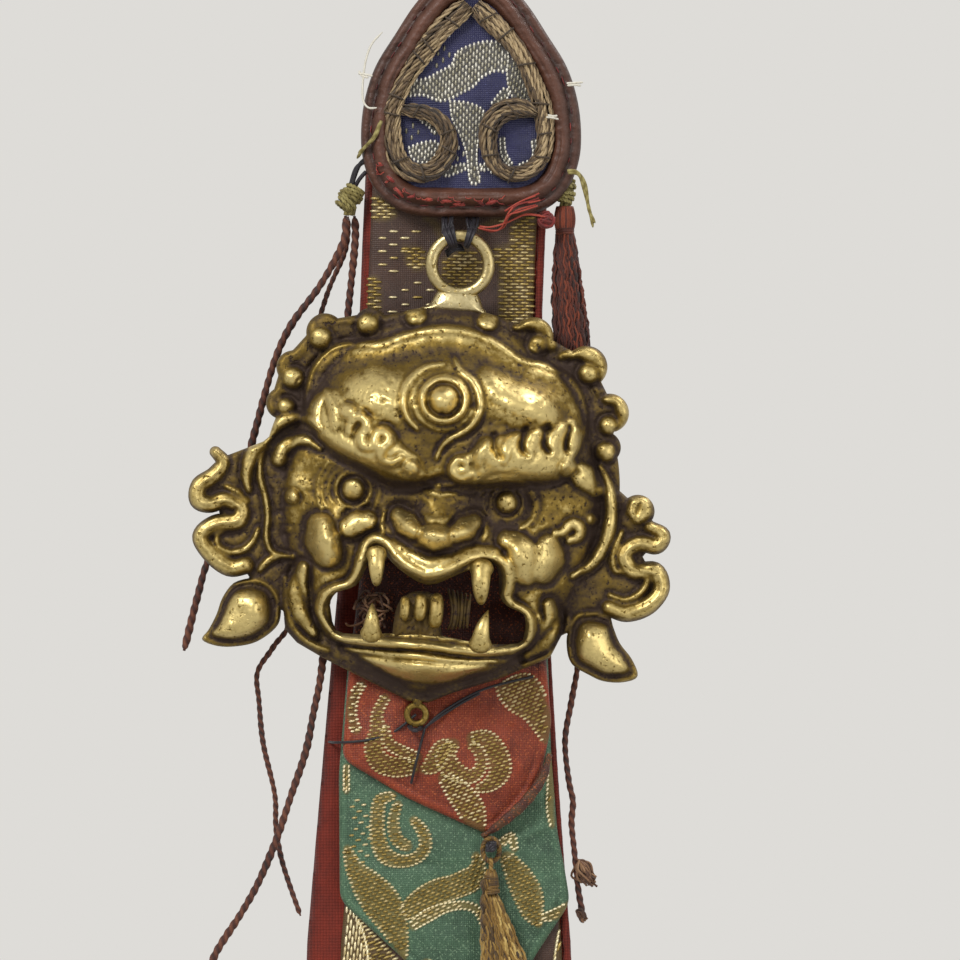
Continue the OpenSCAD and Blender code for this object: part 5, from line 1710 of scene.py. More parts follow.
@dataclass(frozen=True)
class Figure:
    """One figure woven in metal thread: a route with half widths, or a filled outline."""

    points: tuple
    lean: float = 0.0
    tone: float = 0.4
    loose: float = 1.0
    rim: bool = True

    @property
    def closed(self) -> bool:
        """True for a filled outline, whose points carry no half width."""
        return len(self.points[0]) == 2

    def edge(self) -> np.ndarray:
        """Finds the figure's outer line.

        Returns:
            The line, as close points.
        """
        if self.closed:
            return loop_curve(self.points, 4)
        path = spline(self.points, 5)
        side = sideways(path[:, :2]) * path[:, 2:]
        return np.vstack([path[:, :2] + side, (path[:, :2] - side)[::-1]])

    def depth(self, x: np.ndarray, z: np.ndarray) -> np.ndarray:
        """Distance inside the figure, negative outside.

        Args:
            x: places across.
            z: heights.

        Returns:
            The distances.
        """
        if self.closed:
            return inside(x, z, self.edge())
        path = spline(self.points, 5)
        gap, share = line_distance(x, z, path[:, :2])
        along = travel(path[:, :2])
        return np.interp(share, along / along[-1], path[:, 2]) - gap


@dataclass(frozen=True)
class Brocade:
    """How metal thread floats over a silk ground, as rows of short bead-like stitches."""

    row: float = 0.46
    step: float = 0.98
    long: float = 0.86
    wide: float = 0.4
    tall: float = 0.26

    def lay(self, shape: Shape, x: np.ndarray, z: np.ndarray, lean: float, surface: Callable,
            long: np.ndarray, tone: np.ndarray) -> None:
        """Adds floats, each a closed bead as long as its stitch.

        Args:
            shape: what they are added to.
            x: their middles across.
            z: their middles' heights.
            lean: their direction, in degrees from level.
            surface: gives how far out the cloth is at x and z.
            long: their lengths.
            tone: their tones.
        """
        c, s = math.cos(math.radians(lean)), math.sin(math.radians(lean))
        t = np.array([-0.5, -0.27, 0.27, 0.5])[None, :, None] * long[:, None, None]
        girth = np.array([0.4, 1, 1, 0.4])[None, :, None] * self.wide
        a = t + 0 * girth * np.ones(3)
        b = girth * np.array([-0.5, 0, 0.5])[None, None, :] + 0 * t
        px = x[:, None, None] + a * c - b * s
        pz = z[:, None, None] + a * s + b * c
        crest = np.array([0.1, 1, 1, 0.1])[None, :, None] * np.array([0.0, 1, 0])[None, None, :]
        out = surface(px, pz) - 0.06 + (self.tall + 0.06) * crest
        points = np.stack([px, -out, pz], -1).reshape(-1, 3)
        first = (np.arange(len(x)) * 12)[:, None, None]
        i = np.array([0, 3, 6])[None, :, None]
        quads = np.concatenate([
            first + i + np.array([[0, 3, 4, 1]]), first + i + np.array([[1, 4, 5, 2]]),
            first + i + np.array([[2, 5, 3, 0]])], axis=1).reshape(-1, 4)
        caps = (first + np.array([[0, 1, 2], [11, 10, 9]])[None]).reshape(-1, 3)
        start = shape.count
        shape.add(points, quads, tone=np.repeat(np.clip(tone, 0, 1), 12))
        shape.faces.append(caps + start)

    def weave(self, shape: Shape, figures: tuple, surface: Callable, within: Callable) -> None:
        """Fills figures with rows of floats and lines their edges with brighter ones.

        Args:
            shape: what they are added to.
            figures: the figures.
            surface: gives how far out the cloth is at x and z.
            within: gives how far inside the cloth's own edge x and z are.
        """
        for number, figure in enumerate(figures):
            pick = np.random.default_rng(200 + number)
            c, s = (f(math.radians(figure.lean)) for f in (math.cos, math.sin))
            flat = figure.edge()
            middle = (flat.min(0) + flat.max(0)) / 2
            reach = np.hypot(*np.ptp(flat, axis=0)) / 2 + 1
            rows = np.arange(-reach, reach, self.row * figure.loose)
            a, b = np.meshgrid(np.arange(-reach, reach, self.step * figure.loose), rows)
            a = a + (np.arange(len(rows)) % 2)[:, None] * self.step * figure.loose / 2
            a = a + pick.uniform(-0.05, 0.05, a.shape)
            x = (middle[0] + a * c - b * s).ravel()
            z = (middle[1] + a * s + b * c).ravel()
            depth = figure.depth(x, z)
            keep = (depth > 0.3) & (within(x, z) > 0.35)
            tone = figure.tone + pick.uniform(-0.16, 0.16, keep.sum())
            long = self.long * pick.uniform(0.85, 1.1, keep.sum())
            self.lay(shape, x[keep], z[keep], figure.lean, surface, long, tone)
            line = evenly(np.vstack([flat, flat[:1]]), 0.62)[:-1]
            line = line[within(line[:, 0], line[:, 1]) > 0.3]
            bright = figure.tone + 0.3 + pick.uniform(-0.14, 0.12, len(line))
            if len(line) and figure.rim and figure.loose < 1.5:
                self.lay(shape, line[:, 0], line[:, 1], figure.lean, surface,
                         np.full(len(line), 0.74 * self.long), bright)

    def ground(self, figures: tuple, grid: Lattice) -> np.ndarray:
        """How far each point of a cloth's lattice takes the figures' own colour.

        Args:
            figures: the figures.
            grid: the lattice.

        Returns:
            1 inside the figures, 0 well outside.
        """
        total = np.zeros(grid.x.shape)
        for figure in figures:
            flat = figure.edge()
            part = grid.around(flat, 1)
            inner = soft_step(figure.depth(grid.x[part], grid.z[part]), -0.25, 0.2)
            total[part] = np.maximum(total[part], inner * (figure.loose < 1.5))
        return total


    def cloth(self, names: tuple, finishes: tuple, slot: str, node: str, figures: tuple,
              grid: Lattice, field: np.ndarray, front: np.ndarray, back: np.ndarray, roll: float,
              low: float, trim: float = 0.0, gold: float = 1.0, **values: np.ndarray) -> tuple:
        """Builds a cloth and the metal threads woven on it.

        Args:
            names: the two pieces' names.
            finishes: their finishes.
            slot: passed on to settle for both pieces.
            node: the CAD node that the cloth stands for.
            figures: the woven figures.
            grid: the cloth's lattice.
            field: distance inside the cloth's outline.
            front: how far out its front is.
            back: how far out its back is.
            roll: width of its rounded edge.
            low: share of the thickness left at the edge.
            trim: how much further from the edge the threads stop.
            gold: how strongly the figures colour the cloth.
            values: named values on the lattice.

        Returns:
            The cloth and its threads.
        """
        shape = Shape()
        grid.plate(shape, field, front, back, roll, low, gold=gold * self.ground(figures, grid), **values)
        silk = settle(shape, names[0], finishes[0], "banner", slot, (node,))
        shape = Shape()
        self.weave(shape, figures, lambda x, z: grid.read(front, x, z),
                   lambda x, z: grid.read(field, x, z) - trim)
        return silk, settle(shape, names[1], finishes[1], "banner", slot)


# Leather patch


@dataclass
class Patch:
    """The pointed leather patch with its brocade inlay, laid cords and stitches."""

    half: float = 15.3
    foot: float = -46.8
    tall: float = 34.8
    back: float = 0.9
    front: float = 3.1
    level: float = 3.7
    rim_wide: float = 4.25
    rim_stitches: float = 1.42
    side: tuple = (
        (0, 0), (0.45, 0.005), (0.7, 0.04), (0.87, 0.11), (0.97, 0.21), (1, 0.32), (0.97, 0.46),
        (0.87, 0.6), (0.69, 0.73), (0.51, 0.85), (0.31, 0.94), (0, 1),
    )
    roll_profile: tuple = (
        (0, 0.15, 0.5, 0.9, 1.2, 1.42, 1.66, 2.0, 2.55, 3.1, 3.6, 3.95, 4.2),
        (0, 0.5, 0.95, 1.05, 0.9, 0.62, 1.25, 1.85, 2.2, 2.05, 1.45, 0.75, 0.2),
    )
    left_laid: tuple = (
        (-0.4, -17.4, 1.0), (-1.9, -19, 1.3), (-4.7, -21.7, 1.35), (-7.4, -24.9, 1.3),
        (-9.6, -28.4, 1.3), (-11, -32, 1.3), (-11.2, -35.6, 1.3), (-10.2, -38.6, 1.3),
        (-8.2, -40.4, 1.25), (-5.8, -40.6, 1.2), (-3.9, -39.2, 1.2), (-3, -37, 1.2),
        (-3.3, -34.9, 1.1), (-4.9, -33.1, 1.0), (-7.2, -32.3, 0.85), (-9.6, -32, 0.55),
    )
    right_laid: tuple = (
        (0.5, -17.6, 1.0), (2.9, -19.7, 1.3), (5.5, -22.4, 1.35), (7.4, -25.4, 1.3),
        (8.8, -28.8, 1.2), (9.9, -32, 1.15), (10.3, -35.6, 0.95), (9.9, -38.4, 0.95),
        (8, -40.5, 1.1), (5.4, -40.9, 1.15), (3.4, -39.6, 1.15), (2.5, -37.2, 1.2),
        (2.7, -34.4, 1.25), (4.3, -32.4, 1.25), (6.8, -31.8, 1.1), (9.2, -32.4, 0.6),
    )
    figures: tuple = (
        Figure(((-9.4, -27.9), (-6.4, -27.7), (-4.6, -26.8), (-2.7, -25.7), (-2.0, -24.1),
                (-0.2, -23.1), (2.1, -22.5), (4.1, -22.7), (5.1, -23.6), (4.9, -26.5),
                (3.4, -26.5), (1.5, -27.4), (0.3, -28.7), (-1.4, -29.6), (-2.7, -30.3),
                (-4.4, -30.7), (-6.6, -29.9), (-9.4, -29.9)), 86, 0.66),
        Figure(((5.2, -24.6), (6.8, -25.4), (8.2, -28.2), (9, -31), (8.4, -32.6), (6.6, -31.4),
                (5.4, -29.4), (5, -27)), 80, 0.5),
        Figure(((-2.9, -30.8), (-0.6, -31), (1.4, -31.8), (2.0, -33.4), (1.0, -36.2),
                (0.8, -39.4), (1.2, -41.8), (-0.1, -41.9), (-0.6, -38), (-1.6, -35.2),
                (-2.6, -33.2)), 88, 0.6),
        Figure(((2.9, -31), (4.6, -29), (5.2, -30), (3.8, -31.8)), 86, 0.7),
        Figure(((-6.9, -33, 0.4), (-5.6, -33.8, 0.45), (-4.9, -35, 0.4)), 80, 0.7),
        Figure(((-8.6, -37.2), (-6.6, -36.5), (-4.7, -36.5), (-4.4, -38.6), (-6.6, -39.3),
                (-8.2, -38.6)), 84, 0.75),
        Figure(((8.7, -36.4, 0.35), (9.1, -38, 0.5), (8.4, -39.3, 0.4), (6.8, -39.8, 0.35)), 84, 0.6),
        Figure(((4.3, -36, 0.3), (4.5, -38, 0.35), (5.4, -39.6, 0.35)), 84, 0.6),
        Figure(((-3.6, -40.8, 0.4), (-2.2, -40.2, 0.5), (-0.9, -39.8, 0.4)), 84, 0.6),
        Figure(((1.4, -40, 0.4), (2.6, -39.8, 0.35), (3.2, -40.6, 0.3)), 84, 0.7),
        Figure(((-4.2, -21.9, 0.3), (-3.2, -21.3, 0.35), (-2.7, -20.2, 0.3)), 84, 0.8),
        Figure(((-9, -27.2), (-6.2, -24), (-3.2, -22.4), (-2.6, -24.6), (-5, -26.6)), 84, 0.45, 1.8),
        Figure(((-2.4, -35.6), (-0.8, -36), (-0.4, -39), (-2.4, -39.6)), 84, 0.6, 1.7),
        Figure(((-9.4, -34), (-7.2, -33.8), (-5.4, -35.8), (-8.8, -36.4)), 84, 0.3, 1.9),
    )
    frays: tuple = (
        ((4.6, -47.7, 4.6), (5.2, -46.4, 5.9), (6.4, -45.2, 6.3), (8, -44.6, 6.2), (9.4, -44.6, 5.8)),
        ((0.9, -48.4, 4.2), (2.8, -48.6, 4.5), (4.4, -48.2, 4.6), (5, -46.8, 5.6), (6.6, -45.9, 6.2),
         (9, -45.5, 6)),
        ((4.8, -46, 5.8), (6.6, -45, 6.4), (9.2, -43.9, 6)),
        ((1.2, -48, 4.3), (3, -48.1, 4.7), (5, -47.6, 4.9), (7.6, -46.6, 5.5), (10.2, -46.8, 5)),
    )
    pale: tuple = (
        ((-13.0, -31.8, 5.4), (-14.3, -31.7, 5.3), (-15.0, -30.1, 4.8), (-14.7, -26, 4.9),
         (-13.8, -23.1, 5.1), (-12.2, -21.3, 5.2)),
        ((13.2, -28.4, 5.2), (14.4, -28.3, 4.8), (15.5, -28.2, 4.5)),
        ((13.3, -28.7, 5.2), (14.5, -28.6, 4.9), (15.2, -28.7, 4.7)),
        ((10.4, -33.1, 5.5), (11.2, -33.2, 5.8), (12.1, -33.4, 5.7)),
        ((10.6, -32.8, 5.5), (11.4, -33.0, 5.9), (11.9, -32.9, 5.9)),
        ((-13.6, -27.4, 5.3), (-14.8, -27.1, 4.9), (-15.6, -27.0, 4.6)),
        ((-14.2, -27.6, 5.0), (-15.1, -27.3, 4.7), (-15.5, -26.6, 4.6)),
    )
    yellow: tuple = (
        ((-12.4, -33.6, 5.3), (-13.2, -35.7, 5.4), (-14.5, -37, 4.6), (-15.6, -37.9, 3.4)),
        ((-12.6, -33.9, 5.3), (-13.5, -35.9, 5.3), (-14.9, -37.4, 4.4), (-15.8, -38.6, 3.0)),
        ((13.3, -40.5, 4.9), (14.6, -40.6, 4.8), (15.8, -42.3, 4.2), (16.3, -45.7, 3.6),
         (17.2, -47.6, 3.4)),
        ((13.4, -40.7, 4.8), (14.9, -41.0, 4.7), (15.6, -42.9, 4.1), (16.5, -46.2, 3.5),
         (16.9, -48.2, 3.3)),
    )

    foot_row: tuple = (
        (-13.2, -39.4), (-12.2, -41.4), (-10.4, -42.9), (-8, -43.9), (-5, -44.5), (-2, -44.8),
        (1.6, -44.8), (5, -44.2),
    )

    def __post_init__(self) -> None:
        """Lays the lattice and finds how far each point is inside the patch."""
        self.grid = Lattice(-15.8, 15.8, -47.3, -11.5, 0.17)
        self.inset = inside(self.grid.x, self.grid.z, self.outline())
        roll = np.interp(self.inset, *self.roll_profile)
        wrinkle = 0.1 * ripple(self.grid.x, self.grid.z, 3.4, 41)
        wrinkle += 0.05 * ripple(self.grid.x, self.grid.z, 1.3, 42)
        crease = 0.28 * np.exp(-((self.inset - 3.0) / 0.16)**2)
        crease = crease * soft_step(ripple(self.grid.x, self.grid.z, 12, 43), -1.0, 0.2)
        self.leather = self.front + blurred(roll, 1.2) + wrinkle * np.clip(roll, 0, 1) - crease
        self.roll = roll

    def outline(self) -> np.ndarray:
        """Draws the patch's outline, foot first, as in the solid.

        Returns:
            The outline.
        """
        side = spline(self.side, 5)
        right = side * (self.half, self.tall) + (0, self.foot)
        return np.vstack([right, right[-2:0:-1] * (-1, 1)])

    def offset(self, inset: float) -> np.ndarray:
        """A line round the patch.

        Args:
            inset: how far inside its edge.

        Returns:
            The line.
        """
        ring = evenly(np.vstack([self.outline(), self.outline()[:1]]), 0.5)[:-1]
        run = np.roll(ring, -1, 0) - np.roll(ring, 1, 0)
        run /= np.linalg.norm(run, axis=1)[:, None]
        moved = ring + inset * np.stack([-run[:, 1], run[:, 0]], 1)
        gap = self.grid.read(self.inset, moved[:, 0], moved[:, 1])
        return moved[gap > inset - 0.2]

    def leathers(self) -> None:
        """Builds the base and the rolled rim."""
        g = self.grid
        shape = Shape()
        g.plate(shape, self.inset - 0.1, np.array(self.front - 0.1), np.array(self.back), 0.9, 0.35,
                worn=0.2)
        settle(shape, "patch_leather_back", Finish.LEATHER, "banner", "dark_leather", ("patch_base",))
        shape = Shape()
        field = np.minimum(self.inset - 0.02, self.rim_wide - self.inset)
        # Lighter on the crests of the folds and the roll and darker in the creases: rubbing, with painted
        # highlight and painted shade.
        fine = self.leather - blurred(self.leather, 3)
        worn = np.clip(0.25 + 0.9 * fine + 0.1 * (self.roll - 1), 0, 1)
        g.plate(shape, field, self.leather, np.array(self.front - 0.9), 0.3, 0.5, worn=worn)
        settle(shape, "patch_leather_rim", Finish.LEATHER, "banner", "red_leather", ("patch_rim",))

    def inlay(self) -> None:
        """Builds the blue brocade inlay and its metal threads."""
        g = Lattice(-12.6, 12.6, -44.2, -14.6, 0.22)
        front = self.level + 0.12 * ripple(g.x, g.z, 5, 44) + 0.03 * ripple(g.x, g.z, 1.2, 45)
        weave = Brocade(row=0.44, step=0.92, long=0.88, wide=0.44, tall=0.22)
        piece, threads = weave.cloth(
            ("patch_inlay_silk", "patch_inlay_metal_thread"),
            (Finish.BLUE_SILK, Finish.SILVER_THREAD), "blue_brocade", "patch_inlay", self.figures, g,
            inside(g.x, g.z, self.outline()) - 3.5, front, np.array(self.front - 0.2), 0.3, 0.6, 0.1, 0.6)

    def laid(self, side: str, route: Sequence, seed: int) -> None:
        """Builds one band of threads laid side by side and couched down.

        Args:
            side: left or right.
            route: its middle line with half widths.
            seed: picks how its threads wander.
        """
        pick = np.random.default_rng(seed)
        path = evenly(spline(route, 8), 0.42)
        s = travel(path[:, :2])
        normal = sideways(path[:, :2])
        over = 0.5 * np.exp(-((s - 0.88 * s[-1]) / 6)**2)
        level = self.level + 0.2 + over
        shape = Shape()
        shape.tube(track(path[:, 0], level, path[:, 1]), path[:, 2] * 0.9, 10, flat=0.42, tone=0.08)
        ends = np.clip(np.minimum(s, s[-1] - s) / 1.2, 0.3, 1)
        for k in range(11):
            share = (k + 0.5) / 5.5 - 1
            sway = pick.uniform(0.1, 0.26) * np.sin(s / pick.uniform(1.8, 4) + pick.uniform(0, 6))
            thick = pick.uniform(0.11, 0.18)
            twist = TURN * s / pick.uniform(2.2, 4.2) + pick.uniform(0, 6)
            base = pick.choice([0.22, 0.4, 0.5, 0.68, 0.86])
            rise = level + 0.3 + 0.6 * np.sqrt(np.clip(1 - share * share, 0, 1))
            rise = rise + 0.12 * np.sin(s / pick.uniform(1.6, 3.6) + pick.uniform(0, 6))
            for ply in (0, math.pi):
                across = path[:, 2] * np.clip(share + sway, -1.08, 1.08) + thick * np.cos(twist + ply)
                flat = path[:, :2] + normal * across[:, None]
                line = track(flat[:, 0], rise + thick * np.sin(twist + ply), flat[:, 1])
                # Each ply lighter where it turns outward and the threads darker towards the band's edges:
                # painted highlight and painted shade.
                tone = base + 0.15 * np.sin(twist + ply) - 0.1 * abs(share)
                tone = tone - 0.25 * soft_step(s, 0.5 * s[-1], 0.66 * s[-1])
                shape.tube(line, 1.15 * thick * ends, 6, tone=tone)
        for at in np.arange(2.2, s[-1] - 1, 4.4):
            i = int(np.searchsorted(s, at + pick.uniform(-1.2, 1.2)))
            t = np.linspace(-1, 1, 9)
            run = np.array([normal[i, 1], -normal[i, 0]])
            flat = (path[i, :2] + normal[i] * (t * path[i, 2] * 1.05)[:, None]
                    + run * (pick.uniform(-0.6, 0.6) * t)[:, None])
            out = level[i] + 0.42 + 0.95 * np.sqrt(np.clip(1 - t * t, 0, 1))
            shape.tube(track(flat[:, 0], out, flat[:, 1]), 0.14, 5, up=(run[0], 0, run[1]), tone=0.12)
        settle(shape, f"patch_laid_threads_{side}", Finish.TAN_THREAD, "banner", "tan_cord",
               (f"couched_cord_{side}",))

    def surface(self, x: np.ndarray, z: np.ndarray) -> np.ndarray:
        """How far out the leather is."""
        return self.grid.read(self.leather, x, z)

    def stitches(self) -> None:
        """Builds the red running stitches, the looped row along the foot and the frayed ends."""
        pick = np.random.default_rng(51)
        shape = Shape()
        row = spline(self.foot_row, 6)
        self.running(shape, pick, self.offset(self.rim_stitches), 1.1, 0.9, 0.08, 0.08, 0.25)
        self.running(shape, pick, row, 1.35, 0.7, 0.24, 0.4, 0.5)
        places = evenly(row, 0.9)
        t = np.linspace(0, 1, 8)
        for x, z in places + pick.normal(0, 0.35, places.shape):
            turn, reach = pick.uniform(0, math.pi), pick.uniform(0.5, 1.2)
            fx = x + reach * np.cos(turn) * (t - 0.5) + 0.15 * np.sin(6 * t)
            fz = z + reach * np.sin(turn) * (t - 0.5) + 0.15 * np.cos(5 * t)
            out = self.surface(fx, fz) + 0.08 + pick.uniform(0.2, 0.6) * np.sin(math.pi * t)
            shape.tube(track(fx, out, fz), 0.07, 4, up=(0.1, 1, 0.05), tone=pick.uniform(0.5, 0.95))
        for fray in self.frays:
            for _ in range(2):
                line = through(fray + pick.normal(0, 0.14, (len(fray), 3)))
                shape.tube(line, 0.13, 5, up=(0, 1, 0.01), tone=pick.uniform(0.5, 0.95))
        knot = np.array([10.4, -4.5, -47.2])
        shape.ball(knot, (1.0, 0.7, 0.95), 8, 14, rough=0.14, seed=52, tone=0.2)
        for _ in range(9):
            a = np.linspace(0, pick.uniform(1.1, 2) * math.pi, 22)
            axis = pick.normal(size=3)
            u = np.cross(axis, (0.2, 1, 0.3))
            u /= np.linalg.norm(u)
            v = np.cross(axis / np.linalg.norm(axis), u)
            curl = (np.cos(a)[:, None] * u + np.sin(a)[:, None] * v) * (1.12, 0.8, 1.05)
            shape.tube(knot + curl * pick.uniform(0.8, 1.1), 0.2, 6, up=tuple(axis),
                       tone=pick.uniform(0.2, 0.6))
        settle(shape, "patch_red_stitches", Finish.RED_THREAD, "banner", "red_thread",
               ("rim_stitches",))

    def running(self, shape: Shape, pick: np.random.Generator, line: np.ndarray, long: float,
                gap: float, thick: float, stray: float, tone: float) -> None:
        """Adds a row of running stitches on the leather.

        Args:
            shape: what they are added to.
            pick: gives their unevenness.
            line: the flat line that they follow.
            long: a stitch's length.
            gap: the space between two.
            thick: the thread's radius.
            stray: how far a stitch strays from the line.
            tone: its usual tone.
        """
        line = evenly(line, 0.12)
        s = travel(line)
        at = 0.4
        while at + long < s[-1]:
            i, j = np.searchsorted(s, (at, at + long * pick.uniform(0.7, 1.2)))
            part = line[i:j + 1] + pick.normal(0, stray, 2)
            t = np.linspace(0, 1, len(part))
            part[:, 1] += pick.normal(0, stray) * (t - 0.5)
            out = self.surface(part[:, 0], part[:, 1]) + 0.03 + 1.6 * thick * np.sin(math.pi * t)
            size = thick * (0.7 + 0.4 * np.sin(math.pi * t)) * pick.uniform(0.8, 1.15)
            shape.tube(track(part[:, 0], out, part[:, 1]), size, 6, tone=tone + pick.uniform(-0.25, 0.3))
            at += long + gap * pick.uniform(0.6, 1.6)

    def loose_threads(self) -> None:
        """Builds the pale and yellow thread ends that stand off the rim."""
        shape = Shape()
        for fray in self.pale:
            line = through(fray)
            size = np.interp(np.linspace(0, 1, len(line)), [0, 0.1, 0.9, 1], [0.08, 0.15, 0.15, 0.05])
            shape.tube(line, size, 6, up=(0, 1, 0.02), tone=0.8)
        settle(shape, "patch_pale_thread_ends", Finish.PALE_THREAD, "banner", "tan_cord")
        shape = Shape()
        for fray in self.yellow:
            line = evenly(through(fray), 0.3)
            s = travel(line)
            shape.tube(line, 0.24 * np.clip((s[-1] - s) / 0.8 + 0.4, 0, 1), 7, up=(0, 1, 0.02),
                       tone=0.6 + 0.2 * np.sin(s * 5))
        settle(shape, "patch_yellow_thread_ends", Finish.OLIVE_YARN, "banner", "olive_yarn")

    def build(self) -> None:
        """Builds every piece of the patch."""
        self.leathers()
        self.inlay()
        self.laid("left", self.left_laid, 61)
        self.laid("right", self.right_laid, 62)
        self.stitches()
        self.loose_threads()


# Padded strip and its two tongues


@dataclass(frozen=True)
class StripSizes:
    """Sizes of the padded strip, as in the solid."""

    top: float = -30.0
    neck: float = -60.0
    foot: float = -149.0
    corner: float = -164.0
    tip: float = -191.5
    neck_wide: float = 25.5
    foot_wide: float = 37.0
    thick: float = 4.0
    front: float = 0.3
    ground: float = 0.9

    def half(self, z: np.ndarray) -> np.ndarray:
        """Half of the strip's width at each height."""
        t = np.clip((z - self.neck) / (self.foot - self.neck), 0, 1)**1.3
        return (self.neck_wide + (self.foot_wide - self.neck_wide) * t) / 2

    def middle(self, z: np.ndarray) -> np.ndarray:
        """Where the strip's middle line runs, as it hangs a little askew."""
        t = np.clip((z - self.top) / (self.foot - self.top), 0, 1)
        return -1.5 - 3 * (1 - (1 - t)**2)

    def margin(self, z: np.ndarray) -> np.ndarray:
        """Width of the red margin at the left of the brocade."""
        t = np.clip((z - self.neck) / (-109 - self.neck), 0, 1)
        return 0.8 + 3.7 * t

    def outline(self, left: float, right: float) -> np.ndarray:
        """The outline of the strip, or of the cloth inside its margins.

        Args:
            left: share of the left margin to leave out.
            right: width to leave out at the right.

        Returns:
            The outline.
        """
        z = np.linspace(self.top, self.corner, 42)
        a = self.middle(z) - self.half(z) + left * self.margin(z)
        b = self.middle(z) + self.half(z) - right
        tip = np.array([[self.middle(self.tip), self.tip + right]])
        return np.vstack([np.stack([b, z], 1), tip, np.stack([a, z], 1)[::-1]])


STRIP = StripSizes()


def shares(points: Sequence) -> np.ndarray:
    """Places on the strip, from shares of its half width and heights."""
    p = np.array(points, float)
    return np.stack([STRIP.middle(p[:, 1]) + p[:, 0] * STRIP.half(p[:, 1]), p[:, 1]], 1)


def rounded(ring: np.ndarray) -> np.ndarray:
    """Rounds an outline's corners a little.

    Args:
        ring: the outline.

    Returns:
        The rounded outline.
    """
    line = evenly(np.vstack([ring, ring[:1]]), 0.6)[:-1]
    k = np.exp(-0.5 * (np.arange(-4, 5) / 1.6)**2)
    return sum(w * np.roll(line, i - 4, 0) for i, w in enumerate(k / k.sum()))


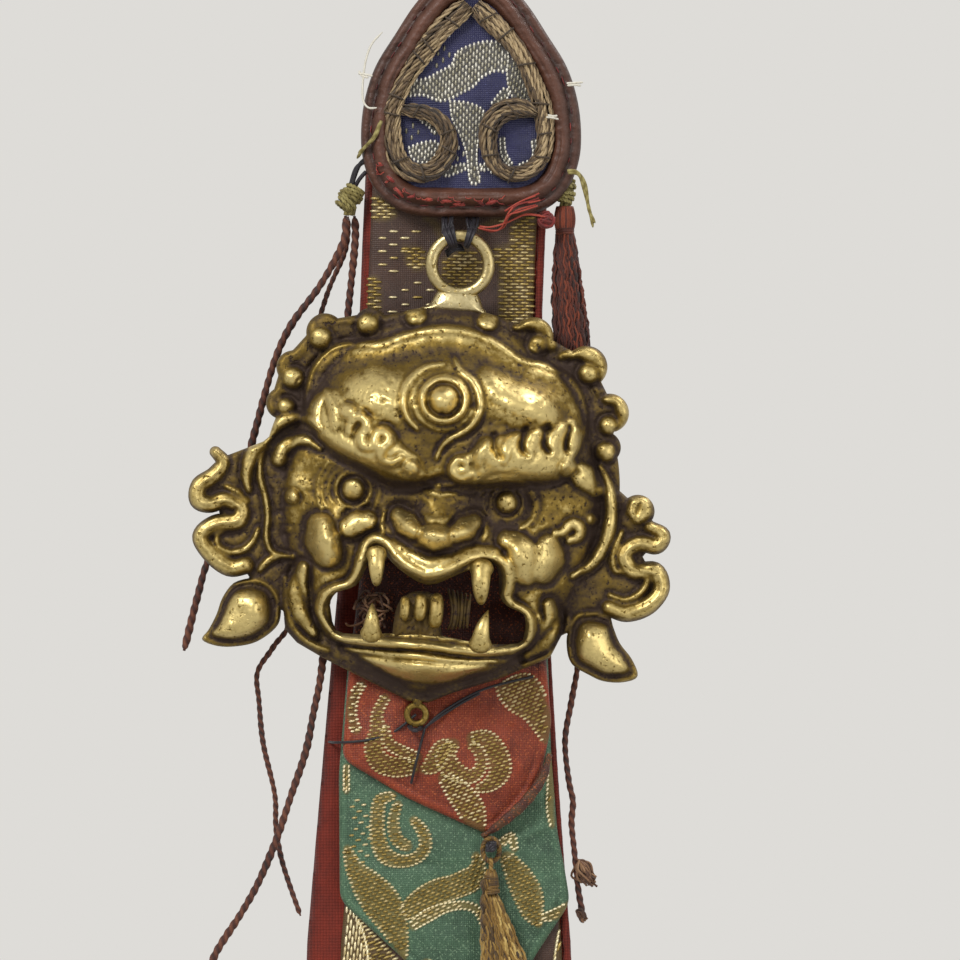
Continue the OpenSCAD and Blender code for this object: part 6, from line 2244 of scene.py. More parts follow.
@dataclass(frozen=True)
class Strip:
    """The red cloth bag with its wadding, and the brown brocade sewn on its front."""

    bag_edge: float = 4.5
    seam_side: float = 1.2
    seam_rise: float = 0.9
    piping: float = 0.5
    piping_top: float = -40.0

    figures: tuple = (
        Figure(((3.1, -50.6), (5.2, -50.2), (5.8, -47.6), (8.9, -46.6), (9.0, -61.5), (4.2, -61.5),
                (3.9, -56.4), (3.4, -53)), 0, 0.5, rim=False),
        Figure(((-9.7, -50.6), (-7.4, -50.7), (-6.1, -51.9), (-6.3, -53.8), (-8.6, -53.7)),
               0, 0.5, rim=False),
        Figure(((-15.4, -55.4), (-12.8, -55.2), (-12.9, -61.5), (-15.4, -61.5)), 0, 0.5, rim=False),
        Figure(((-4.2, -52.6), (-1.4, -50.8), (0.8, -51.6), (1.7, -54), (0.2, -56.4), (-2, -56.8),
                (-3.9, -55.4)), 0, 0.5, rim=False),
        Figure(((-13.6, -43.6), (-11.4, -44), (-10.4, -46.6), (-13.6, -46.9)), 0, 0.62, rim=False),
        Figure(((-6.2, -46.7, 0.4), (-5, -47.6, 0.5), (-4.4, -49, 0.4)), 0, 0.8, rim=False),
        Figure(((1.2, -48.2, 0.4), (3, -47.4, 0.5), (4.6, -47.1, 0.4)), 0, 0.8, rim=False),
        Figure(((-12.8, -47.6), (-7.2, -47.6), (-7.6, -50), (-10.6, -54.6), (-14.4, -54.6)),
               0, 0.66, 2.1, rim=False),
        Figure(((-10.8, -55.4), (-5.8, -55.4), (-5.8, -60.4), (-12, -60.8)), 0, 0.7, 2.3, rim=False),
        Figure(((-18.4, -142.4), (-16.4, -143.6), (-14.9, -146.6), (-14.6, -151), (-18.4, -151)),
               84, 0.85),
        Figure(((-15.6, -144.4), (-11.4, -148.9), (-8.4, -152.6), (-13.4, -152.6), (-14.4, -149)),
               20, 0.36),
        Figure(((12.6, -143.8), (13.4, -145), (13.4, -152), (11.6, -150.6)), 70, 0.6),
        Figure(((-15.6, -156, 0.9), (-13.4, -159.6, 1.5), (-10.2, -161.6, 1.7), (-7.2, -160, 1.2),
                (-7.4, -157.4, 0.8), (-9.4, -156.8, 0.7)), 4, 0.45),
        Figure(((7.4, -157.4, 0.8), (9.2, -160.4, 1.4), (7.2, -163.4, 1.8), (3.6, -165.2, 1.6),
                (1.4, -168, 1.1), (2.6, -170.6, 0.8), (4.6, -170, 0.6)), 4, 0.45),
        Figure(((-15.4, -163.4, 0.8), (-12.2, -167.2, 1.5), (-8.8, -170, 1.8), (-5.2, -171.6, 1.4),
                (-3.4, -174.6, 1.2), (-5.4, -177.2, 0.9), (-7.4, -176, 0.6)), 4, 0.45),
        Figure(((-6.6, -180.6, 0.7), (-4.6, -182.6, 1.2), (-2.8, -180.4, 0.9), (-1.2, -177.8, 0.7)),
               4, 0.55),
        Figure(((9.6, -166, 0.6), (8.2, -168.4, 0.9), (6.4, -170.4, 0.7)), 4, 0.6),
        Figure(((-15.6, -66), (-13.4, -66), (-13, -108), (-15.4, -112), (-16.6, -108)), 84, 0.5),
        Figure(((6, -66), (8, -66), (9.4, -100), (8.4, -106), (6.4, -100)), 4, 0.5),
    )

    def bag(self) -> None:
        """Builds the stuffed red bag, its wadding and the piping down its right side."""
        g = Lattice(-24, 15, -192.5, -29, 0.55)
        inset = inside(g.x, g.z, STRIP.outline(0, 0))
        pull = 0.16 * ripple(0 * g.x, g.z, 3.2, 71, 5) * np.exp(-(inset / 1.6)**2)
        front = STRIP.front + 0 * g.x + np.clip(pull, -0.3, 0.3)
        swell = 0.3 * ripple(g.x, g.z, 14, 72) + 0.1 * ripple(g.x, g.z, 4, 75)
        depth = np.clip(inset / self.bag_edge, 0, 1)
        back = STRIP.front - STRIP.thick - swell + 1.9 * (1 - np.sqrt(1 - (1 - depth)**2))
        seam = np.abs(g.x - STRIP.middle(g.z) - self.seam_side)
        pucker = 0.35 * np.abs(np.sin(1.15 * g.z + ripple(g.x, g.z, 9, 76)))
        back = back + self.seam_rise * np.exp(-(seam / 0.5)**2) + pucker * np.exp(-(seam / 2.4)**2)
        shape = Shape()
        # Painted shade along the bag's edge, where the cloth turns back.
        shade = 0.35 * np.exp(-(inset / 0.7)**2)
        g.plate(shape, inset, front, back + pull, 1.7, 0.3, shade=shade)
        bag = settle(shape, "strip_red_bag", Finish.RED_CLOTH, "banner", "red_cloth",
                     ("red_backing",))
        shape = Shape()
        h = Lattice(-24, 15, -192.5, -29, 1.1)
        h.plate(shape, inside(h.x, h.z, STRIP.outline(0, 0)) - 1.4, np.array(STRIP.front - 0.5),
                g.read(back, h.x, h.z) + 0.6, 1.6, 0.4)
        settle(shape, "strip_wadding", Finish.WADDING, "banner", "wadding", ("wadded_core",))
        shape = Shape()
        edge = STRIP.outline(0, 0.55)[:43]
        edge = evenly(edge[edge[:, 1] < self.piping_top], 0.5)
        s = travel(edge)
        line = track(edge[:, 0], 0.35 + 0.08 * np.sin(s / 2), edge[:, 1])
        shape.tube(line, self.piping + 0.05 * np.sin(s * 2.6), 10, shade=0.1)
        settle(shape, "strip_piping", Finish.RED_CLOTH, "banner", "red_cloth")

    def brocade(self) -> None:
        """Builds the brown silk on the bag's front with its metal threads."""
        g = Lattice(-22, 15, -191.5, -30, 0.5)
        inset = inside(g.x, g.z, STRIP.outline(1, 1)) - 0.3
        front = STRIP.ground + 0.1 * ripple(g.x, g.z, 9, 73) + 0.05 * ripple(g.x, g.z, 2.4, 74)
        weave = Brocade(row=0.44, step=1.5, long=1.46, wide=0.46, tall=0.26)
        silk, threads = weave.cloth(
            ("strip_brown_silk", "strip_metal_thread"), (Finish.BROWN_SILK, Finish.METAL_THREAD),
            "brown_brocade", "ground_brocade", self.figures, g, inset, front,
            np.array(STRIP.front - 0.2), 0.5, 0.5)

    def build(self) -> None:
        """Builds every piece of the strip."""
        self.bag()
        self.brocade()


@dataclass(frozen=True)
class Tongue:
    """A pointed tongue of padded silk, sewn down on the strip."""

    name: str
    node: str
    finish: Finish
    slot: str
    sides: tuple
    back: float
    front: float
    fill: float
    seed: int
    folds: tuple
    shadow_above: float
    figures: tuple
    hem: tuple = ()
    under: tuple = ()
    swell: float = 1.2
    step: float = 0.0

    def surface(self, g: Lattice, inset: np.ndarray) -> np.ndarray:
        """How far out the silk stands.

        Args:
            g: the lattice.
            inset: how far inside the tongue's edge each point is.

        Returns:
            The silk's front, with its hem, its swell and its folds.
        """
        front = self.swell * soft_step(inset, 0.5, 7) * soft_step(-g.z, 113, 120)
        front = front + 0.25 * self.swell * ripple(g.x, g.z, 8, self.seed)
        front = front + 0.06 * ripple(g.x, g.z, 2.2, self.seed + 1)
        front = front - 0.2 * np.exp(-((inset - 1.35) / 0.3)**2)
        for a, b, wide, tall in self.folds:
            middle = ((a[0] + b[0]) / 2, (a[1] + b[1]) / 2 + 0.5)
            gap, share = line_distance(g.x, g.z, spline([a, middle, b], 5))
            fade = np.sin(math.pi * np.clip(share, 0.08, 0.92))
            front = front + tall * np.exp(-(gap / wide)**2) * fade
        if self.under:
            front = front * soft_step(-inside(g.x, g.z, rounded(shares(self.under))), -0.5, 4)
        return self.front + front

    def build(self) -> None:
        """Builds the silk and its metal threads."""
        ring = rounded(shares(self.sides))
        low, high = ring.min(0) - 0.6, ring.max(0) + 0.6
        g = Lattice(low[0], high[0], low[1], high[1], 0.24)
        inset = inside(g.x, g.z, ring)
        down = self.step * soft_step(g.z, -103.6, -100)
        front = self.surface(g, inset) - down
        weave = Brocade()
        # Lighter just inside the edge.
        worn = np.clip(0.4 * np.exp(-((inset - 0.5) / 0.5)**2), 0, 1)
        # Painted shade in the hollows of the folds, and painted shadow over the top, where the mask or the
        # tongue in front covers it.
        shade = (0.25 * np.clip(0.4 - (front - blurred(front, 5)), 0, 1)
                 + 0.9 * soft_step(g.z, self.shadow_above - 3, self.shadow_above))
        silk, _ = weave.cloth(
            (self.name, self.name + "_metal_thread"), (self.finish, Finish.METAL_THREAD), self.slot,
            self.node, self.figures, g, inset, front, self.back - 0.1 - down, 1.3, 0.35, 0.3,
            worn=worn, shade=shade)
        if self.hem:
            shape = Shape()
            line = evenly(through(self.hem, 8), 0.3)
            s = travel(line)
            size = 0.75 * np.sin(math.pi * np.clip(s / s[-1], 0.06, 0.94))**0.4 + 0.05 * np.sin(3 * s)
            # The rolled edge is darkened with painted shadow where it curls away.
            shape.tube(line, size, 14, flat=0.7, shade=0.9, gold=0.3 + 0.2 * np.sin(2.2 * s))
            settle(shape, self.name + "_rolled_edge", self.finish, "banner", self.slot)


RED_TONGUE = Tongue(
    "red_tongue_silk", "red_tongue", Finish.ORANGE_SILK, "orange_brocade",
    ((0.42, -132.6), (0.71, -128.2), (0.86, -123.6), (0.97, -117), (0.95, -109.3), (0.95, -93),
     (-0.78, -93), (-0.83, -110), (-0.83, -121.9), (-0.27, -127.3)),
    2.2, 3.7, 0.35, 81,
    (((-17, -121), (-8, -125.4), 0.8, 0.3), ((9.8, -118.6), (3.4, -129), 1.0, 0.35),
     ((3, -115.8), (10, -118.9), 0.7, -0.35), ((-4.4, -116.4), (-7.6, -124.4), 0.5, -0.5),
     ((6.6, -121), (7.4, -126), 0.9, 0.4), ((9.9, -125.6), (3.2, -131.6), 0.7, 0.6)),
    -107.5,
    (
        Figure(((0.2, -118.9, 0.8), (2.2, -119.1, 1.2), (3.6, -121.2, 1.45), (4.0, -123.5, 1.4),
                (2.7, -125.2, 1.0), (0.9, -125.9, 0.5)), 16, 0.45),
        Figure(((-2.4, -119.7, 0.75), (-3.5, -121.4, 1.3), (-2.4, -123.4, 1.3), (0, -124.2, 0.9),
                (1.4, -122.8, 0.75), (1.2, -120.9, 0.7), (0, -119.8, 0.5)), 16, 0.45),
        Figure(((-6.6, -123.3, 0.5), (-5.3, -122.5, 1.2), (-4, -120.4, 1.2), (-3, -119.6, 0.7)), 16, 0.4),
        Figure(((-3.6, -124.4, 0.9), (-1.9, -126.2, 1.6), (-0.1, -128.6, 1.8), (0.7, -131, 1.3),
                (1.3, -132.6, 0.6)), 20, 0.6),
        Figure(((-15.1, -111.5, 0.5), (-16.3, -113.4, 0.65), (-16.6, -115.8, 0.65),
                (-15.9, -117.8, 0.6)), 8, 0.7),
        Figure(((-11.9, -113.4, 0.6), (-13, -115.6, 0.7), (-12.9, -118, 1.0), (-13.5, -120.2, 1.15),
                (-12.6, -122.2, 1.3), (-10.6, -123, 1.3), (-8.4, -122.8, 1.2)), 10, 0.42),
        Figure(((-11.9, -117.4, 0.45), (-11.4, -119.6, 0.7), (-9.6, -120.7, 0.75), (-7.5, -121.5, 0.65)),
               6, 0.5),
        Figure(((3.5, -111.8), (5.8, -110.4), (8, -110.1), (9.6, -111.6), (10.5, -114), (11.2, -116.4),
                (11, -118.6), (10.3, -119.8), (9.2, -118.4), (7.4, -116.2), (5.4, -115),
                (4, -113.4)), 24, 0.5),
    ),
    ((10.9, -121.2, 3.2), (9.9, -124.4, 3.9), (7.6, -127.6, 4.2), (4.8, -130.2, 4.2),
     (1.6, -132.6, 3.4)), step=1.25)
GREEN_TONGUE = Tongue(
    "green_tongue_silk", "green_tongue", Finish.GREEN_SILK, "green_brocade",
    ((0.26, -160), (0.59, -153.5), (0.76, -148.4), (0.92, -144.4), (1.02, -142), (0.99, -136),
     (0.96, -132.4), (0.95, -121.4), (0.97, -104), (-0.84, -104), (-0.85, -124), (-0.77, -141.6),
     (-0.3, -149.2), (-0.01, -154.5)),
    0.9, 2.2, 0.3, 91,
    (((-17.4, -142.4), (-9.6, -150), 0.8, 0.35), ((12, -131), (5.6, -133.6), 0.7, 0.4),
     ((-12, -137.4), (-3, -136.8), 0.7, -0.4), ((13, -139), (9, -146), 0.8, 0.3),
     ((7, -134.6), (12.4, -137.6), 1.2, 0.3)),
    -100.0,
    (
        Figure(((-10.9, -127, 0.5), (-12.6, -127.7, 0.8), (-13, -130, 0.85), (-12.9, -133, 0.95),
                (-11.9, -135.3, 1.05), (-9.6, -136.1, 0.8), (-7.4, -135.5, 0.75),
                (-6.3, -133.8, 0.75), (-6.8, -131.8, 0.7), (-8, -130.4, 0.5)), 8, 0.45),
        Figure(((-10.2, -128.2, 0.5), (-10.8, -130.6, 0.65), (-10.3, -133, 0.75),
                (-8.9, -134, 0.7)), 8, 0.45),
        Figure(((-17.2, -134.4, 0.45), (-16.2, -137, 1.1), (-14.4, -139.4, 2.1), (-12.4, -141.9, 2.5),
                (-10.8, -144.8, 1.9), (-9.8, -147.6, 1.0), (-9.4, -149.4, 0.5)), 14, 0.42),
        Figure(((-9.2, -143.4, 1.0), (-7.2, -141.8, 1.6), (-4.8, -140.4, 1.7), (-2.2, -139.6, 1.6),
                (0.2, -138.4, 1.6), (1.0, -136.6, 0.9), (0.7, -135.3, 0.5)), 26, 0.45),
        Figure(((-8, -145, 0.6), (-6, -143.6, 0.85), (-3.4, -142.5, 0.6), (-0.8, -142.2, 0.5),
                (1.0, -143, 0.5), (2.2, -145.2, 0.6), (3.6, -147.8, 0.6), (5.2, -150.4, 0.5)), 26, 0.7),
        Figure(((4.2, -133.6, 0.5), (5.6, -132.6, 0.45), (6, -134.4, 0.4)), 26, 0.8),
        Figure(((5, -135.6, 0.9), (6.6, -138.2, 1.7), (7.9, -140.8, 1.9), (8.6, -143.2, 1.4),
                (9.4, -144.8, 0.5)), 20, 0.4),
        Figure(((10, -143.9, 0.5), (11.8, -143.5, 0.75), (13, -142.7, 0.6), (13.8, -142, 0.4)), 20, 0.7),
        Figure(((11.2, -121.4, 0.4), (11.1, -125, 0.5), (11, -128.8, 0.5), (11.3, -131.2, 0.3)), 60, 0.7),
        Figure(((-17.3, -123, 0.35), (-17.3, -126.4, 0.35)), 70, 0.6),
        Figure(((-17, -127.6), (-13.9, -127.6), (-13.9, -136), (-16.6, -136.4)), 10, 0.62, 1.7),
        Figure(((-6.2, -150.4, 0.7), (-3.6, -152.6, 1.2), (-0.6, -154.2, 1.5), (2.4, -154.8, 1.1),
                (4.4, -152.8, 0.8), (6.4, -150.8, 0.5)), 14, 0.45),
        Figure(((-12, -113, 1.2), (-8, -116, 1.8), (-3, -115, 1.6), (4, -113.5, 1.2)), 10, 0.45),
    ),
    under=RED_TONGUE.sides, swell=0.5)


# Thread ties, tassels and knots


@dataclass(frozen=True)
class Ties:
    """The dark threads round the mask's ring, and those at its chin ring and on the cloth below."""

    loops: tuple = (-31, -25, -18, 11, 17)
    loop_size: float = 1.12
    seam: float = -45.4
    thick: float = 0.2
    stitches: tuple = (
        ((8.6, -110.4, 4.0), (5, -111.2, 4.45), (1.6, -112.2, 4.4), (-1.8, -113.9, 4.4),
         (-4.4, -115.6, 4.8), (-6.4, -117.5, 5.1)),
        ((-6.4, -117.5, 5.1), (-7.1, -120.2, 5.0), (-7.7, -122.6, 4.9), (-8.3, -125.2, 4.0)),
        ((-7.6, -115.6, 5.0), (-11, -118.2, 4.7), (-14.6, -119.2, 4.5), (-18.4, -119.6, 2.7),
         (-19.8, -119.7, -0.3)),
        ((1.2, -112.7, 4.3), (-1.4, -114.1, 4.45), (-3.8, -115.6, 4.6), (-6.3, -117.3, 5.1)),
    )

    def ring_tie(self) -> None:
        """Builds the threads wound round the mask's ring and sewn in above it."""
        pick = np.random.default_rng(101)
        shape = Shape()
        turn = np.linspace(0, TURN, 26)
        for number, angle in enumerate(self.loops):
            for k in range(3):
                a = math.radians(angle + 2.2 * (k - 1))
                size = self.loop_size + 0.14 * k
                reach = RINGS.radius + size * np.cos(turn)
                line = FRAME.points(reach * math.sin(a), RINGS.out + size * np.sin(turn),
                                    RINGS.up + reach * math.cos(a))
                side = (math.cos(a - FRAME.roll), 0, -math.sin(a - FRAME.roll))
                shape.tube(line, self.thick, 6, up=side, tone=pick.uniform(0.2, 0.7))
                top = FRAME.points(reach[0] * math.sin(a), 0.2, RINGS.up + reach[0] * math.cos(a))
                head = np.array([top[0] + pick.uniform(-0.4, 0.4), -1.2,
                                 self.seam - 0.5 * (number > 2) + pick.uniform(-0.4, 0.4)])
                middle = (top + head) / 2 + np.array([pick.uniform(-0.25, 0.25), -0.5, 0])
                shape.tube(spline([top, middle, head], 6), 0.19, 6, up=(1, 0.1, 0),
                           tone=pick.uniform(0.2, 0.6))
        for k in range(4):
            a = np.radians(np.linspace(-52 - 3 * k, -2 + 4 * k, 14))
            r = 2.75 - 0.22 * k
            line = FRAME.points(r * np.sin(a), -0.3 + 0.7 * np.sin(np.linspace(0, 3, 14)),
                                RINGS.up + r * np.cos(a))
            shape.tube(line, 0.17, 6, tone=pick.uniform(0.1, 0.6))
        settle(shape, "ring_tie_threads", Finish.DARK_THREAD, "banner", "dark_thread", ("ring_tie",))

    def chin_tie(self) -> None:
        """Builds the thread from the red tongue, under the chin ring's foot and back."""
        shape = Shape()
        turn = np.linspace(0, math.pi, 34)
        for k in range(2):
            wide = 0.9 + 0.12 * k
            x = RINGS.chin[0] + wide * np.cos(turn) * (1 - 0.3 * np.sin(turn))
            out = -0.6 + 3.3 * np.clip(np.sin(turn), 0, 1)**0.8
            up = -31.3 - 0.12 * k - 0.5 * np.sin(turn)
            shape.tube(FRAME.points(x, out, up), 0.24, 8, up=(0.2, 0.3, 1), tone=0.35 + 0.2 * k)
        piece = settle(shape, "chin_tie_thread", Finish.DARK_THREAD, "", "dark_thread",
                       ("chin_tie",))
        tuple(BALANCE.points((-7.6, -4.1, -117)) * MM)
        tuple(BALANCE.points((-7.6, -6.4, -117)) * MM)
        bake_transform(piece)

    def stray(self) -> None:
        """Builds the long stitches of dark thread that cross the red tongue below the mask."""
        shape = Shape()
        for stitch in self.stitches:
            shape.tube(through(stitch, 8), 0.19, 7, tone=0.2)
        settle(shape, "chin_stitch_threads", Finish.DARK_THREAD, "banner", "dark_thread")

    def build(self) -> None:
        """Builds every tie."""
        self.ring_tie()
        self.chin_tie()
        self.stray()


@dataclass(frozen=True)
class Skirt:
    """A fall of crimped strands below a bound neck."""

    top: float
    long: float
    wide: tuple
    deep: tuple
    drift: float
    count: int
    seed: int
    spread: float = 0.7
    stand: float = 0.0
    thick: float = 0.2
    shades: tuple = (0.12, 0.35, 0.5, 0.62, 0.85)
    odds: tuple = (0.2, 0.25, 0.25, 0.2, 0.1)

    def build(self, shape: Shape, x: float, out: float) -> None:
        """Adds the strands.

        Args:
            shape: what they are added to.
            x: the neck's middle.
            out: how far out the neck's middle is.
        """
        pick = np.random.default_rng(self.seed)
        t = np.linspace(0, 1, 22)
        wide, deep = (s[0] + (s[1] - s[0]) * t**self.spread for s in (self.wide, self.deep))
        locks = pick.uniform(0, TURN, 14)
        for number in range(self.count):
            a = pick.uniform(0, TURN)
            gaps = (locks - a + math.pi) % TURN - math.pi
            a = a + 0.35 * gaps[np.argmin(np.abs(gaps))] * np.sin(math.pi * t)
            r = math.sqrt(pick.uniform(0.25, 1))
            sway = 0.2 * np.sin(TURN * t * self.long / pick.uniform(2.6, 4.2) + pick.uniform(0, 6))
            sway = sway * np.clip(5 * t, 0, 1)
            roam = 0.3 * np.sin(TURN * t * pick.uniform(0.5, 1.3) + pick.uniform(0, 6)) * t
            end = self.long * pick.uniform(0.86, 1.0)
            line = track(x + self.drift * t**1.2 + r * wide * np.cos(a) + sway + roam,
                         out + self.stand * t**0.7 + r * deep * np.sin(a) + 0.6 * sway,
                         self.top - end * t)
            # Strands deep in the skirt are darker: painted shade; the rest of the tone varies at random.
            tone = pick.choice(self.shades, p=self.odds) + 0.22 * (r - 0.8) + 0.1 * np.sin(9 * t + number)
            size = self.thick * pick.uniform(0.75, 1.2) * np.clip((1.02 - t) * 8, 0.4, 1)
            shape.tube(line, size, 4, up=(0.1, 1, 0.05), tone=tone)


@dataclass(frozen=True)
class Tassel:
    """One gold tassel: its sewn peg, its cord loop, its bound head and its skirt."""

    name: str
    x: float
    z: float
    cloth: float
    drift: float
    seed: int
    hang: float = 2.0
    peg_radius: float = 0.27
    loop_radius: float = 1.6
    link_radius: float = 0.85
    head_long: float = 2.7
    skirt_long: float = 18.0

    def peg(self) -> None:
        """Builds the sewn stub that the loop hangs on."""
        shape = Shape()
        t = np.linspace(0, 1, 12)
        for k in range(5):
            turn = TURN * k / 5 + 2.4 * t
            line = track(self.x + self.peg_radius * np.cos(turn), self.cloth - 0.4 + 3.6 * t,
                         self.z + self.peg_radius * np.sin(turn))
            shape.tube(line, 0.25, 6, up=(0.3, 0, 1), tone=0.3 + 0.12 * k)
        a = np.linspace(0, 2 * TURN, 60)
        for k in range(3):
            line = track(self.x + 0.55 * np.cos(a + k), self.cloth + 3.4 - 0.4 * np.sin(1.5 * a + 2 * k),
                         self.z + 0.55 * np.sin(a + 2 * k))
            shape.tube(line, 0.24, 6, up=(0.3, 0.5, 0.7), tone=0.25 + 0.2 * k)
        settle(shape, f"{self.name}_peg_threads", Finish.DARK_THREAD, "banner", "dark_thread",
               (f"{self.name}_peg",))

    def loop(self) -> None:
        """Builds the twisted cord loop round the peg."""
        shape = Shape()
        a = np.linspace(0, TURN, 73)
        for k in range(3):
            turn = 7 * a + TURN * k / 3
            r = self.loop_radius + 0.18 * np.cos(turn)
            line = track(self.x + (r - 0.45) * np.sin(a), self.cloth + self.hang + 0.18 * np.sin(turn),
                         self.z - 0.6 + r * np.cos(a))
            shape.tube(line, 0.21, 6, tone=0.1 + 0.16 * k)
        settle(shape, f"{self.name}_loop_cord", Finish.GOLD_YARN, f"{self.name}_eye", "gold_yarn",
               (f"{self.name}_loop",))

    def head(self) -> None:
        """Builds the link, the bound head and the skirt."""
        pick = np.random.default_rng(self.seed)
        shape = Shape()
        x, out, top = self.x, self.cloth + self.hang, self.z - 3.4
        a = np.linspace(0, TURN, 49)
        for k in range(2):
            turn = 5 * a + math.pi * k
            r = self.link_radius + 0.14 * np.cos(turn)
            line = track(x + 0.14 * np.sin(turn), out + r * np.sin(a), self.z - 2.8 + r * np.cos(a))
            shape.tube(line, 0.2, 6, up=(1, 0, 0), tone=0.4 + 0.2 * k)
        t = np.linspace(0, 1, 14)
        r = 0.3 + 0.62 * np.sin(math.pi * (0.08 + 0.6 * t))
        for k in range(46):
            a = TURN * k / 46 + pick.uniform(-0.05, 0.05)
            line = track(x + r * np.cos(a), out + r * np.sin(a), top + 0.1 - self.head_long * t)
            shape.tube(line, 0.15, 5, up=(math.sin(a), math.cos(a), 0),
                       tone=pick.uniform(0.15, 0.6))
        for k in range(9):
            tilt = pick.uniform(-0.2, 0.2)
            shape.hoop((x, -out, top - 0.9 - 0.28 * k), ((1, 0, tilt), (0, -1, 0.04)),
                       0.86 + 0.03 * k, 0.17, 30, 7, tone=pick.uniform(0.05, 0.4))
        Skirt(top - 3.3, self.skirt_long, (0.75, 3.75), (0.6, 1.15), self.drift, 230, self.seed,
              stand=1.0).build(shape, x, out)
        t = np.linspace(0, 1, 40)
        for k in range(7):
            turn = TURN * pick.uniform(2.4, 3.6) * t + pick.uniform(0, 6)
            side = 0.35 * self.drift * t - 1.0 + 0.12 * k - 1.3 * t**0.6
            line = track(x + side + 0.2 * np.sin(turn), out + 0.9 + 0.2 * np.cos(turn), top - 1.2 - 8.4 * t)
            shape.tube(line, 0.16, 5, up=(0.2, 0.3, 0.2), tone=0.05 + 0.07 * k)
        settle(shape, f"{self.name}_tassel_yarn", Finish.GOLD_YARN, f"{self.name}_skirt",
               "gold_yarn", (f"{self.name}_tassel",))

    def build(self) -> None:
        """Builds every piece of the tassel."""
        self.peg()
        self.loop()
        self.head()


TASSELS = (
    Tassel("centre", 2.765, -133.8, 2.2, 3.6, 111),
    Tassel("green", 0.31, -161.2, 0.9, 0.6, 112),
    Tassel("foot", -4.5, -188.2, 0.9, 0.0, 113),
)


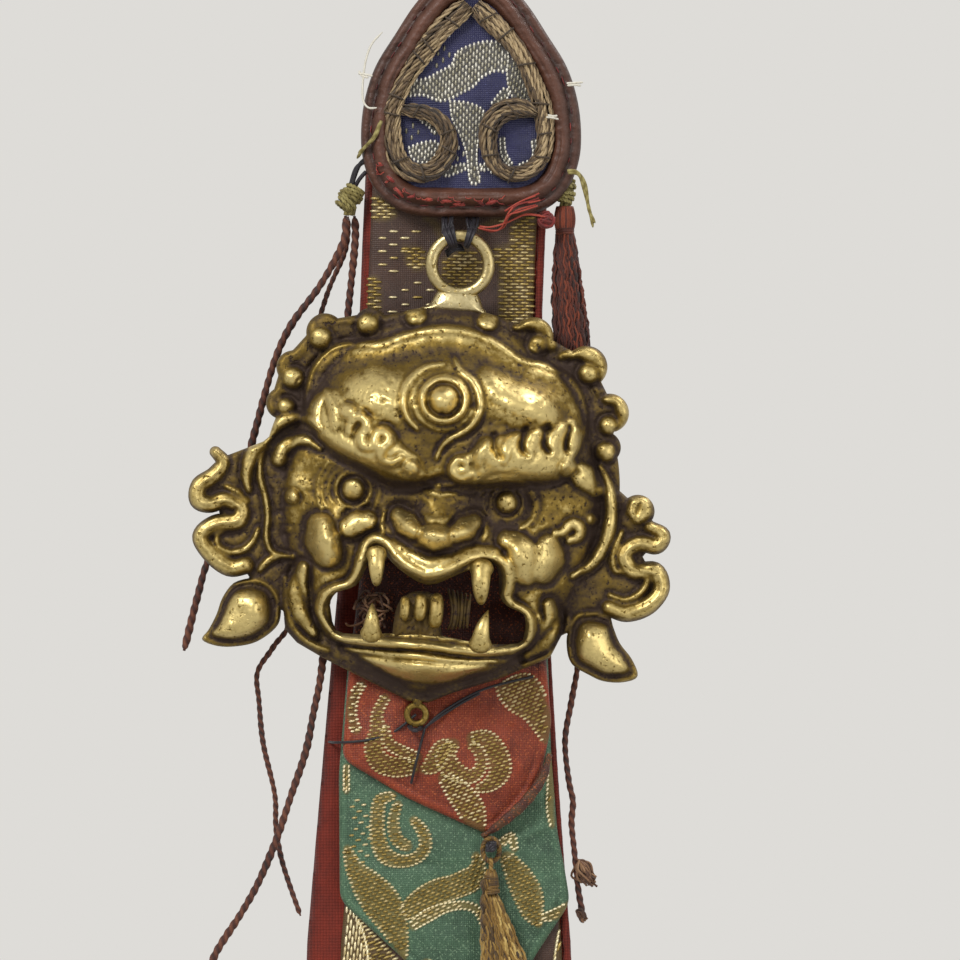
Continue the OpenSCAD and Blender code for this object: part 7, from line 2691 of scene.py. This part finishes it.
@dataclass(frozen=True)
class Knots:
    """The side knots that carry the free cords, and the right one's red tassel."""

    left: tuple = (-16.914, 1.4, -44.0)
    right: tuple = (13.03, 1.3, -43.0)
    left_size: float = 1.9
    right_size: float = 1.75
    left_threads: tuple = (
        ((-13.6, -38.2, 3.4), (-15.3, -39.2, 2.4), (-16.3, -41.4, 1.8), (-16.8, -43.6, 1.5)),
        ((-14.2, -38.8, 2.9), (-15.9, -39.8, 2.0), (-16.7, -42.0, 1.6), (-17.1, -43.8, 1.4)),
        ((-14.6, -40.4, 2.2), (-15.5, -41.4, 1.9), (-16.2, -42.6, 1.5), (-16.7, -43.9, 1.3)),
    )
    right_threads: tuple = (
        ((11.95, -40.2, 2.0), (12.5, -41.2, 2.3), (12.5, -42.4, 1.6)),
        ((12.25, -40.2, 2.0), (13.1, -41.2, 2.3), (13.1, -42.4, 1.6)),
        ((12.55, -40.2, 2.0), (13.7, -41.2, 2.3), (13.7, -42.4, 1.6)),
    )
    tassel_top: float = -45.2
    neck: float = -48.3
    skirt_long: float = 19.4
    tuft_places: tuple = ((15.7, -138.0, 1.5, 60), (15.3, -144.0, 0.7, 16))

    def knot(self, name: str, middle: tuple, size: float, seed: int) -> None:
        """Builds a tight knot of thick soft yarn.

        Args:
            name: left or right.
            middle: its centre, as x, out and z.
            size: its radius.
            seed: picks how its yarn turns.
        """
        pick = np.random.default_rng(seed)
        x, out, z = middle
        shape = Shape()
        shape.ball((x, -out, z), (0.72 * size, 0.72 * size, 0.8 * size), rough=0.05, tone=0.3)
        axis = np.array([0.55 if x < 0 else 0.1, 0.1, 0.83])
        axis /= np.linalg.norm(axis)
        side = np.cross(axis, (0, 1, 0))
        over = np.cross(side, axis)
        a = np.linspace(0, TURN, 26)
        round_it = np.cos(a)[:, None] * side + np.sin(a)[:, None] * over
        for k in range(7):
            lift = (k - 3) / 3
            r = size * (0.52 + 0.2 * math.cos(1.3 * lift) + pick.uniform(-0.04, 0.06))
            tilt = pick.uniform(-0.35, 0.35)
            for ply in (0, math.pi):
                wave = (r + 0.14 * np.cos(6 * a + ply))[:, None]
                rise = 0.8 * size * lift + tilt * np.cos(a) + 0.14 * np.sin(6 * a + ply)
                shape.tube(np.array([x, -out, z]) + wave * round_it + rise[:, None] * axis, 0.2, 6,
                           up=tuple(axis), tone=pick.uniform(0.25, 0.8))
        t = np.linspace(0, 1, 14)
        for k in range(5):
            drop = track(x + 0.5 * np.cos(1.3 * k) + 0.1 * np.sin(4 * t),
                         out + 0.5 * np.sin(1.3 * k), z - 0.6 - 1.8 * t)
            shape.tube(drop, 0.36, 7, tone=0.3 + 0.1 * k)
        settle(shape, f"{name}_knot_yarn", Finish.OLIVE_YARN, f"{name}_cords", "olive_yarn",
               (f"{name}_knot",))

    def hangings(self) -> None:
        """Builds the threads that tie both knots to the patch."""
        for name, runs, start, end in (
                ("left", self.left_threads, (-14.2, -2.9, -38.8), (-16.9, -1.5, -43.2)),
                ("right", self.right_threads, (12.4, -2.0, -40.2), (13.0, -1.6, -42.2))):
            shape = Shape()
            for number, run in enumerate(runs):
                shape.tube(through(run, 8), 0.3, 7, tone=0.3 + 0.15 * number)
            piece = settle(shape, f"{name}_knot_threads", Finish.DARK_THREAD, "", "dark_thread")
            tuple(BALANCE.points(start) * MM)
            tuple(BALANCE.points(end) * MM)
            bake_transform(piece)

    def right_tassel(self) -> None:
        """Builds the red tassel under the right knot."""
        pick = np.random.default_rng(122)
        shape = Shape()
        x, out, _ = self.right
        t = np.linspace(0, 1, 12)
        r = 1.02 + 0.3 * np.sin(math.pi * t)
        for k in range(30):
            a = TURN * k / 30
            line = track(x + r * np.cos(a), out + r * np.sin(a), self.tassel_top - 3.5 * t)
            shape.tube(line, 0.19, 5, up=(math.sin(a), math.cos(a), 0),
                       tone=pick.uniform(0.55, 1.0))
        shape.ball((x, -out, self.tassel_top - 1.7), (1.1, 1.1, 1.7), 10, 16, tone=0.5)
        for k in range(4):
            shape.hoop((x, -out, self.neck + 0.3 - 0.32 * k), ((1, 0, 0.06), (0, -1, 0.05)),
                       1.14, 0.2, 30, 7, tone=0.3 + 0.12 * k)
        Skirt(self.neck, self.skirt_long, (1.0, 2.55), (0.95, 1.4), 1.0, 190, 123,
              0.6).build(shape, x, out)
        settle(shape, "right_tassel_yarn", Finish.RED_YARN, "right_cords", "red_yarn",
               ("right_tassel",))

    def tufts(self) -> None:
        """Builds the brown tufts caught on the right cord's end."""
        pick = np.random.default_rng(124)
        shape = Shape()
        for x, z, size, count in self.tuft_places:
            for _ in range(count):
                a = pick.uniform(0, TURN)
                r = size * pick.uniform(0.2, 1.0)
                start = np.array([x - 0.6, -0.4, z + 1.2 * size])
                end = np.array([x + 0.9 * r * math.cos(a) + 0.5 * size, -0.4 - r * math.sin(a),
                                z - size * pick.uniform(0.2, 1.2)])
                middle = (start + end) / 2 + pick.normal(0, 0.4 * size, 3)
                shape.tube(spline([start, middle, end], 5), 0.17, 5, up=(0.5, 0.8, 0.1),
                           tone=pick.uniform(0.1, 0.8))
        settle(shape, "right_cord_tufts", Finish.BROWN_YARN, "right_cords", "russet_cord")

    def build(self) -> None:
        """Builds both knots and what hangs from the right one."""
        self.knot("left", self.left, self.left_size, 131)
        self.knot("right", self.right, self.right_size, 132)
        self.hangings()
        self.right_tassel()
        self.tufts()


@dataclass(frozen=True)
class Hanger:
    """The brass hanging ring and the leather tab folded over its bar."""

    bend: float = 1.4
    half_wide: float = 2.5
    half_thick: float = 0.44
    front: tuple = ((0, -1.4, -10.4), (0, -1.15, -12.4), (0, -0.62, -14.6), (0, -0.48, -23.5))
    stitch_side: float = 1.9

    def ring(self) -> None:
        """Gives the solid's own ring its drawn brass."""
        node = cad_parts["hanging_ring"]
        finish = Finish.DRAWN_BRASS.value.material()
        for place in node.material_slots:
            place.material = finish
        if not node.material_slots:
            node.data.materials.append(finish)

    def tab(self) -> None:
        """Builds the folded tab with its stitches."""
        a = np.radians(np.linspace(0, 180, 24))
        over = track(0, self.bend * np.cos(a), BALANCE.bar + self.bend * np.sin(a))
        back = [(x, -y, z) for x, y, z in self.front]
        path = evenly(np.vstack([spline(self.front, 6)[::-1], over, spline(back, 6)]), 0.35)
        b = np.linspace(0, TURN, 20, endpoint=False)
        radius = (np.abs(np.cos(b) / self.half_thick)**5 + np.abs(np.sin(b) / self.half_wide)**5)**-0.2
        shape = Shape()
        wave = 1 + 0.02 * np.sin(travel(path) * 1.3)[:, None]
        shape.tube(path, radius[None, :] * wave, 20, up=(1, 0, 0),
                   worn=np.tile(0.5 * np.abs(np.sin(b))**8, (len(path), 1)))
        settle(shape, "hanging_tab_leather", Finish.TAB_LEATHER, "banner", "dark_leather",
               ("hanging_tab",))
        shape = Shape()
        t = np.linspace(-0.35, 0.35, 7)
        for side in (-self.stitch_side, self.stitch_side):
            for z in np.arange(-13.2, -11.8, 0.9):
                for face in (1, -1):
                    shape.tube(track(side, face * (1.47 + 0.12 * np.cos(t * 4)), z + t), 0.16, 6,
                               up=(1, 0, 0), tone=0.4)
        settle(shape, "hanging_tab_stitches", Finish.RED_THREAD, "banner", "red_thread")

    def build(self) -> None:
        """Builds the hanger's pieces."""
        self.ring()
        self.tab()




def main() -> None:
    """Builds the scene in order and logs each piece."""
    logging.basicConfig(level=logging.INFO, format="%(name)s: %(message)s")
    Studio().build()
    for cord in (*LEFT_CORDS, *RIGHT_CORDS):
        cord.build()
    Hanger().build()
    Strip().build()
    RED_TONGUE.build()
    GREEN_TONGUE.build()
    Patch().build()
    Mask().build()
    Ties().build()
    for tassel in TASSELS:
        tassel.build()
    Knots().build()


if __name__ == "__main__":
    main()
